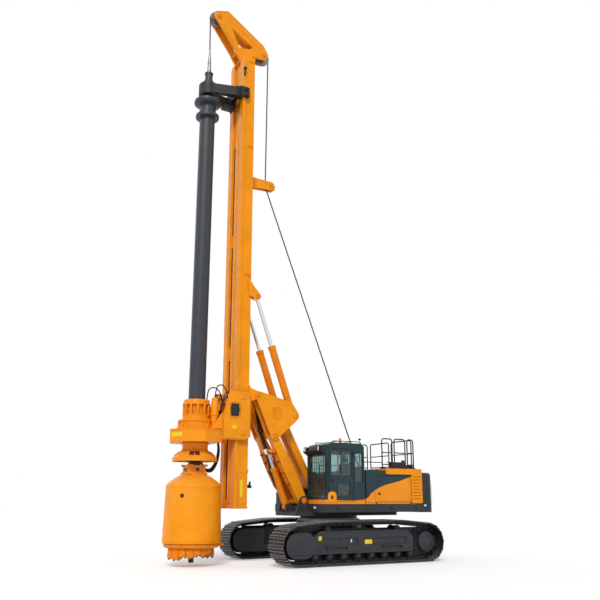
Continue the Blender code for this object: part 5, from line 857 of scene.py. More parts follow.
@dataclass
class Studio:
    """Pale floor and backdrop, soft lamps, and the camera at the photograph's place."""

    eye: tuple[float, float, float] = (11.77, 19.17, 1.68)
    yaw: float = -2.084
    pitch: float = 0.268
    focal_px: float = 728
    frame_px: float = 600
    sensor_mm: float = 36
    sky: float = 0.44
    floor_lift: float = 0.24
    lamp_table: tuple[tuple[str, tuple[float, float, float], float, float], ...] = (
        ("key_sun", (0.85, 0.10, 2.45), 1.85, 0.30), ("fill_sun", (0.9, 0, 0.6), 0.35, 1.2))

    def build(self) -> None:
        """Make the floor, the lamps, the world and the camera."""
        self.floor()
        self.lamps()
        self.camera()

    def floor(self) -> None:
        """Make a pale floor that takes the rig's shadow and shows white elsewhere."""
        shape = bmesh.new()
        bmesh.ops.create_grid(shape, x_segments=1, y_segments=1, size=90)
        mesh = bpy.data.meshes.new("studio_floor")
        shape.to_mesh(mesh)
        shape.free()
        floor = bpy.data.objects.new("studio_floor", mesh)
        floor.location = (0, 0, -0.002)
        bpy.context.collection.objects.link(floor)
        material = bpy.data.materials.new("pale_floor")
        material.use_nodes = True
        shader = material.node_tree.nodes["Principled BSDF"]
        shader.inputs["Base Color"].default_value = (0.86, 0.86, 0.86, 1)
        shader.inputs["Roughness"].default_value = 0.9
        shader.inputs["Specular IOR Level"].default_value = 0.1
        shader.inputs["Emission Color"].default_value = (1, 1, 1, 1)
        lift = add_node(material.node_tree, "ShaderNodeMapRange", {"To Min": 0.0, "To Max": self.floor_lift},
                        {"Value": self.seen(material.node_tree)})
        material.node_tree.links.new(lift.outputs[0], shader.inputs["Emission Strength"])
        mesh.materials.append(material)

    @staticmethod
    def seen(tree: bpy.types.NodeTree) -> bpy.types.NodeSocket:
        """Return a socket that is 1 for rays that see the backdrop, straight, in gloss or through glass."""
        rays = add_node(tree, "ShaderNodeLightPath")
        direct = add_node(tree, "ShaderNodeMath", {},
                          {0: rays.outputs["Is Camera Ray"], 1: rays.outputs["Is Glossy Ray"]}, operation="MAXIMUM")
        return add_node(tree, "ShaderNodeMath", {}, {0: direct.outputs[0], 1: rays.outputs["Is Transmission Ray"]},
                        operation="MAXIMUM").outputs[0]

    def lamps(self) -> None:
        """Make the sky light, one broad key lamp and one soft fill."""
        world = bpy.data.worlds.new("studio_sky")
        bpy.context.scene.world = world
        world.use_nodes = True
        tree = world.node_tree
        back = tree.nodes["Background"]
        back.inputs["Color"].default_value = (1, 1, 1, 1)
        level = add_node(tree, "ShaderNodeMapRange", {"To Min": self.sky, "To Max": 1.0}, {"Value": self.seen(tree)})
        tree.links.new(level.outputs[0], back.inputs["Strength"])
        for name, turn, strength, spread in self.lamp_table:
            lamp = bpy.data.lights.new(name, "SUN")
            lamp.energy = strength
            lamp.angle = spread
            item = bpy.data.objects.new(name, lamp)
            item.rotation_euler = turn
            bpy.context.collection.objects.link(item)

    def camera(self) -> None:
        """Make the camera and give it to the scene."""
        lens = bpy.data.cameras.new("camera")
        lens.sensor_width = self.sensor_mm
        lens.lens = self.focal_px / self.frame_px * self.sensor_mm
        lens.clip_end = 400
        item = bpy.data.objects.new("camera", lens)
        way = Vector((math.cos(self.yaw) * math.cos(self.pitch), math.sin(self.yaw) * math.cos(self.pitch),
                      math.sin(self.pitch)))
        item.location = self.eye
        item.rotation_euler = way.to_track_quat("-Z", "Y").to_euler()
        bpy.context.collection.objects.link(item)
        bpy.context.scene.camera = item
        bpy.context.scene.view_settings.view_transform = "Standard"


@dataclass
class TrackLoop:
    """One crawler: triple-bar shoes and their bolts, the chain, the rollers and the side frame's dress.

    Args:
        side: 1 on the cab's side, -1 on the other.
    """

    side: int
    middle: float = 1.65
    half: float = 0.40
    shoes: int = 50
    wheel_x: float = 2.12
    wheel_z: float = 0.53
    pitch_radius: float = 0.48
    carrier_x: float = 1.15
    carrier_z: float = 0.91
    carrier_radius: float = 0.19
    roller_z: float = 0.2453
    roller_count: int = 8
    roller_span: float = 3.10
    frame_half: float = 0.25
    link_y: float = 0.085
    teeth: int = 13

    def name(self, word: str) -> str:
        """Return a piece's name with its side in front."""
        return ("left_" if self.side > 0 else "right_") + word

    def steps(self) -> tuple[list[Matrix], float]:
        """Return one frame per shoe round the loop, and the shoes' pitch."""
        path = [Vector(p) for p in belt([(-self.wheel_x, self.wheel_z, self.pitch_radius),
                                         (self.wheel_x, self.wheel_z, self.pitch_radius),
                                         (self.carrier_x, self.carrier_z, self.carrier_radius),
                                         (-self.carrier_x, self.carrier_z, self.carrier_radius)], steps=40)]
        legs = list(zip(path, path[1:] + path[:1]))
        pitch = sum((b - a).length for a, b in legs) / self.shoes
        pins, travelled = [], 0.0
        for start, end in legs:
            length = (end - start).length
            while len(pins) * pitch < travelled + length and len(pins) < self.shoes:
                pins.append(start.lerp(end, (len(pins) * pitch - travelled) / length))
            travelled += length
        frames = []
        for pin, after in zip(pins, pins[1:] + pins[:1]):
            along = (after - pin).normalized()
            frames.append(Matrix(((along.x, 0, along.y, pin.x), (0, -1, 0, self.side * self.middle),
                                  (along.y, 0, -along.x, pin.y), (0, 0, 0, 1))))
        return frames, pitch

    def build(self) -> None:
        """Make every piece of the crawler."""
        frames, pitch = self.steps()
        self.shoe_plates(frames, pitch)
        self.chain(frames, pitch)
        self.rollers()
        self.frame_dress()
        self.wheel_caps()

    def shoe_plates(self, frames: list[Matrix], pitch: float) -> None:
        """Make the pressed shoes, their three bars, and the bolts that hold them to the chain."""
        plate = Shape()
        plate.plate([(pitch * u, h) for u, h in ((0.02, -0.006), (0.02, 0.010), (0.05, 0.018), (0.95, 0.018),
                                                 (1.02, 0.006), (1.02, -0.004), (0.96, 0.002))],
                    Axis.Y, -self.half, self.half)
        bars = Shape()
        for u in (0.10, 0.50, 0.90):
            bars.plate([(pitch * (u - 0.065), 0.014), (pitch * (u - 0.035), 0.05), (pitch * (u + 0.035), 0.05),
                        (pitch * (u + 0.065), 0.014)], Axis.Y, -self.half + 0.004, self.half - 0.004)
        bolts = Shape()
        bolts.bolts([(pitch * u, y, 0.018) for u in (0.30, 0.70) for y in (-self.link_y, self.link_y)], (0, 0, 1),
                    0.016, 0.014)
        for word, template, finish in (("shoe_plates", plate, SHOE_STEEL), ("shoe_bars", bars, RUBBED_STEEL),
                                       ("shoe_bolts", bolts, ZINC)):
            Shape().stamp(template, frames).piece(self.name(word), finish, Body.LOWER, [self.name("track")])

    def chain(self, frames: list[Matrix], pitch: float) -> None:
        """Make the chain's link plates and bushes inside the shoes."""
        link = Shape()
        for y in (-self.link_y, self.link_y):
            outline = belt([(0.012, -0.045, 0.040), (pitch - 0.012, -0.045, 0.040)], steps=4)
            link.plate(outline, Axis.Y, y - 0.02, y + 0.02)
        link.rod((0, -0.066, -0.045), (0, 0.066, -0.045), 0.028, 8)
        link.rod((0, -0.125, -0.045), (0, 0.125, -0.045), 0.020, 8)
        Shape().stamp(link, frames).piece(self.name("chain"), SHOE_STEEL, Body.LOWER, [self.name("track")])

    def rollers(self) -> None:
        """Make the flanged lower rollers and carrier rollers with their end caps and brackets."""
        y = self.side * self.middle
        shape, brackets = Shape(), Shape()
        for i in range(self.roller_count):
            x = -self.roller_span / 2 + self.roller_span * i / (self.roller_count - 1)
            half = [(0.0, 0.205), (0.052, 0.205), (0.058, 0.17), (0.112, 0.165), (0.116, 0.155), (0.112, 0.132),
                    (0.097, 0.124)]
            shape.spun(half + [(r, -a) for r, a in reversed(half)], (x, y, self.roller_z), Axis.Y, 20)
            for face in (-1, 1):
                low, high = sorted((y + face * 0.207, y + face * 0.237))
                brackets.plate([(x - 0.085, 0.33), (x - 0.060, 0.205), (x - 0.03, 0.185), (x + 0.03, 0.185),
                                (x + 0.060, 0.205), (x + 0.085, 0.33)], Axis.Y, low, high, 0.004)
                brackets.bolts([(x + dx, y + face * 0.237, 0.285) for dx in (-0.052, 0.052)], (0, face, 0), 0.014,
                               0.012)
                brackets.rod((x, y + face * 0.232, self.roller_z), (x, y + face * 0.246, self.roller_z), 0.034, 12,
                             bevel=0.004)
        for x in (-self.carrier_x, self.carrier_x):
            half = [(0.0, 0.215), (0.040, 0.215), (0.046, 0.18), (0.100, 0.170), (0.104, 0.155), (0.100, 0.130),
                    (0.090, 0.120)]
            shape.spun(half + [(r, -a) for r, a in reversed(half)], (x, y, 0.902), Axis.Y, 20)
            brackets.box((x - 0.05, y - 0.11, 0.80), (x + 0.05, y + 0.11, 0.86), 0.006)
            brackets.box((x - 0.07, y - 0.245, 0.875), (x + 0.07, y - 0.205, 0.93), 0.006)
        shape.piece(self.name("rollers"), SHOE_STEEL, Body.LOWER)
        brackets.piece(self.name("roller_brackets"), CHASSIS, Body.LOWER)

    def frame_dress(self) -> None:
        """Make the side frame's ledge, steps, bolts, access covers, guard plates, a black inner web that paints the
        shade between the wheels, and blank plates.
        """
        face = self.side * (self.middle + self.frame_half)
        out = self.side
        dress = Shape()
        dress.box((-1.60, face - 0.02 * out, 0.300), (2.26, face + 0.030 * out, 0.335), 0.008)
        dress.box((-1.40, face - 0.02 * out, 0.845), (1.40, face + 0.012 * out, 0.868), 0.005)
        for middle in (-0.90, 0.90):
            dress.box((middle - 0.33, face - 0.03 * out, 0.470), (middle + 0.33, face + 0.060 * out, 0.492), 0.006)
            for x in (middle - 0.31, middle + 0.31):
                dress.box((x - 0.012, face - 0.03 * out, 0.40), (x + 0.012, face + 0.05 * out, 0.48), 0.004)
            for k in range(9):
                x = middle - 0.28 + 0.07 * k
                dress.box((x - 0.012, face, 0.492), (x + 0.012, face + 0.055 * out, 0.499), 0.002)
        covers = ((-0.02, 0.735), (2.02, 0.60))
        for x, z in covers:
            dress.spun([(0.0, 0.0), (0.075, 0.0), (0.075, 0.010), (0.062, 0.016), (0.0, 0.016)],
                       (x, face - (0 if out > 0 else 0.016), z), Axis.Y, 24)
        for x, z in covers:
            dress.ring_of_bolts((x, face + 0.014 * out, z), Axis.Y, 0.055, 6, 0.008, 0.008, out < 0)
        for x in (-1.50, -1.44, 1.46, 1.52):
            dress.bolts([(x, face, z) for z in (0.40, 0.50, 0.60, 0.70)], (0, out, 0), 0.014, 0.012)
        inner = self.side * (self.middle - self.frame_half)
        for low, high, spot in ((1.56, 2.44, face), (0.96, 2.44, inner - 0.012 * out),
                                (-2.44, -0.96, inner - 0.012 * out)):
            start, end = sorted((spot, spot + 0.012 * out))
            dress.plate(soft_box(low, high, 0.205, 0.855, 0.30, 8), Axis.Y, start, end, 0.003)
            dress.ring_of_bolts(((low + high) / 2, spot + (0.012 if spot == face else 0.0) * out, 0.53), Axis.Y, 0.12,
                                6, 0.013, 0.010, (spot == face) == (out < 0))
        dress.piece(self.name("frame_dress"), CHASSIS, Body.LOWER)
        # A near-black web across the loop's middle paints the shade seen between the wheels and rollers.
        web = Shape()
        centre = self.side * self.middle
        web.plate([(-2.05, 0.13), (2.05, 0.13), (2.15, 0.53), (2.05, 0.935), (-2.05, 0.935), (-2.15, 0.53)], Axis.Y,
                  centre - 0.008, centre + 0.008, 0.003)
        web.piece(self.name("inner_shade_web"), POWDER, Body.LOWER)
        plates = Shape()
        for x, z, w, h in ((1.640, 0.593, 0.055, 0.05), (1.433, 0.700, 0.05, 0.05), (-0.106, 0.582, 0.12, 0.055)):
            plates.box((x - w, face - 0.004 * out, z - h), (x + w, face + 0.003 * out, z + h), 0.002)
        plates.piece(self.name("frame_bare_plates"), BRIGHT_LABEL, Body.LOWER)
        marks = Shape()
        marks.box((0.41, face - 0.034 * out, 0.575), (0.45, face - 0.027 * out, 0.665), 0.002)
        marks.piece(self.name("frame_bare_mark"), WHITE_LABEL, Body.LOWER)

    def wheel_caps(self) -> None:
        """Make the final drive's cover, the wheels' caps and the drive wheel's teeth between the links."""
        y = self.side * self.middle
        sign = self.side
        cover = Shape()
        profile = [(0.0, 0.300), (0.085, 0.300), (0.100, 0.288), (0.205, 0.276), (0.222, 0.262), (0.268, 0.250),
                   (0.276, 0.240), (0.276, 0.190), (0.235, 0.180), (0.235, 0.128), (0.0, 0.128)]
        cover.spun([(r, sign * a) for r, a in profile], (-self.wheel_x, y, self.wheel_z), Axis.Y, 40)
        cover.ring_of_bolts((-self.wheel_x, y + sign * 0.256, self.wheel_z), Axis.Y, 0.246, 18, 0.013, 0.012, sign < 0)
        cover.ring_of_bolts((-self.wheel_x, y + sign * 0.284, self.wheel_z), Axis.Y, 0.150, 8, 0.012, 0.012, sign < 0)
        for face in (-1, 1):
            cover.spun([(0.0, face * 0.222), (0.085, face * 0.222), (0.105, face * 0.205), (0.118, face * 0.180),
                        (0.0, face * 0.180)], (self.wheel_x, y, self.wheel_z), Axis.Y, 28)
            cover.ring_of_bolts((self.wheel_x, y + face * 0.208, self.wheel_z), Axis.Y, 0.088, 6, 0.011, 0.010,
                                face < 0)
        cover.piece(self.name("wheel_covers"), CHASSIS, Body.LOWER)
        teeth = Shape()
        ring = []
        for i in range(self.teeth):
            for share, r in ((0.0, 0.455), (0.12, 0.455), (0.30, 0.405), (0.70, 0.405), (0.88, 0.455)):
                turn = math.tau * (i + share) / self.teeth
                ring.append((-self.wheel_x + r * math.cos(turn), self.wheel_z + r * math.sin(turn)))
        teeth.plate(ring, Axis.Y, y - 0.035, y + 0.035, 0.006)
        teeth.piece(self.name("drive_teeth"), SHOE_STEEL, Body.LOWER)


@dataclass
class SlewRing:
    """The slewing ring's lower lip and its bolts."""

    radius: float = 0.84
    low: float = 1.09

    def build(self) -> None:
        """Make the ring's lip and its bolt circle."""
        ring = Shape()
        ring.spun([(self.radius - 0.01, self.low), (self.radius + 0.075, self.low),
                   (self.radius + 0.075, self.low + 0.05), (self.radius + 0.045, self.low + 0.056),
                   (self.radius + 0.045, self.low + 0.075), (self.radius - 0.01, self.low + 0.075)], (0, 0, 0), Axis.Z,
                  72)
        ring.ring_of_bolts((0, 0, self.low + 0.05), Axis.Z, self.radius + 0.058, 48, 0.013, 0.016)
        ring.piece("slew_ring_flange", BARE_STEEL, Body.LOWER)


@dataclass
class LowerDress:
    """Bolts and covers on the centre of the lower works."""

    def build(self) -> None:
        """Make the pads and bolts where the legs meet the side frames, and the centre's access plate."""
        shape = Shape()
        for sx in (-1, 1):
            for sy in (-1, 1):
                x = sx * 1.15
                y = sy * 1.385
                shape.box((x - 0.24, y - 0.012, 0.42), (x + 0.24, y + 0.012, 0.84), 0.008)
                shape.bolts([(x + dx, y - sy * 0.012, z) for dx in (-0.20, 0.20) for z in (0.47, 0.56, 0.65, 0.74)],
                            (0, -sy, 0), 0.016, 0.014)
        shape.spun([(0.0, 0.548), (0.30, 0.548), (0.30, 0.538), (0.28, 0.532), (0.0, 0.532)], (0, 0, 0), Axis.Z, 32)
        shape.ring_of_bolts((0, 0, 0.538), Axis.Z, 0.25, 12, 0.012, 0.012, True)
        shape.piece("lower_works_bolts", CHASSIS, Body.LOWER)


@dataclass
class Cab:
    """The operator's cab: seals, guards, handles, lamps, roof gear and everything seen through the glass."""

    floor: float = 1.6206
    seat_x: float = 0.18
    seat_y: float = 0.98
    arm_reach: float = 0.262

    def build(self) -> None:
        """Make every piece of the cab."""
        self.seals()
        self.screen_guard()
        self.roof_gear()
        self.door_dress()
        self.skirt()
        self.seat()
        self.controls()

    def seals(self) -> None:
        """Make the moulded rubber frames round the fixed windows."""
        shape = Shape()
        shape.ring_plate(soft_box(0.512, 1.448, 1.722, 2.988, 0.06), Axis.X, 0.972, 0.990, 0.030)
        shape.ring_plate(soft_box(-0.248, 0.038, 2.142, 2.988, 0.06), Axis.Y, 1.492, 1.508, 0.024)
        shape.ring_plate(soft_box(0.512, 1.448, 2.582, 2.988, 0.06), Axis.X, -0.310, -0.294, 0.026)
        shape.ring_plate(soft_box(-0.178, 0.858, 2.032, 2.988, 0.06), Axis.Y, 0.452, 0.468, 0.026)
        shape.ring_plate(soft_box(0.068, 0.892, 1.628, 3.092, 0.03), Axis.Y, 1.499, 1.505, 0.010)
        shape.piece("cab_window_seals", RUBBER, Body.UPPER)

    def screen_guard(self) -> None:
        """Make the bolted rock guard in front of the windscreen and its wiper."""
        guard = Shape()
        x = 1.022
        guard.pipe(rounded([(x, 0.58, 1.82), (x, 1.42, 1.82), (x, 1.42, 2.88), (x, 0.58, 2.88), (x, 0.58, 1.80)], 0.05),
                   0.012, 8)
        for k in range(1, 7):
            y = 0.58 + 0.84 * k / 7
            guard.rod((x, y, 1.82), (x, y, 2.88), 0.006, 8)
        for k in range(1, 6):
            z = 1.82 + 1.06 * k / 6
            guard.rod((x, 0.58, z), (x, 1.42, z), 0.006, 8)
        for y, z in ((0.62, 1.82), (1.38, 1.82), (0.62, 2.88), (1.38, 2.88), (1.42, 2.30), (0.58, 2.30)):
            guard.rod((0.975, y, z), (x, y, z), 0.010, 8)
            guard.rod((0.975, y, z), (0.988, y, z), 0.022, 12, bevel=0.003)
        guard.piece("windscreen_guard", POWDER, Body.UPPER)
        wiper = Shape()
        wiper.rod((0.972, 1.30, 1.70), (0.995, 1.30, 1.70), 0.018, 12, bevel=0.003)
        wiper.pipe([(0.992, 1.30, 1.70), (0.996, 1.22, 2.05), (0.988, 1.14, 2.34)], 0.006, 8)
        wiper.box((0.978, 1.128, 2.02), (0.988, 1.144, 2.68), 0.003)
        wiper.piece("windscreen_wiper", RUBBER, Body.UPPER)

    def roof_gear(self) -> None:
        """Make the roof rails, lamp housings and lenses, the beacon's foot and the aerial."""
        rails = Shape()
        for y in (0.52, 1.44):
            rails.pipe(rounded([(-0.22, y, 3.23), (-0.22, y, 3.29), (0.74, y, 3.29), (0.74, y, 3.23)], 0.04), 0.011, 8)
        for x in (0.02, 0.50):
            rails.rod((x, 0.52, 3.29), (x, 1.44, 3.29), 0.009, 8)
        for x, y in ((-0.22, 0.52), (-0.22, 1.44), (0.74, 0.52), (0.74, 1.44), (0.02, 0.52), (0.50, 1.44)):
            rails.rod((x, y, 3.239), (x, y, 3.247), 0.026, 12, bevel=0.003)
        rails.rod((0.38, 1.30, 3.239), (0.38, 1.30, 3.258), 0.066, 20, bevel=0.004)
        rails.pipe([(-0.20, 1.40, 3.14), (-0.20, 1.43, 3.28), (-0.20, 1.43, 3.40)], 0.006, 8)
        rails.box((-0.235, 1.405, 3.34), (-0.165, 1.455, 3.385), 0.008)
        rails.plate(soft_box(-0.18, 0.62, 0.58, 1.38, 0.05), Axis.Z, 3.2395, 3.250, 0.004)
        for k in range(7):
            rails.box((-0.10 + 0.10 * k, 0.64, 3.249), (-0.06 + 0.10 * k, 1.32, 3.256), 0.003)
        for y in (0.61, 1.35):
            rails.ring_plate(soft_box(y - 0.056, y + 0.056, 3.006, 3.146, 0.02), Axis.X, 1.130, 1.156, 0.010)
        rails.piece("cab_roof_rails", POWDER, Body.UPPER)
        lens = Shape()
        for y in (0.61, 1.35):
            lens.plate(soft_box(y - 0.046, y + 0.046, 3.018, 3.134, 0.014), Axis.X, 1.1410, 1.150, 0.003)
        lens.plate(soft_box(0.865, 0.965, 1.440, 1.500, 0.012), Axis.X, 0.999, 1.022, 0.004)
        lens.piece("work_lamp_lenses", LENS, Body.UPPER)

    def door_dress(self) -> None:
        """Make the door's seals, handle and lock, and the grab rail before it."""
        seals = Shape()
        seals.ring_plate(soft_box(0.130, 0.830, 2.322, 3.030, 0.05), Axis.Y, 1.492, 1.506, 0.026)
        seals.ring_plate([(0.185, 2.135), (0.185, 1.90), (0.30, 1.785), (0.615, 1.785), (0.615, 2.135)], Axis.Y,
                         1.492, 1.506, 0.020)
        seals.box((0.478, 1.484, 2.36), (0.502, 1.500, 3.00), 0.003)
        seals.piece("door_seals", RUBBER, Body.CAB_DOOR)
        handle = Shape()
        handle.plate(soft_box(0.700, 0.830, 2.170, 2.245, 0.02), Axis.Y, 1.499, 1.507, 0.002)
        handle.pipe(rounded([(0.715, 1.505, 2.208), (0.715, 1.530, 2.208), (0.815, 1.530, 2.208),
                             (0.815, 1.505, 2.208)], 0.012), 0.008, 8)
        handle.rod((0.765, 1.504, 2.130), (0.765, 1.512, 2.130), 0.016, 16, bevel=0.002)
        handle.piece("door_handle", POWDER, Body.CAB_DOOR)
        rail = Shape()
        rail.pipe(rounded([(0.925, 1.495, 1.95), (0.925, 1.545, 1.95), (0.925, 1.545, 2.75), (0.925, 1.495, 2.75)],
                          0.03), 0.012, 10)
        for z in (1.95, 2.75):
            rail.rod((0.925, 1.499, z), (0.925, 1.508, z), 0.026, 14, bevel=0.002)
        rail.piece("door_grab_rail", POWDER, Body.UPPER)

    def skirt(self) -> None:
        """Make the yellow latch cover at the cab's foot, its dark catch and the dark strip along the sill."""
        cover = Shape()
        outline = [(0.655, 1.655), (0.655, 1.86), (0.680, 1.915), (0.730, 1.945), (0.860, 1.945), (0.915, 1.90),
                   (0.935, 1.84), (0.935, 1.655)]
        outline = [(x, z - 0.045) for x, z in outline]
        cover.plate(outline, Axis.Y, 1.4995, 1.514, 0.005, 2)
        cover.piece("cab_latch_cover", ENAMEL, Body.UPPER)
        dark = Shape()
        dark.plate(soft_box(0.770, 0.835, 1.700, 1.800, 0.02), Axis.Y, 1.5135, 1.519, 0.002)
        dark.rod((0.802, 1.518, 1.770), (0.802, 1.528, 1.770), 0.014, 12, bevel=0.002)
        dark.box((-0.29, 1.499, 1.645), (0.66, 1.5015, 1.6495), 0.0005)
        dark.piece("cab_latch_catch", RUBBER, Body.UPPER)

    def seat(self) -> None:
        """Make the sprung seat: foot, shells, armrests and the padded cushions."""
        x, y = self.seat_x, self.seat_y
        frame = Shape()
        frame.box((x - 0.17, y - 0.17, self.floor), (x + 0.17, y + 0.17, self.floor + 0.06), 0.012)
        for k in range(5):
            z = self.floor + 0.06 + 0.052 * k
            frame.spun([(0.0, z), (0.118, z), (0.132, z + 0.026), (0.118, z + 0.052), (0.0, z + 0.052)], (x, y, 0),
                       Axis.Z, 24)
        frame.box((x - 0.20, y - 0.21, 1.94), (x + 0.20, y + 0.21, 2.035), 0.02)
        frame.box((x - 0.235, y - 0.20, 2.02), (x - 0.200, y + 0.20, 2.70), 0.012)
        for side in (-1, 1):
            arm_y = y + side * self.arm_reach
            frame.box((x - 0.10, arm_y - 0.028, 2.335), (x + 0.20, arm_y + 0.028, 2.375), 0.014, 3)
            frame.rod((x - 0.16, arm_y, 2.355), (x - 0.08, arm_y, 2.355), 0.016, 12)
            frame.rod((x - 0.19, y + side * 0.19, 2.355), (x - 0.16, arm_y, 2.355), 0.014, 12)
        for post in (y - 0.06, y + 0.06):
            frame.rod((x - 0.205, post, 2.70), (x - 0.195, post, 2.80), 0.008, 8)
        frame.piece("seat_frame", TRIM, Body.UPPER, ["operator_seat"])
        for name, low, high, crown in (
                ("seat_cushion", (x - 0.235, y - 0.235, 2.040), (x + 0.245, y + 0.235, 2.160), 0.018),
                ("seat_back_cushion", (x - 0.200, y - 0.225, 2.170), (x - 0.090, y + 0.225, 2.690), 0.016),
                ("seat_headrest", (x - 0.205, y - 0.120, 2.725), (x - 0.115, y + 0.120, 2.845), 0.010)):
            item = Shape().cushion(low, high, crown).piece(name, SEAT_CLOTH, Body.UPPER, ["operator_seat"], 80)

    def controls(self) -> None:
        """Make the armrest levers, the monitor, the pedals, the travel levers and the floor mat."""
        shape = Shape()
        for side in (-1, 1):
            y = self.seat_y + side * self.arm_reach
            foot = y * 0.3
            shape.spun([(0.0, 2.375), (0.030, 2.375), (0.022, 2.405), (0.010, 2.42), (0.009, 2.47), (0.020, 2.50),
                        (0.023, 2.54), (0.016, 2.565), (0.0, 2.57)], (0.35, y, 0), Axis.Z, 16)
            shape.box((0.30, y - 0.03, 2.335), (0.40, y + 0.03, 2.378), 0.012)
            shape.pipe([(0.78, foot + 0.66, 1.63), (0.74, foot + 0.66, 1.85), (0.66, foot + 0.66, 2.02)], 0.012, 8)
            shape.box((0.74, foot + 0.60, 1.655), (0.88, foot + 0.72, 1.675), 0.006)
        shape.box((0.84, 0.545, 2.30), (0.875, 0.745, 2.46), 0.012)
        shape.rod((0.86, 0.60, 2.10), (0.86, 0.60, 2.32), 0.014, 12)
        shape.box((-0.24, 0.52, self.floor), (0.92, 1.44, self.floor + 0.012), 0.004)
        shape.piece("cab_controls", TRIM, Body.UPPER)
        screen = Shape()
        screen.plate(soft_box(0.560, 0.730, 2.315, 2.445, 0.008), Axis.X, 0.8385, 0.8405, 0.0005)
        screen.piece("monitor_screen", POWDER, Body.UPPER)


@dataclass
class House:
    """The engine house and its surroundings: seams, latches, louvres, hatches, walkway and boxes."""

    half: float = 1.47
    slots: int = 9
    slot_low: float = 1.60
    slot_span: float = 0.80
    roof: float = 2.50
    cowl_top: float = 2.565

    def build(self) -> None:
        """Make every piece of the house."""
        self.seams()
        self.louvres()
        self.hatches()
        self.right_side()
        self.deck_edge()

    def seams(self) -> None:
        """Make the rubber-filled panel joints, the door's lock and the round latches."""
        shape = Shape()
        for side in (-1, 1):
            y = side * self.half
            low, high = sorted((y, y + side * 0.0015))
            for x in (-0.665, -1.964):
                shape.box((x - 0.004, low, 1.600), (x + 0.004, high, 2.395))
            shape.box((-2.0, low, 1.606), (-0.362, high, 1.612))
        for x, z in ((-0.715, 1.598), (-1.935, 1.598)):
            shape.rod((x, 1.469, z), (x, 1.478, z), 0.026, 18, bevel=0.003)
            shape.box((x - 0.010, 1.476, z - 0.020), (x + 0.010, 1.486, z + 0.020), 0.004)
        shape.piece("house_panel_joints", RUBBER, Body.UPPER)
        lock = Shape()
        for z in (1.85, 2.20):
            lock.plate(soft_box(-0.855, -0.785, z - 0.035, z + 0.035, 0.012), Axis.Y, 1.4695, 1.476, 0.002)
            lock.rod((-0.82, 1.475, z), (-0.82, 1.481, z), 0.015, 16, bevel=0.002)
        lock.piece("service_door_locks", POWDER, Body.SERVICE_DOOR)

    def louvres(self) -> None:
        """Make the sloping blades behind the cowl's slots and the dark screen behind them."""
        blades = Shape()
        pitch = self.slot_span / self.slots
        for side in (-1, 1):
            for k in range(1, self.slots):
                z = self.slot_low + pitch * k
                low, high = sorted((side * 1.478, side * 1.500))
                outline = [(low, z + (0.030 if side > 0 else 0.006)), (high, z + (0.006 if side > 0 else 0.030)),
                           (high, z + (0.001 if side > 0 else 0.025)), (low, z + (0.025 if side > 0 else 0.001))]
                blades.plate(outline, Axis.X, -2.304, -2.026)
        blades.piece("cowl_louvre_blades", ENAMEL, Body.UPPER)
        screen = Shape()
        for side in (-1, 1):
            low, high = sorted((side * 1.4702, side * 1.4745))
            screen.box((-2.312, low, 1.66), (-2.018, high, 2.385), 0.001)
        screen.piece("cowl_dust_screen", RUBBER, Body.UPPER)

    def hatches(self) -> None:
        """Make the roof's and the cowl's hatches with their hinges, the boxes and the walkway's tread plate on the
        cowl's top, and the exhaust's rain cap.
        """
        hatch = Shape()
        for low, high in ((0.16, 1.30), (-1.30, -0.16)):
            hatch.plate(soft_box(-1.02, -0.42, low, high, 0.05), Axis.Z, self.roof - 0.001, self.roof + 0.022, 0.006, 2)
        hatch.piece("house_roof_hatches", DARK_ENAMEL, Body.UPPER)
        yellow = Shape()
        for low, high in ((0.55, 1.10), (-1.10, -0.55)):
            yellow.plate(soft_box(-1.98, -1.20, low, high, 0.04), Axis.Z, self.cowl_top - 0.001, self.cowl_top + 0.018,
                         0.005, 2)
        yellow.piece("cowl_hatches", ENAMEL, Body.UPPER)
        metal = Shape()
        for y in (0.30, 1.16, -0.30, -1.16):
            metal.rod((-0.385, y - 0.05, self.roof + 0.012), (-0.385, y + 0.05, self.roof + 0.012), 0.012, 10)
            metal.box((-0.98, y - 0.03, self.roof + 0.021), (-0.93, y + 0.03, self.roof + 0.034), 0.004)
        for x in (-1.80, -1.38):
            for side in (-1, 1):
                metal.rod((x - 0.05, side * 0.535, self.cowl_top + 0.010),
                          (x + 0.05, side * 0.535, self.cowl_top + 0.010), 0.010, 10)
                metal.box((x - 0.03, side * 1.05 - 0.02, self.cowl_top + 0.017),
                          (x + 0.03, side * 1.05 + 0.02, self.cowl_top + 0.030), 0.004)
        metal.piece("hatch_hinges", POWDER, Body.UPPER)
        box = Shape()
        box.box((-2.30, 1.05, self.cowl_top), (-2.08, 1.17, self.cowl_top + 0.13), 0.012)
        box.box((-1.86, 1.235, self.cowl_top + 0.17), (-1.27, 1.43, self.cowl_top + 0.19), 0.008)
        for k in range(9):
            box.box((-1.775 + 0.05 * k, 1.4385, self.cowl_top + 0.03),
                    (-1.755 + 0.05 * k, 1.4435, self.cowl_top + 0.15), 0.001)
        box.piece("cowl_top_boxes", POWDER, Body.UPPER)
        cap = Shape()
        cap.spun([(0.0, 2.83), (0.062, 2.832), (0.064, 2.842), (0.0, 2.852)], (-2.16, 0.86, 0), Axis.Z, 24)
        cap.rod((-2.225, 0.84, 2.836), (-2.225, 0.88, 2.836), 0.008, 8)
        cap.spun([(0.056, 2.62), (0.068, 2.62), (0.068, 2.645), (0.056, 2.645)], (-2.16, 0.86, 0), Axis.Z, 24)
        cap.piece("exhaust_rain_cap", BARE_STEEL, Body.UPPER)

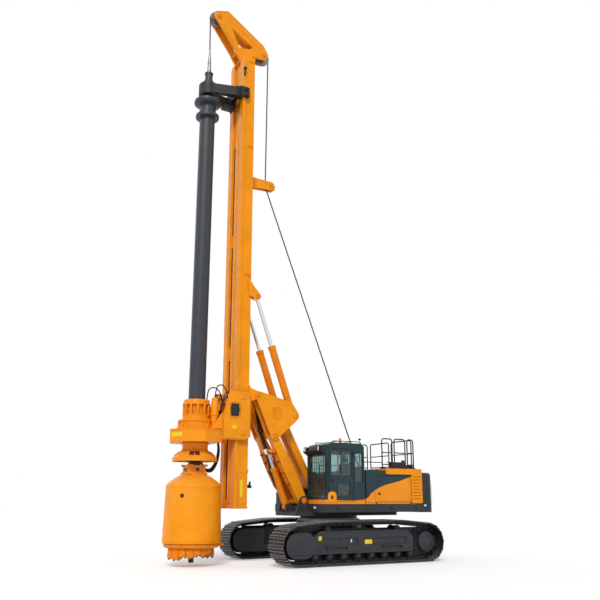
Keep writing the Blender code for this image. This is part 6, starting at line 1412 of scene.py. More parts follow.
    def right_side(self) -> None:
        """Make the far side's cooler grille, tank straps, cap, step gratings and mirror."""
        grille = Shape()
        grille.ring_plate(soft_box(-1.90, -0.76, 1.66, 2.34, 0.04), Axis.Y, -1.484, -1.468, 0.035)
        for k in range(14):
            z = 1.705 + 0.046 * k
            grille.plate([(-1.482, z), (-1.470, z + 0.026), (-1.470, z + 0.031), (-1.482, z + 0.005)], Axis.X, -1.88,
                         -0.78)
        for x in (-1.52, -1.14):
            grille.box((x - 0.012, -1.483, 1.68), (x + 0.012, -1.469, 2.32), 0.002)
        grille.piece("cooler_grille", POWDER, Body.UPPER)
        tank = Shape()
        for x in (-0.14, 0.42):
            tank.box((x - 0.03, -1.4735, 1.575), (x + 0.03, -1.468, 2.42), 0.002)
            tank.box((x - 0.03, -1.44, 2.458), (x + 0.03, -0.53, 2.4635), 0.002)
        tank.spun([(0.0, 2.459), (0.075, 2.459), (0.075, 2.475), (0.058, 2.48), (0.058, 2.515), (0.045, 2.525),
                   (0.0, 2.525)], (0.14, -1.22, 0), Axis.Z, 28)
        for k in range(8):
            tank.box((0.18 + 0.045 * k, -1.05, 2.459), (0.20 + 0.045 * k, -0.60, 2.467), 0.002)
        tank.piece("tank_straps_and_cap", POWDER, Body.UPPER)
        steps = Shape()
        for k in range(6):
            x = 0.67 + 0.052 * k
            steps.box((x - 0.014, -1.45, 1.9195), (x + 0.014, -0.74, 1.930), 0.003)
        for z in (1.66, 1.80):
            steps.box((0.985, -1.40, z), (1.005, -0.80, z + 0.022), 0.005)
        steps.pipe(rounded([(0.935, -1.37, 2.30), (1.02, -1.42, 2.42), (1.04, -1.44, 2.60)], 0.05), 0.010, 8)
        steps.box((1.020, -1.50, 2.58), (1.060, -1.36, 2.86), 0.018, 3)
        steps.piece("step_gratings_and_mirror", POWDER, Body.UPPER)
        glass = Shape()
        glass.plate(soft_box(-1.49, -1.37, 2.60, 2.84, 0.015), Axis.X, 1.0175, 1.0205, 0.0008)
        glass.piece("mirror_glass", CHROME, Body.UPPER)

    def deck_edge(self) -> None:
        """Make the deck's edge rails, tie-down eyes and bolts, and the bolts of the foot block."""
        shape = Shape()
        for side in (-1, 1):
            y = side * 1.50
            low, high = sorted((y - side * 0.004, y + side * 0.004))
            shape.box((-2.35, low, 1.540), (0.99, high, 1.562), 0.003)
            shape.box((-2.35, low, 1.352), (0.99, high, 1.372), 0.003)
            for x in (-2.10, -1.20, -0.30, 0.60):
                shape.spun([(0.020, -0.008), (0.034, -0.008), (0.034, 0.008), (0.020, 0.008)], (x, side * 1.512, 1.455),
                           Axis.X, 16)
            shape.bolts([(x, side * 1.50, z) for x in (-2.30, -1.75, -0.95, 0.15, 0.85) for z in (1.41, 1.50)],
                        (0, side, 0), 0.012, 0.010)
        shape.bolts([(1.0, y, 1.40) for y in (-1.3, -1.0, -0.7, 0.7, 1.0, 1.3)], (1, 0, 0), 0.014, 0.012)
        shape.piece("deck_edge_rails", CHASSIS, Body.UPPER)


@dataclass
class Counterweight:
    """The cast counterweight's lifting eyes, joint line, lamps and pins."""

    rear: float = -2.76
    top: float = 2.47

    def build(self) -> None:
        """Make the eyes, the recessed joint's filler, the lamps and their rims."""
        shape = Shape()
        for y in (-1.05, 1.05):
            shape.plate([(-2.64, self.top - 0.01), (-2.46, self.top - 0.01), (-2.49, self.top + 0.055),
                         (-2.55, self.top + 0.080), (-2.61, self.top + 0.055)], Axis.Y, y - 0.022, y + 0.022, 0.006)
            shape.spun([(0.024, -0.026), (0.040, -0.026), (0.040, 0.026), (0.024, 0.026)], (-2.55, y, self.top + 0.030),
                       Axis.Y, 18)
        for y in (-1.0, 0.0, 1.0):
            shape.ring_plate(soft_box(y - 0.42, y + 0.42, 1.52, 2.22, 0.08), Axis.X, -2.766, -2.757, 0.020, 0.002)
        shape.bolts([(self.rear, y, z) for z in (1.62, 2.12) for y in (-0.5, 0.5)], (-1, 0, 0), 0.022, 0.018)
        shape.piece("counterweight_dress", COUNTER, Body.UPPER)
        rims = Shape()
        lens = Shape()
        white = Shape()
        for side in (-1, 1):
            y = side * 1.22
            rims.ring_plate(soft_box(y - 0.075, y + 0.075, 1.40, 1.48, 0.012), Axis.X, -2.775, -2.757, 0.010)
            lens.plate(soft_box(y - 0.066, y + 0.066, 1.409, 1.471, 0.008), Axis.X, -2.770, -2.758, 0.002)
            low, high = sorted((side * 1.4995, side * 1.509))
            white.box((-2.475, low, 1.50), (-2.395, high, 1.545), 0.003)
        rims.piece("tail_lamp_rims", RUBBER, Body.UPPER)
        lens.piece("tail_lamp_lenses", RED_LENS, Body.UPPER)
        white.piece("side_marker_lenses", LENS, Body.UPPER)


@dataclass
class Handrails:
    """The walkway's rails on the cowl, bent from round tube, with their feet and toe boards."""

    radius: float = 0.019
    base: float = 2.5653
    height: float = 0.875
    side_y: float = 1.22
    bend: float = 0.09
    rear_x: float = -2.355
    panels: tuple[tuple[float, float], ...] = ((-1.13, -1.50), (-1.58, -1.98), (-2.06, -2.285))

    def build(self) -> None:
        """Make the rails and feet that stand for the plain ones."""
        shape = Shape()
        for side in (-1, 1):
            for start, end in self.panels:
                self.hoop(shape, (start, side * self.side_y), (end, side * self.side_y))
        for low, high in ((-1.08, -0.07), (0.07, 1.08)):
            self.hoop(shape, (-2.32, low), (-2.32, high))
        for side in (-1, 1):
            y = side * self.side_y
            shape.box((self.rear_x, y - 0.035, self.base), (-1.075, y + 0.035, self.base + 0.03), 0.006)
            shape.pipe(rounded([(-0.44, y, 2.50), (-0.44, y, 2.745), (-1.13, y, 2.745)], 0.06), 0.013, 10)
            shape.rod((-0.44, y, 2.499), (-0.44, y, 2.508), 0.032, 16, bevel=0.002)
        shape.box((self.rear_x, -self.side_y, self.base), (-2.285, self.side_y, self.base + 0.03), 0.006)
        shape.piece("walkway_rails", POWDER, Body.UPPER, ["handrails"])

    def hoop(self, shape: Shape, start: tuple[float, float], end: tuple[float, float]) -> None:
        """Add one bent panel with its middle rail, toe rail and feet.

        Args:
            shape: shape that takes it.
            start: x and y of the first post.
            end: x and y of the last post.
        """
        foot, top = self.base + 0.015, self.base + self.height
        shape.pipe(rounded([(*start, foot), (*start, top), (*end, top), (*end, foot)], self.bend, 6), self.radius, 12)
        for share in (0.13, 0.53):
            z = foot + (top - foot) * share
            shape.rod((*start, z), (*end, z), self.radius * 0.8, 10)
        for x, y in (start, end):
            shape.rod((x, y, self.base + 0.028), (x, y, self.base + 0.060), self.radius * 1.5, 12, bevel=0.003)


@dataclass
class Winch:
    """The winch's wound rope and flange bolts."""

    x: float = -1.64
    z: float = 2.06
    drum: float = 0.26
    inner: float = 0.268
    rope: float = 0.014

    def build(self) -> None:
        """Make the rope's turns on the drum and the bolts of its flanges."""
        turns = round(2 * self.inner / (2 * self.rope))
        profile = [(self.drum - 0.004, -self.inner)]
        for k in range(turns):
            middle = -self.inner + self.rope * (2 * k + 1)
            for step in range(5):
                turn = math.pi * step / 4
                profile.append((self.drum + self.rope + self.rope * math.sin(turn),
                                middle - self.rope * math.cos(turn)))
        profile.append((self.drum - 0.004, self.inner))
        shape = Shape()
        shape.spun(profile, (self.x, 0, self.z), Axis.Y, 48)
        shape.piece("winch_rope_turns", ROPE, Body.WINCH)
        bolts = Shape()
        for face in (-1, 1):
            bolts.ring_of_bolts((self.x, face * 0.31, self.z), Axis.Y, 0.30, 12, 0.012, 0.010, face < 0)
        bolts.piece("winch_flange_bolts", ZINC, Body.WINCH)


@dataclass
class Linkage:
    """Pin keepers, pipe rings, cylinder glands, steel lines and the hose bundle of the boom linkage."""

    foot: tuple[float, float] = (1.15, 1.66)
    head: tuple[float, float] = (2.09, 3.44)
    mast_pin: tuple[float, float] = (2.62, 4.57)
    crank: tuple[float, float] = (1.44, 4.03)
    eye: tuple[float, float] = (2.67, 7.49)
    luff_foot: tuple[float, float] = (0.68, 2.08)
    luff_eye: tuple[float, float] = (2.02, 3.04)
    side_y: float = 0.40
    bundle_y: float = -0.20

    def build(self) -> None:
        """Make every small piece of the linkage."""
        self.keepers()
        self.weld_beads()
        for side, barrel in ((1, Body.LEFT_BARREL), (-1, Body.RIGHT_BARREL)):
            word = "left" if side > 0 else "right"
            self.cylinder_dress(f"{word}_mast_cylinder", self.crank, self.eye, side * self.side_y, 0.105, 2.15, barrel)
        self.cylinder_dress("luff_cylinder", self.luff_foot, self.luff_eye, 0.0, 0.095, 1.15, Body.LUFF_BARREL)
        self.boom_lines()
        self.hose_bundle()

    def keepers(self) -> None:
        """Make the stepped caps and bolts at the ends of the pins."""
        upper, frame, column = Shape(), Shape(), Shape()
        rows = ((upper, self.foot, 0.5665, 0.085), (frame, self.head, 0.5565, 0.080),
                (frame, self.mast_pin, 0.5565, 0.080), (frame, self.crank, 0.5565, 0.075),
                (column, self.eye, 0.501, 0.075))
        for shape, (x, z), face, radius in rows:
            profile = [(0, 0), (radius, 0), (radius, 0.008), (radius * 0.84, 0.012), (radius * 0.80, 0.012),
                       (radius * 0.80, 0.006), (radius * 0.55, 0.006), (radius * 0.5, 0.018), (0, 0.018)]
            shape.spun(profile, (x, face, z), Axis.Y, 28)
            shape.ring_of_bolts((x, face + 0.010, z), Axis.Y, radius * 0.68, 4, 0.010, 0.008, start=0.78)
        for shape, name, body in ((upper, "boom_foot_keepers", Body.UPPER),
                                  (frame, "triangle_pin_keepers", Body.TRIANGLE),
                                  (column, "cylinder_eye_keepers", Body.MAST)):
            shape.mirror().piece(name, CAST_ENAMEL, body)

    def weld_beads(self) -> None:
        """Make the triangle's ringed pipe mouths and the boom's weld straps."""
        frame = Shape()
        profile = [(0.150, 0), (0.162, 0), (0.168, 0.006), (0.166, 0.012), (0.152, 0.012), (0.146, 0.006)]
        frame.spun(profile, (2.04, 0.571, 4.10), Axis.Y, 40)
        frame.ring_of_bolts((1.62, 0.556, 3.86), Axis.Y, 0.085, 6, 0.010, 0.009)
        frame.mirror().piece("triangle_pipe_rings", ENAMEL, Body.TRIANGLE)
        dark = Shape()
        dark.spun([(0, 0), (0.146, 0), (0.146, 0.003), (0, 0.003)], (2.04, 0.565, 4.10), Axis.Y, 32)
        dark.mirror().piece("triangle_pipe_shadows", CAST_ENAMEL, Body.TRIANGLE)
        boom = Shape()
        start, end = beside(self.foot), beside(self.head)
        along = (end - start).normalized()
        for share in (0.20, 0.42, 0.64, 0.84):
            spot = start.lerp(end, share)
            turn = lean_frame(spot, along)
            boom.box((-0.10, 0.5105, -0.010), (0.10, 0.5135, 0.010), 0.001, 1, turn)
            boom.box((-0.10, -0.5135, -0.010), (0.10, -0.5105, 0.010), 0.001, 1, turn)
        boom.piece("boom_weld_straps", CAST_ENAMEL, Body.BOOM)

    def cylinder_dress(self, name: str, base: tuple[float, float], eye: tuple[float, float], y: float, radius: float,
                       length: float, body: Body) -> None:
        """Make a cylinder's gland with its bolts.

        Args:
            name: the cylinder's name.
            base: (x, z) of the barrel's pin.
            eye: (x, z) of the rod's pin.
            y: side place of its centreline.
            radius: the barrel's radius.
            length: the barrel's length from its pin.
            body: the barrel's body.
        """
        start, end = beside(base, y), beside(eye, y)
        along = (end - start).normalized()
        gland = Shape()
        mouth = start + along * length
        gland.rod(mouth - along * 0.085, mouth - along * 0.008, radius * 1.09, 32, bevel=0.006)
        gland.rod(mouth - along * 0.30, mouth - along * 0.28, radius * 1.05, 32)
        turn = lean_frame(mouth - along * 0.009, along)
        heads = Shape()
        heads.ring_of_bolts((0, 0, 0), Axis.Z, radius * 0.90, 10, radius * 0.075, 0.007)
        gland.stamp(heads, [turn])
        gland.piece(f"{name}_gland", CAST_ENAMEL, body)

    def boom_lines(self) -> None:
        """Make the three steel lines and their clips along the top of each boom leg."""
        lines, clips = Shape(), Shape()
        start, end = beside(self.foot), beside(self.head)
        along = (end - start).normalized()
        front = Vector((along.z, 0, -along.x))
        for y in (0.36, 0.41, 0.46):
            side = Vector((0, y, 0))
            lines.pipe(rounded([start + side + along * run + front * lift for run, lift in (
                (0.42, 0.155), (0.52, 0.195), (1.10, 0.200), (1.62, 0.168), (1.72, 0.120))], 0.06, 4), 0.012, 8)
        for run in (0.60, 0.95, 1.30, 1.55):
            spot = start + along * run + front * 0.180
            turn = lean_frame(spot, along)
            clips.box((-0.028, 0.335, -0.012), (0.028, 0.485, 0.012), 0.004, 2, turn)
        lines.mirror().piece("boom_steel_lines", CAST_ENAMEL, Body.BOOM)
        clips.mirror().piece("boom_line_clips", POWDER, Body.BOOM)

    def hose_bundle(self) -> None:
        """Make the thick hose bundle from the deck past the boom to the mast, one piece for each joint it crosses."""
        spans = (("deck_hose_bundle", Body.UPPER, Body.BOOM, [(1.36, 1.72), (1.52, 1.93), (1.69, 2.16), (1.82, 2.46)]),
                 ("boom_hose_bundle", Body.BOOM, Body.TRIANGLE,
                  [(1.82, 2.46), (1.90, 2.82), (2.02, 3.16), (2.20, 3.62)]),
                 ("mast_hose_bundle", Body.TRIANGLE, Body.MAST,
                  [(2.20, 3.62), (2.30, 4.10), (2.44, 4.55), (2.66, 4.98), (2.84, 5.30)]))
        offsets = ((-0.045, -0.030), (-0.015, 0.034), (0.018, -0.034), (0.048, 0.026), (0.078, -0.012))
        for name, first, second, route in spans:
            shape = Shape()
            for side, lift in offsets:
                shape.pipe(flowing([(x + lift * 0.7, self.bundle_y + side, z + lift * 0.35) for x, z in route], 6),
                           0.019, 10)
            ends = [(x, self.bundle_y, z) for x, z in (route[0], route[-1])]
            shape.piece(name, RUBBER, first, crossing=Crossing(second, *ends))
        for name, body, (x, z) in (("boom_hose_clamp", Body.BOOM, (1.82, 2.46)),
                                   ("triangle_hose_clamp", Body.TRIANGLE, (2.20, 3.62))):
            clamp = Shape()
            clamp.ring_plate(soft_box(x - 0.065, x + 0.065, -0.285, -0.085, 0.03), Axis.Z, z - 0.022, z + 0.022, 0.012)
            clamp.piece(name, ZINC, body)


@dataclass
class MastDress:
    """The mast's joint straps, feed cover, painted shade of the front channel, foot covers, hook and head fitting."""

    rear: float = 2.88
    half: float = 0.44
    face: float = 3.2305
    seams: tuple[tuple[float, float], ...] = ((8.12, 0.11), (12.30, 0.11), (15.30, 0.07))

    def build(self) -> None:
        """Make the pieces along the mast."""
        self.joints()
        self.front_channel()
        self.foot()
        self.side_bits()

    def joints(self) -> None:
        """Make the bolted straps where the mast's sections meet."""
        shape = Shape()
        for z, tall in self.seams:
            for side in (-1, 1):
                face = side * self.half
                shape.box((2.90, face, z - tall / 2), (3.095, face + side * 0.010, z + tall / 2), 0.003)
                shape.bolts([(x, face + side * 0.010, z + lift) for x in (2.93, 2.98, 3.03, 3.07)
                             for lift in (-tall / 4, tall / 4)], (0, side, 0), 0.011, 0.009)
            shape.box((self.rear - 0.012, -0.40, z - tall / 2), (self.rear, 0.40, z + tall / 2), 0.003)
            shape.bolts([(self.rear - 0.012, -0.36 + 0.08 * i, z + lift) for i in range(10)
                         for lift in (-tall / 4, tall / 4)], (-1, 0, 0), 0.011, 0.009)
        shape.piece("mast_joint_straps", CAST_ENAMEL, Body.MAST)

    def front_channel(self) -> None:
        """Make the feed cover with its domed end and bands, and the black strips beside it that paint the front
        channel's shade.
        """
        cover = Shape()
        cover.box((self.face, -0.020, 1.62), (3.290, 0.130, 12.70), 0.030, 3)
        cover.spun([(0, 0), (0.075, 0), (0.075, 0.030), (0.050, 0.056), (0, 0.059)], (self.face, 0.055, 12.68), Axis.X,
                   28)
        for z in (2.2, 4.2, 6.2, 8.2, 10.2, 12.2):
            cover.box((self.face, -0.028, z), (3.294, 0.138, z + 0.04), 0.012, 2)
        cover.piece("mast_feed_cover", ENAMEL, Body.MAST)
        # Black strips beside the feed cover paint the shade along the front channel's walls.
        shade_strips = Shape()
        for low, high in ((1.70, 5.60), (6.00, 9.10), (9.50, 12.45)):
            shade_strips.box((self.face, -0.205, low), (3.243, -0.150, high), 0.004)
            shade_strips.box((self.face, 0.175, low), (3.240, 0.190, high), 0.003)
        shade_strips.piece("mast_channel_shade_strips", POWDER, Body.MAST)

    def foot(self) -> None:
        """Make the foot's rim, its bolted cover plates, the blank plate and the hook."""
        rim = Shape()
        for side in (-1, 1):
            rim.box((2.872, side * self.half, 1.455), (3.205, side * (self.half + 0.010), 1.495), 0.002)
            rim.box((3.205, side * 0.491, 1.455), (3.312, side * 0.497, 1.495), 0.002)
        rim.box((2.868, -self.half, 1.455), (self.rear, self.half, 1.495), 0.002)
        for low, high in ((0.4405, 0.4465), (-0.4465, -0.4405)):
            rim.plate(soft_box(2.925, 3.170, 1.56, 2.36, 0.03), Axis.Y, low, high, 0.002)
        spots = [(x, z) for x in (2.945, 3.150) for z in (1.60, 1.85, 2.08, 2.32)]
        for side in (-1, 1):
            rim.bolts([(x, side * 0.4465, z) for x, z in spots], (0, side, 0), 0.009, 0.007)
        rim.piece("mast_foot_covers", ENAMEL, Body.MAST)
        label = Shape()
        label.plate(soft_box(3.02, 3.10, 1.76, 2.21, 0.008), Axis.Y, 0.4472, 0.4488, 0.0004)
        label.piece("mast_blank_plate", BRIGHT_LABEL, Body.MAST)
        hook = Shape()
        hook.plate([(2.88, 1.98), (2.80, 2.00), (2.74, 2.06), (2.74, 2.16), (2.79, 2.18), (2.80, 2.09), (2.88, 2.08)],
                   Axis.Y, 0.34, 0.37, 0.005)
        hook.rod((2.77, 0.30, 2.03), (2.77, 0.42, 2.03), 0.038, 16, bevel=0.006)
        hook.box((2.872, 0.30, 1.95), (2.880, 0.42, 2.14), 0.002)
        hook.box((3.20, -0.510, 1.90), (3.26, -0.491, 2.02), 0.005)
        hook.piece("mast_hose_hook", POWDER, Body.MAST)

    def side_bits(self) -> None:
        """Make the round fitting near the top."""
        fitting = Shape()
        fitting.spun([(0, 0), (0.055, 0), (0.055, 0.030), (0.040, 0.038), (0.040, 0.062), (0.022, 0.066), (0, 0.066)],
                     (3.255, 0.4905, 14.96), Axis.Y, 24)
        fitting.box((3.225, 0.4905, 14.70), (3.285, 0.505, 14.88), 0.004)
        fitting.piece("mast_head_fitting", POWDER, Body.MAST)


@dataclass
class HeadDress:
    """Edge beads, painted slot shade along the beams, base bolts and sheave washers of the mast's head, and the caps of
    the sheaves' pins.
    """

    front: tuple[float, float] = (4.065, 16.79)
    rear: tuple[float, float] = (2.44, 15.86)
    arm: tuple[float, float] = (2.08, 11.31)
    cheek: float = 0.20
    radius: float = 0.25

    def outline(self) -> list[tuple[float, float]]:
        """Return the cheek plates' corners in x and z."""
        fx, fz = self.front
        rx, rz = self.rear
        r = self.radius
        return [(2.88, 15.40), (3.30, 15.40), (3.54, 15.80), (fx + 0.08 * r, fz - 0.96 * r),
                (fx + 0.72 * r, fz - 0.24 * r), (fx + 0.56 * r, fz + 0.64 * r), (fx - 1.20 * r, fz + 1.20 * r),
                (rx + 0.08 * r, rz + 1.44 * r), (rx - 0.60 * r, rz + 0.32 * r), (rx - 0.24 * r, rz - 0.64 * r),
                (2.88, 15.68)]

    def build(self) -> None:
        """Make the head's pieces."""
        beads = Shape()
        corners = self.outline()
        middle = beside([sum(places) / len(corners) for places in zip(*corners)])
        line = [spot + (middle - spot).normalized() * 0.035 for spot in map(beside, corners)]
        out = Vector((0, self.cheek + 0.002, 0))
        for first, second in zip(line[1:], line[2:] + line[:1]):
            step = (second - first).normalized() * 0.02
            beads.pipe([first + step + out, second - step + out], 0.011, 8)
        for share in (0.25, 0.5, 0.75):
            a = Vector((3.54, 0, 15.92)).lerp(Vector((3.98, 0, 16.66)), share)
            beads.ring_of_bolts((a.x, self.cheek, a.z), Axis.Y, 0.030, 3, 0.009, 0.008)
        beads.mirror().piece("head_edge_beads", ENAMEL, Body.MAST)
        # Thin strips in the darker cast enamel, barely proud of the cheeks, paint the shade of slots along the head's
        # beams.
        slots = Shape()
        for first, second in (((2.66, 16.10), (3.86, 16.90)), ((3.42, 15.72), (3.92, 16.52)),
                              ((2.62, 15.74), (3.16, 15.50))):
            start, end = beside(first, self.cheek + 0.0015), beside(second, self.cheek + 0.0015)
            along = (end - start).normalized()
            slots.box((-0.020, -0.0025, 0), (0.020, 0.0, (end - start).length), 0.001, 1, lean_frame(start, along))
        slots.mirror().piece("head_beam_slot_shade", CAST_ENAMEL, Body.MAST)
        caps = Shape()
        for (x, z), face, radius in ((self.front, self.cheek, 0.085), (self.rear, self.cheek, 0.085),
                                     (self.arm, 0.0935, 0.070)):
            caps.spun([(0, 0), (radius, 0), (radius, 0.010), (radius * 0.75, 0.016), (radius * 0.45, 0.016),
                       (radius * 0.4, 0.026), (0, 0.026)], (x, face, z), Axis.Y, 28)
            caps.ring_of_bolts((x, face + 0.014, z), Axis.Y, radius * 0.60, 5, 0.009, 0.008)
        caps.mirror().piece("sheave_pin_caps", CAST_ENAMEL, Body.MAST)
        base = Shape()
        base.box((2.96, -0.36, 15.4605), (3.22, 0.36, 15.470), 0.003)
        base.bolts([(x, y, 15.460) for x in (2.91, 3.27) for y in (-0.38, -0.27, 0.27, 0.38)], (0, 0, 1), 0.016, 0.014)
        base.piece("head_base_bolts", ENAMEL, Body.MAST)
        linings = Shape()
        for x, z in (self.front, self.rear):
            linings.spun([(0.10, 0.0505), (0.17, 0.0505), (0.165, 0.058), (0.105, 0.058)], (x, 0, z), Axis.Y, 32)
        linings.mirror().piece("sheave_side_washers", BARE_STEEL, Body.MAST)


@dataclass
class Ropes:
    """The main wire rope from the winch over the sheaves to its socket, and the swivel below it."""

    radius: float = 0.021
    drum: tuple[float, float] = (-1.64, 2.06)
    arm: tuple[float, float] = (2.08, 11.31)
    rear: tuple[float, float] = (2.44, 15.86)
    front: tuple[float, float] = (4.065, 16.79)
    drum_reach: float = 0.280
    arm_reach: float = 0.1575
    head_reach: float = 0.2375

    def build(self) -> None:
        """Make each run of the rope, the socket at its end and the swivel."""
        along = beside([a - b for a, b in zip(self.drum, self.arm)]).normalized()
        front = Vector((-along.z, 0, along.x))
        low = beside(self.drum) + front * self.drum_reach
        high = beside(self.arm) + front * self.arm_reach
        stops = [high.lerp(low, share) for share in (0, 0.34, 0.67, 1)]
        spans = (("winch_rope_lower", Body.UPPER, Body.BOOM, stops[3], stops[2]),
                 ("winch_rope_middle", Body.BOOM, Body.TRIANGLE, stops[2], stops[1]),
                 ("winch_rope_upper", Body.TRIANGLE, Body.MAST, stops[1], stops[0]))
        for name, first, second, start, end in spans:
            shape = Shape()
            shape.pipe([start.lerp(end, k / 24) for k in range(25)], self.radius, 10)
            shape.piece(name, ROPE, first, crossing=Crossing(second, start, end))
        head = Shape()
        turn = math.atan2(front.z, front.x)
        arc = [Vector((self.arm[0] + self.arm_reach * math.cos(turn * (1 - k / 6)), 0,
                       self.arm[1] + self.arm_reach * math.sin(turn * (1 - k / 6)))) for k in range(7)]
        rear_turn = [Vector((self.rear[0] - self.head_reach * math.cos(math.radians(9 * k)), 0,
                             self.rear[1] + self.head_reach * math.sin(math.radians(9 * k)))) for k in range(14)]
        front_turn = [Vector((self.front[0] + self.head_reach * math.sin(math.radians(10 * k - 30)), 0,
                              self.front[1] + self.head_reach * math.cos(math.radians(10 * k - 30))))
                      for k in range(13)]
        head.pipe(arc + rear_turn + front_turn, self.radius, 10)
        head.piece("head_rope", ROPE, Body.MAST)
        drop = Shape()
        top = front_turn[-1]
        foot = Vector((KELLY_X, 0, 15.55))
        drop.pipe([top.lerp(foot, k / 16) for k in range(17)], self.radius, 10)
        drop.piece("swivel_rope", ROPE, Body.MAST, crossing=Crossing(Body.HANGER, top, foot))
        socket = Shape()
        socket.spun([(0, 14.735), (0.076, 14.735), (0.078, 14.78), (0.062, 14.80), (0.052, 15.08), (0.060, 15.085),
                     (0.060, 15.12), (0.047, 15.13), (0.034, 15.40), (0.026, 15.58), (0, 15.60)], ON_KELLY, Axis.Z, 28)
        socket.piece("rope_end_socket", BARE_STEEL, Body.HANGER)
        swivel = Shape()
        swivel.spun([(0, 14.345), (0.148, 14.345), (0.150, 14.36), (0.150, 14.44), (0.118, 14.46), (0.118, 14.66),
                     (0.134, 14.675), (0.134, 14.72), (0.105, 14.74), (0, 14.74)], ON_KELLY, Axis.Z, 40)
        swivel.ring_of_bolts((KELLY_X, 0, 14.70), Axis.Z, 0.098, 8, 0.010, 0.048)
        swivel.piece("swivel_body", SLATE, Body.HANGER, ("rope_swivel",))


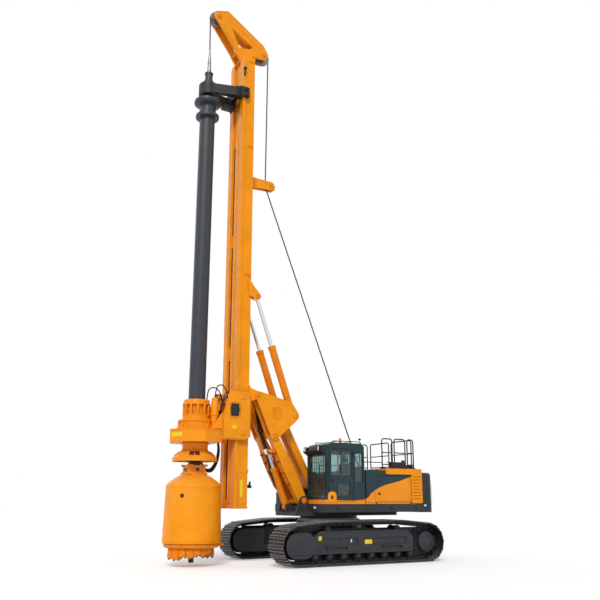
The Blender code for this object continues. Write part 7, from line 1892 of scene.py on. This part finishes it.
@dataclass
class RotaryDrive:
    """The faceted gearbox housing, its motors, the carriage's dress and the drive's hoses."""

    rear_x: float = 3.7205
    rear_half: float = 0.555
    radius: float = 0.748
    low: float = 3.191
    high: float = 3.539
    collar: float = 0.495
    collar_top: float = 3.799

    def build(self) -> None:
        """Make the drive's pieces."""
        self.housing()
        self.motors()
        self.carriage_dress()
        self.hoses()

    def outline(self, inset: float = 0.0) -> list[tuple[float, float]]:
        """Return the housing's corners in x and y.

        Args:
            inset: how far inside the outline they lie.
        """
        reach = self.radius - inset
        arc = [(KELLY_X + reach * math.cos(math.radians(a)), reach * math.sin(math.radians(a)))
               for a in (-90, -45, 0, 45, 90)]
        return [(self.rear_x, -self.rear_half + inset)] + arc + [(self.rear_x, self.rear_half - inset)]

    def housing(self) -> None:
        """Make the housing with its two flanges, ribbed collar, bolts and blank plate."""
        shape = Shape()
        shape.plate(self.outline(0.012), Axis.Z, self.low + 0.02, self.high - 0.03, 0.006)
        shape.plate(self.outline(), Axis.Z, self.high - 0.034, self.high, 0.005)
        shape.plate(self.outline(), Axis.Z, self.low, self.low + 0.026, 0.005)
        shape.spun([(0.325, self.high - 0.01), (self.collar, self.high - 0.01), (self.collar, self.high + 0.05),
                    (self.collar - 0.03, self.high + 0.06), (self.collar - 0.03, self.collar_top - 0.05),
                    (self.collar, self.collar_top - 0.04), (self.collar, self.collar_top), (0.325, self.collar_top)],
                   ON_KELLY, Axis.Z, 56)
        for k in range(16):
            turn = math.tau * k / 16
            reach = self.collar - 0.018
            spot = Vector((KELLY_X + reach * math.cos(turn), reach * math.sin(turn), 0))
            shape.rod(spot + Vector((0, 0, self.high + 0.05)), spot + Vector((0, 0, self.collar_top - 0.03)), 0.016, 8)
        shape.piece("gearbox_housing", ENAMEL, Body.DRIVE, ("rotary_gearbox",))
        heads = Shape()
        corners = self.outline(0.035)
        for first, second in zip(corners, corners[1:]):
            a, b = Vector((*first, self.high)), Vector((*second, self.high))
            count = max(2, round((b - a).length / 0.14))
            heads.bolts([a.lerp(b, k / count) for k in range(1, count + 1)], (0, 0, 1), 0.014, 0.012)
        heads.ring_of_bolts((KELLY_X, 0, self.high + 0.05), Axis.Z, self.collar + 0.03, 20, 0.013, 0.012, start=0.1)
        heads.ring_of_bolts((KELLY_X, 0, self.low), Axis.Z, 0.66, 24, 0.013, 0.011, back=True)
        heads.piece("gearbox_bolts", CAST_ENAMEL, Body.DRIVE)
        plate = Shape()
        first, second = [Vector((*corner, 0)) for corner in self.outline(0.012)[3:5]]
        along = (second - first).normalized()
        out = Vector((along.y, -along.x, 0))
        middle = first.lerp(second, 0.5) + Vector((0, 0, 3.39))
        turn = Matrix((along, Vector((0, 0, 1)), out)).transposed().to_4x4()
        plate.plate(soft_box(-0.19, 0.19, -0.055, 0.055, 0.012), Axis.Z, 0.0005, 0.0025, 0.0006)
        plate.turned(Matrix.Translation(middle) @ turn).piece("gearbox_blank_plate", BRIGHT_LABEL, Body.DRIVE)

    def motors(self) -> None:
        """Make the two hydraulic motors on the housing."""
        shape = Shape()
        for side in (-1, 1):
            x, y = 3.86, side * 0.30
            shape.spun([(0, 3.53), (0.130, 3.53), (0.130, 3.60), (0.112, 3.62), (0.112, 3.92), (0.130, 3.94),
                        (0.130, 4.00), (0.105, 4.02), (0.105, 4.30), (0.085, 4.34), (0.085, 4.42), (0, 4.44)],
                       (x, y, 0), Axis.Z, 32)
            shape.box((x - 0.125, y - 0.060, 4.06), (x - 0.085, y + 0.060, 4.24), 0.008)
            shape.box((x - 0.070, y - 0.070, 4.30), (x + 0.070, y + 0.070, 4.40), 0.012)
            shape.ring_of_bolts((x, y, 3.60), Axis.Z, 0.119, 10, 0.009, 0.012)
            shape.ring_of_bolts((x, y, 4.00), Axis.Z, 0.118, 10, 0.009, 0.010)
        shape.piece("drive_motors", ENAMEL, Body.DRIVE)
        unions = Shape()
        for side in (-1, 1):
            for lift in (4.10, 4.20):
                unions.rod((3.745, side * 0.30, lift), (3.690, side * 0.30, lift), 0.024, 6)
            unions.rod((3.86, side * 0.30, 4.40), (3.86, side * 0.30, 4.449), 0.022, 6)
        unions.piece("motor_unions", ZINC, Body.DRIVE)

    def carriage_dress(self) -> None:
        """Make the carriage's edge strips, guide pads, window frame, gussets, bolts and blank plate."""
        shape = Shape()
        edge = [(2.90, 3.40), (3.00, 3.30), (3.70, 3.30), (3.70, 3.87), (3.49, 4.64), (2.99, 4.64), (2.90, 4.55)]
        shape.ring_plate(edge, Axis.Y, 0.5755, 0.5835, 0.040, 0.002)
        for z in (3.40, 4.40):
            shape.box((3.02, 0.5755, z), (3.20, 0.592, z + 0.17), 0.005)
        shape.ring_plate(soft_box(3.205, 3.515, 3.895, 4.305, 0.045), Axis.Y, 0.5755, 0.590, 0.034, 0.003)
        shape.plate([(3.50, 3.56), (3.69, 3.56), (3.69, 3.84), (3.56, 4.30), (3.50, 4.40)], Axis.Y, 0.5755, 0.5805,
                    0.002)
        shape.mirror().piece("carriage_side_dress", ENAMEL, Body.DRIVE)
        gussets = Shape()
        gussets.plate([(3.722, 3.560), (4.02, 3.560), (3.722, 4.02)], Axis.Y, 0.500, 0.545, 0.004)
        gussets.mirror()
        gussets.plate(soft_box(-0.50, 0.50, 3.60, 3.82, 0.02), Axis.X, 3.7205, 3.732, 0.003)
        gussets.piece("carriage_gussets", ENAMEL, Body.DRIVE)
        heads = Shape()
        heads.bolts([(x, 0.592, z + lift) for x in (3.05, 3.11, 3.17) for z in (3.40, 4.40) for lift in (0.04, 0.13)],
                    (0, 1, 0), 0.012, 0.010)
        heads.bolts([(x, 0.5835, 3.32) for x in (3.28, 3.38, 3.48, 3.58)], (0, 1, 0), 0.013, 0.010)
        heads.mirror().piece("carriage_bolts", BARE_STEEL, Body.DRIVE)
        opening = Shape()
        opening.plate(soft_box(3.235, 3.485, 3.925, 4.275, 0.03), Axis.Y, 0.5752, 0.5775, 0.0004)
        opening.mirror().piece("carriage_window_shadows", POWDER, Body.DRIVE)
        label = Shape()
        label.plate(soft_box(3.30, 3.44, 3.58, 3.67, 0.01), Axis.Y, 0.5755, 0.5775, 0.0004)
        label.piece("carriage_blank_plate", BRIGHT_LABEL, Body.DRIVE)

    def hoses(self) -> None:
        """Make the hose loop under the housing and the short hoses on top."""
        shape = Shape()
        route = [(3.50, -0.24, 3.285), (3.46, -0.26, 3.05), (3.48, -0.34, 2.74), (3.60, -0.46, 2.50),
                 (3.76, -0.58, 2.56), (3.84, -0.62, 2.85), (3.86, -0.60, 3.195)]
        for lift, side in ((0.0, 0.0), (0.045, 0.050), (0.010, 0.100), (-0.040, 0.045)):
            sag = lift * 0.8 - side * 0.3
            shape.pipe(flowing([(x + lift * 0.6, y - side * 0.35 + lift * 0.3, z + (0.0 if k in (0, 6) else sag))
                                for k, (x, y, z) in enumerate(route)], 7), 0.021, 10)
        shape.piece("drive_hose_loop", RUBBER, Body.DRIVE)
        top = Shape()
        for side in (-1, 1):
            top.pipe(flowing([(3.42, side * 0.20, 4.36), (3.47, side * 0.22, 4.62), (3.62, side * 0.27, 4.80),
                              (3.80, side * 0.30, 4.74), (3.86, side * 0.30, 4.445)], 7), 0.017, 10)
            top.pipe(flowing([(3.40, side * 0.26, 4.36), (3.43, side * 0.30, 4.58), (3.54, side * 0.33, 4.60),
                              (3.62, side * 0.32, 4.38), (3.69, side * 0.30, 4.20)], 7), 0.017, 10)
            top.pipe(flowing([(3.40, side * 0.14, 4.36), (3.45, side * 0.18, 4.50), (3.55, side * 0.24, 4.40),
                              (3.69, side * 0.30, 4.10)], 7), 0.015, 10)
        top.piece("drive_top_hoses", RUBBER, Body.DRIVE)


@dataclass
class DriveSleeve:
    """The turning sleeve: bolted cage above the housing, collar and windowed skirt below."""

    bore: float = 0.2515
    cage: float = 0.384
    cage_low: float = 3.8015
    cage_high: float = 4.369
    posts: int = 12
    windows: int = 8
    collar_rim: tuple[float, float] = (0.372, 2.985)
    skirt_rim: tuple[float, float] = (0.612, 2.782)

    def build(self) -> None:
        """Make the sleeve's pieces."""
        body = Shape()
        body.spun([(0.305, self.cage_low), (self.cage, self.cage_low), (self.cage, self.cage_low + 0.045),
                   (0.372, self.cage_low + 0.055), (0.372, self.cage_low + 0.110), (self.cage, self.cage_low + 0.120),
                   (self.cage, self.cage_low + 0.150), (0.305, self.cage_low + 0.150)], ON_KELLY, Axis.Z, 48)
        body.spun([(0.255, self.cage_high - 0.140), (self.cage, self.cage_high - 0.140),
                   (self.cage, self.cage_high - 0.105), (0.350, self.cage_high - 0.095), (0.330, self.cage_high),
                   (self.bore, self.cage_high)], ON_KELLY, Axis.Z, 48)
        for k in range(self.posts):
            turn = about_kelly(math.tau * (k + 0.5) / self.posts)
            body.box((0.335, -0.024, self.cage_low + 0.14), (0.382, 0.024, self.cage_high - 0.13), 0.008, 2, turn)
            body.box((0.300, -0.012, self.cage_high - 0.10), (0.360, 0.012, self.cage_high - 0.02), 0.004, 1, turn)
        body.ring_of_bolts((KELLY_X, 0, self.cage_low + 0.045), Axis.Z, 0.377, 24, 0.009, 0.010, start=0.1)
        body.piece("sleeve_cage", ENAMEL, Body.SLEEVE, ("drive_sleeve",))
        inner = Shape()
        inner.spun([(self.bore, 2.70), (0.300, 2.70), (0.300, 3.10), (0.308, 3.12), (0.308, self.cage_high - 0.02),
                    (self.bore, self.cage_high - 0.02)], ON_KELLY, Axis.Z, 40)
        inner.piece("sleeve_tube", CAST_ENAMEL, Body.SLEEVE)
        self.skirt()

    def skirt(self) -> None:
        """Make the collar, the flared skirt with the rims of its square windows, and black plates within the rims that
        paint the windows' shade.
        """
        shape = Shape()
        shape.spun([(0.305, 3.178), (0.368, 3.178), (0.368, 3.150), (0.350, 3.140), (0.350, 3.010), (0.366, 3.000),
                    self.collar_rim, self.skirt_rim, (0.613, 2.692), (0.590, 2.692), (0.588, 2.775), (0.360, 2.962),
                    (0.305, 2.975)], ON_KELLY, Axis.Z, 56)
        shape.ring_of_bolts((KELLY_X, 0, 3.150), Axis.Z, 0.359, 16, 0.010, 0.009, back=True)
        flare = beside([b - a for a, b in zip(self.collar_rim, self.skirt_rim)]).normalized()
        out = Vector((-flare.z, 0, flare.x))
        # Black plates inside the window rims paint the shade of the windows' openings.
        darks = Shape()
        local = Matrix((Vector((0, 1, 0)), flare, out)).transposed().to_4x4()
        spot = beside(self.collar_rim) + flare * 0.150 + out * 0.0008
        for k in range(self.windows):
            angle = math.radians(90 * (k // 2) + (8.6 if k % 2 else -8.6) + 68)
            turn = about_kelly(angle) @ Matrix.Translation(spot) @ local
            pane = Shape()
            pane.plate(soft_box(-0.058, 0.058, -0.074, 0.074, 0.008), Axis.Z, -0.020, 0.012, 0.0004)
            darks.stamp(pane, [turn])
            rim = Shape()
            rim.ring_plate(soft_box(-0.067, 0.067, -0.084, 0.084, 0.012), Axis.Z, -0.020, 0.016, 0.010, 0.002)
            shape.stamp(rim, [turn])
        shape.piece("sleeve_skirt", ENAMEL, Body.SLEEVE)
        darks.piece("skirt_window_shade", POWDER, Body.SLEEVE)


@dataclass
class Kelly:
    """The kelly's tube with its flanges, drive keys and bolts, and the dress of its guide."""

    radius: float = 0.235
    keys: int = 6

    def build(self) -> None:
        """Make the kelly's keys, tube and flange bolts, and dress its guide."""
        keys = Shape()
        for k in range(self.keys):
            turn = about_kelly(math.tau * k / self.keys + 0.2)
            keys.box((0.222, -0.030, 3.06), (0.2425, 0.030, 12.94), 0.006, 1, turn)
        keys.piece("kelly_drive_keys", SLATE, Body.KELLY)
        bar = Shape()
        bar.spun([(0, 2.72), (0.170, 2.72), (0.170, 3.00), (0.222, 3.00), (self.radius, 3.013), (self.radius, 13.11),
                  (0.335, 13.115), (0.360, 13.135), (0.360, 13.215), (0.335, 13.24), (0.252, 13.25), (0.252, 13.54),
                  (0.385, 13.585), (0.420, 13.62), (0.420, 13.695), (0.395, 13.72), (0.265, 13.75), (0.165, 13.86),
                  (0.130, 13.885), (0.130, 14.335), (0, 14.335)], ON_KELLY, Axis.Z, 64)
        bar.box((KELLY_X - 0.135, -0.135, 2.44), (KELLY_X + 0.135, 0.135, 2.73), 0.010)
        bar.piece("kelly_tube", SLATE, Body.KELLY, ("kelly_bar",))
        heads = Shape()
        heads.ring_of_bolts((KELLY_X, 0, 13.72), Axis.Z, 0.365, 16, 0.015, 0.012)
        heads.ring_of_bolts((KELLY_X, 0, 13.118), Axis.Z, 0.315, 16, 0.013, 0.010, back=True)
        heads.ring_of_bolts((KELLY_X, 0, 13.238), Axis.Z, 0.310, 16, 0.013, 0.010)
        heads.piece("kelly_flange_bolts", BARE_STEEL, Body.KELLY)
        self.guide_dress()

    def guide_dress(self) -> None:
        """Make the guide's lower pad, rollers, bolts and ring lips."""
        shape = Shape()
        shape.box((3.402, -0.22, 13.64), (3.440, 0.22, 13.922), 0.006)
        shape.box((3.438, -0.15, 13.645), (3.785, 0.15, 13.800), 0.016)
        for side in (-1, 1):
            shape.plate([(3.44, 13.80), (3.72, 13.80), (3.44, 13.919)], Axis.Y,
                        side * 0.09 - 0.012, side * 0.09 + 0.012, 0.002)
        shape.piece("guide_lower_pad", POWDER, Body.HANGER)
        rollers = Shape()
        for side in (-1, 1):
            for z in (13.99, 14.19):
                rollers.rod((3.20, side * 0.578, z), (3.20, side * 0.612, z), 0.058, 20, bevel=0.005)
                rollers.rod((3.20, side * 0.610, z), (3.20, side * 0.625, z), 0.022, 6)
            rollers.box((3.40, side * 0.40 - 0.05, 14.2605), (3.50, side * 0.40 + 0.05, 14.30), 0.010)
        rollers.piece("guide_rollers", POWDER, Body.HANGER)
        lips = Shape()
        lips.spun([(0.20, 14.2605), (0.236, 14.2605), (0.236, 14.262), (0.296, 14.262), (0.290, 14.285),
                   (0.243, 14.292), (0.243, 14.30), (0.20, 14.291)], ON_KELLY, Axis.Z, 40)
        lips.spun([(0.200, 13.895), (0.290, 13.902), (0.298, 13.919), (0.200, 13.919)], ON_KELLY, Axis.Z, 40)
        lips.ring_of_bolts((KELLY_X, 0, 14.286), Axis.Z, 0.268, 12, 0.012, 0.012)
        lips.piece("guide_ring_lips", SLATE, Body.HANGER)


@dataclass
class Bucket:
    """The drilling bucket: shell, bands, ribs, bolts, port, floor and cutting scoops."""

    foot: float = 0.63
    port: float = 1.79
    shoulder: float = 2.05
    cone_top: float = 2.34
    neck_half: float = 0.268
    bottom_radius: float = 0.78
    top_radius: float = 0.74
    cone_radius: float = 0.742
    neck_radius: float = 0.265
    rib_foot: float = 0.8

    def at(self, z: float) -> float:
        """Return the shell's radius at a height."""
        rise, height = z - self.foot, self.shoulder - self.foot
        return self.bottom_radius + (self.top_radius - self.bottom_radius) * rise / height

    def build(self) -> None:
        """Make the bucket's pieces."""
        self.shell_dress()
        self.cone_dress()
        self.floor_dress()

    def shell_dress(self) -> None:
        """Make the shell with its cone and neck, the bands, seam bead, ribs, bolts and round port."""
        shell = Shape()
        shell.spun([(0, 2.32), (0.28, 2.32), (0.60, 2.12), (0.705, 2.03), (0.742, 0.64), (0.742, 0.582), (0.774, 0.581),
                    (self.bottom_radius, 0.592), (self.bottom_radius, self.foot), (self.top_radius, self.shoulder),
                    (0.730, 2.075), (0.640, 2.165), (0.480, 2.275), (0.330, 2.345), (0.270, 2.36), (0, 2.36)], ON_KELLY,
                   Axis.Z, 96)
        shell.plate(soft_box(KELLY_X - 0.250, KELLY_X + 0.250, -0.250, 0.250, 0.050), Axis.Z, 2.33, 2.590, 0.006)
        shell.piece("bucket_shell", ENAMEL, Body.KELLY, ("drilling_bucket",))
        shape = Shape()
        for low, high, proud in ((1.985, 2.015, 0.004), (0.985, 1.005, 0.0035), (0.60, 0.64, 0.0)):
            shape.spun([(self.at(low) - 0.004, low), (self.at(low) + proud, low), (self.at(high) + proud, high),
                        (self.at(high) - 0.004, high)], ON_KELLY, Axis.Z, 96)
        wall = self.at(self.rib_foot)
        for k in range(8):
            for spread in (-10.5, 10.5):
                turn = about_kelly(math.radians(22.5 + 45 * k + spread))
                shape.box((wall - 0.030, -0.008, 0.640), (wall + 0.002, 0.008, 0.990), 0.002, 1, turn)
        seam = about_kelly(math.radians(118))
        shape.box((self.at(1.6) - 0.02, -0.006, 1.03), (self.at(1.6) + 0.004, 0.006, 1.98), 0.002, 1, seam)
        port = about_kelly(math.radians(46), self.port)
        face = self.at(self.port)
        rim = Shape()
        rim.spun([(0.052, face - 0.012), (0.066, face - 0.012), (0.066, face + 0.004), (0.056, face + 0.006)],
                 (0, 0, 0), Axis.X, 32)
        shape.stamp(rim, [port])
        for k in range(8):
            turn = math.radians(22.5 + 45 * k)
            way = Vector((math.cos(turn), math.sin(turn), 0))
            across = Vector((-way.y, way.x, 0))
            for side in (-0.11, 0.11):
                for z in (0.70, 0.92):
                    spot = Vector((KELLY_X, 0, z)) + way * (wall + 0.004) + across * side
                    shape.bolts([spot], way, 0.013, 0.006)
        shape.piece("bucket_bands", ENAMEL, Body.KELLY)
        hole = Shape()
        hole.spun([(0, face - 0.010), (0.054, face - 0.010), (0.054, face + 0.0015), (0, face + 0.0015)], (0, 0, 0),
                  Axis.X, 28)
        hole.turned(port).piece("bucket_port_shadow", POWDER, Body.KELLY)

    def cone_dress(self) -> None:
        """Make the cone's ribs, the neck's collars and lugs, and black discs that paint the shade of the cone's holes
        and the neck's pin holes.
        """
        shape = Shape()
        slope = Vector((self.neck_radius - self.cone_radius, 0, self.cone_top - self.shoulder))
        for k in range(8):
            turn = about_kelly(math.radians(45 * k + 8))
            rib = Shape()
            rib.plate([(0.725, 2.035), (0.725, 2.062), (0.420, 2.292), (0.290, 2.372), (0.275, 2.33)], Axis.Y, -0.014,
                      0.014, 0.003)
            shape.stamp(rib, [turn])
        half = self.neck_half
        for k in range(4):
            turn = about_kelly(math.radians(90 * k))
            shape.box((half - 0.02, -0.255, 2.345), (half + 0.022, 0.255, 2.400), 0.006, 2, turn)
            shape.box((half - 0.02, -0.255, 2.555), (half + 0.022, -0.150, 2.609), 0.006, 2, turn)
            shape.box((half - 0.02, 0.150, 2.555), (half + 0.022, 0.255, 2.609), 0.006, 2, turn)
        shape.piece("bucket_cone_ribs", ENAMEL, Body.KELLY)
        # Black discs on the cone and the neck paint the shade of holes; the shell under them is not cut.
        spots = Shape()
        along = slope.normalized()
        out = Vector((-along.z, 0, along.x)) * -1
        for k in range(8):
            angle = math.radians(45 * k + 30)
            for share in (0.28, 0.62):
                spot = Vector((self.cone_radius, 0, self.shoulder)) + slope * share
                turn = about_kelly(angle + (0.16 if share > 0.5 else -0.1))
                disc = Shape()
                disc.rod(spot - out * 0.006, spot + out * 0.0015, 0.030, 16)
                spots.stamp(disc, [turn])
        for k in range(4):
            turn = about_kelly(math.radians(90 * k))
            disc = Shape()
            disc.rod((half - 0.01, 0, 2.475), (half - 0.0015, 0, 2.475), 0.045, 20)
            spots.stamp(disc, [turn])
        spots.piece("bucket_cone_hole_shade", POWDER, Body.KELLY)

    def floor_dress(self) -> None:
        """Make the floor disc and its hinge, the two jagged cutting scoops, their teeth and the pilot."""
        floor = Shape()
        floor.spun([(0, 0.19), (0.085, 0.19), (0.150, 0.34), (0.280, 0.44), (0.690, 0.465), (0.740, 0.500),
                    (0.740, 0.568), (0.730, 0.574), (0, 0.574)], ON_KELLY, Axis.Z, 72)
        floor.rod((KELLY_X - 0.82, -0.168, 0.53), (KELLY_X - 0.82, 0.168, 0.53), 0.034, 20, bevel=0.004)
        floor.box((KELLY_X - 0.82, -0.12, 0.503), (KELLY_X - 0.66, 0.12, 0.557), 0.008)
        floor.piece("floor_disc", CAST_ENAMEL, Body.FLOOR, ("bucket_floor",))
        scoops, tips = Shape(), Shape()
        for half_turn in (10, 190):
            for k in range(7):
                tall = (0.315 - 0.022 * k) * (1.0 if k % 2 else 0.86)
                turn = (about_kelly(math.radians(half_turn + 18 * k)) @ Matrix.Translation((0.56 - 0.012 * k, 0, 0.48))
                        @ Matrix.Rotation(math.radians(-8 + 5 * k), 4, "X"))
                scoops.box((-0.115, -0.100, -tall), (0.105, 0.100, 0.0), 0.045, 3, turn)
                tips.box((0.030, -0.060, -tall - 0.035), (0.090, -0.010, -tall + 0.04), 0.012, 1, turn)
                tips.box((-0.070, 0.010, -tall - 0.025), (-0.010, 0.055, -tall + 0.04), 0.012, 1, turn)
        scoops.piece("cutting_scoops", CAST_ENAMEL, Body.FLOOR)
        tips.piece("cutting_tips", RUBBED_STEEL, Body.FLOOR)
        pilot = Shape()
        pilot.spun([(0, 0.082), (0.058, 0.082), (0.070, 0.095), (0.070, 0.40), (0, 0.40)], ON_KELLY, Axis.Z, 32)
        pilot.piece("pilot_sleeve", POWDER, Body.FLOOR)


@dataclass
class Solids:
    """Finishes of the CAD nodes whose shapes stay."""

    finishes: dict[str, Finish] = field(default_factory=lambda: {
        "left_track_frame": CHASSIS, "right_track_frame": CHASSIS, "left_idler": SHOE_STEEL, "right_idler": SHOE_STEEL,
        "left_sprocket": CHASSIS, "right_sprocket": CHASSIS, "left_track": SHOE_STEEL, "right_track": SHOE_STEEL,
        "carbody": POWDER, "slew_frame": CHASSIS, "engine_house": LIVERY, "service_door": LIVERY,
        "rear_cowl": ENAMEL, "counterweight": COUNTER, "cab_shell": LIVERY, "cab_door": LIVERY,
        "windscreen": GLASS, "rear_window": GLASS, "quarter_window": GLASS, "side_window": GLASS,
        "door_window": GLASS, "door_low_window": GLASS, "operator_seat": SEAT_CLOTH, "cab_console": TRIM,
        "cab_visor": POWDER, "beacon": AMBER, "handrails": POWDER, "air_box": POWDER, "exhaust_stack": POWDER,
        "engine_block": POWDER, "fuel_tank": DARK_ENAMEL, "step_box": POWDER, "winch_drum": BARE_STEEL,
        "boom": ENAMEL, "rear_link": ENAMEL, "mast_triangle": ENAMEL, "luff_barrel": CAST_ENAMEL, "luff_rod": CHROME,
        "left_mast_barrel": CAST_ENAMEL, "right_mast_barrel": CAST_ENAMEL, "left_mast_rod": CHROME,
        "right_mast_rod": CHROME, "mast": ENAMEL, "mast_head": ENAMEL, "front_sheave": BARE_STEEL,
        "rear_sheave": BARE_STEEL, "arm_sheave": CAST_ENAMEL, "drive_carriage": ENAMEL, "rotary_gearbox": ENAMEL,
        "drive_sleeve": CAST_ENAMEL, "kelly_bar": SLATE, "kelly_guide": POWDER, "rope_swivel": SLATE,
        "drilling_bucket": ENAMEL, "bucket_floor": CAST_ENAMEL,
    })

    def dress(self, nodes: dict[str, bpy.types.Object]) -> None:
        """Give each CAD node its finish.

        Args:
            nodes: the frame's nodes by name.
        """
        for name, item in nodes.items():
            finish = self.finishes.get(name)
            if finish is None:
                log.warning("no finish for %s", name)
                continue
            for place in item.material_slots:
                place.material = finish.material()
            if not item.material_slots:
                item.data.materials.append(finish.material())


def main() -> None:
    """Build the rig's looks in order."""
    logging.basicConfig(level=logging.INFO, format="%(message)s")
    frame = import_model()
    Studio().build()
    Solids().dress(frame["nodes"])
    for assembly in (TrackLoop(1), TrackLoop(-1), SlewRing(), LowerDress(), Cab(), House(), Counterweight(),
                     Handrails(), Winch(), Linkage(), MastDress(), HeadDress(), Ropes(), RotaryDrive(), DriveSleeve(),
                     Kelly(), Bucket()):
        assembly.build()


if __name__ == "__main__":
    main()
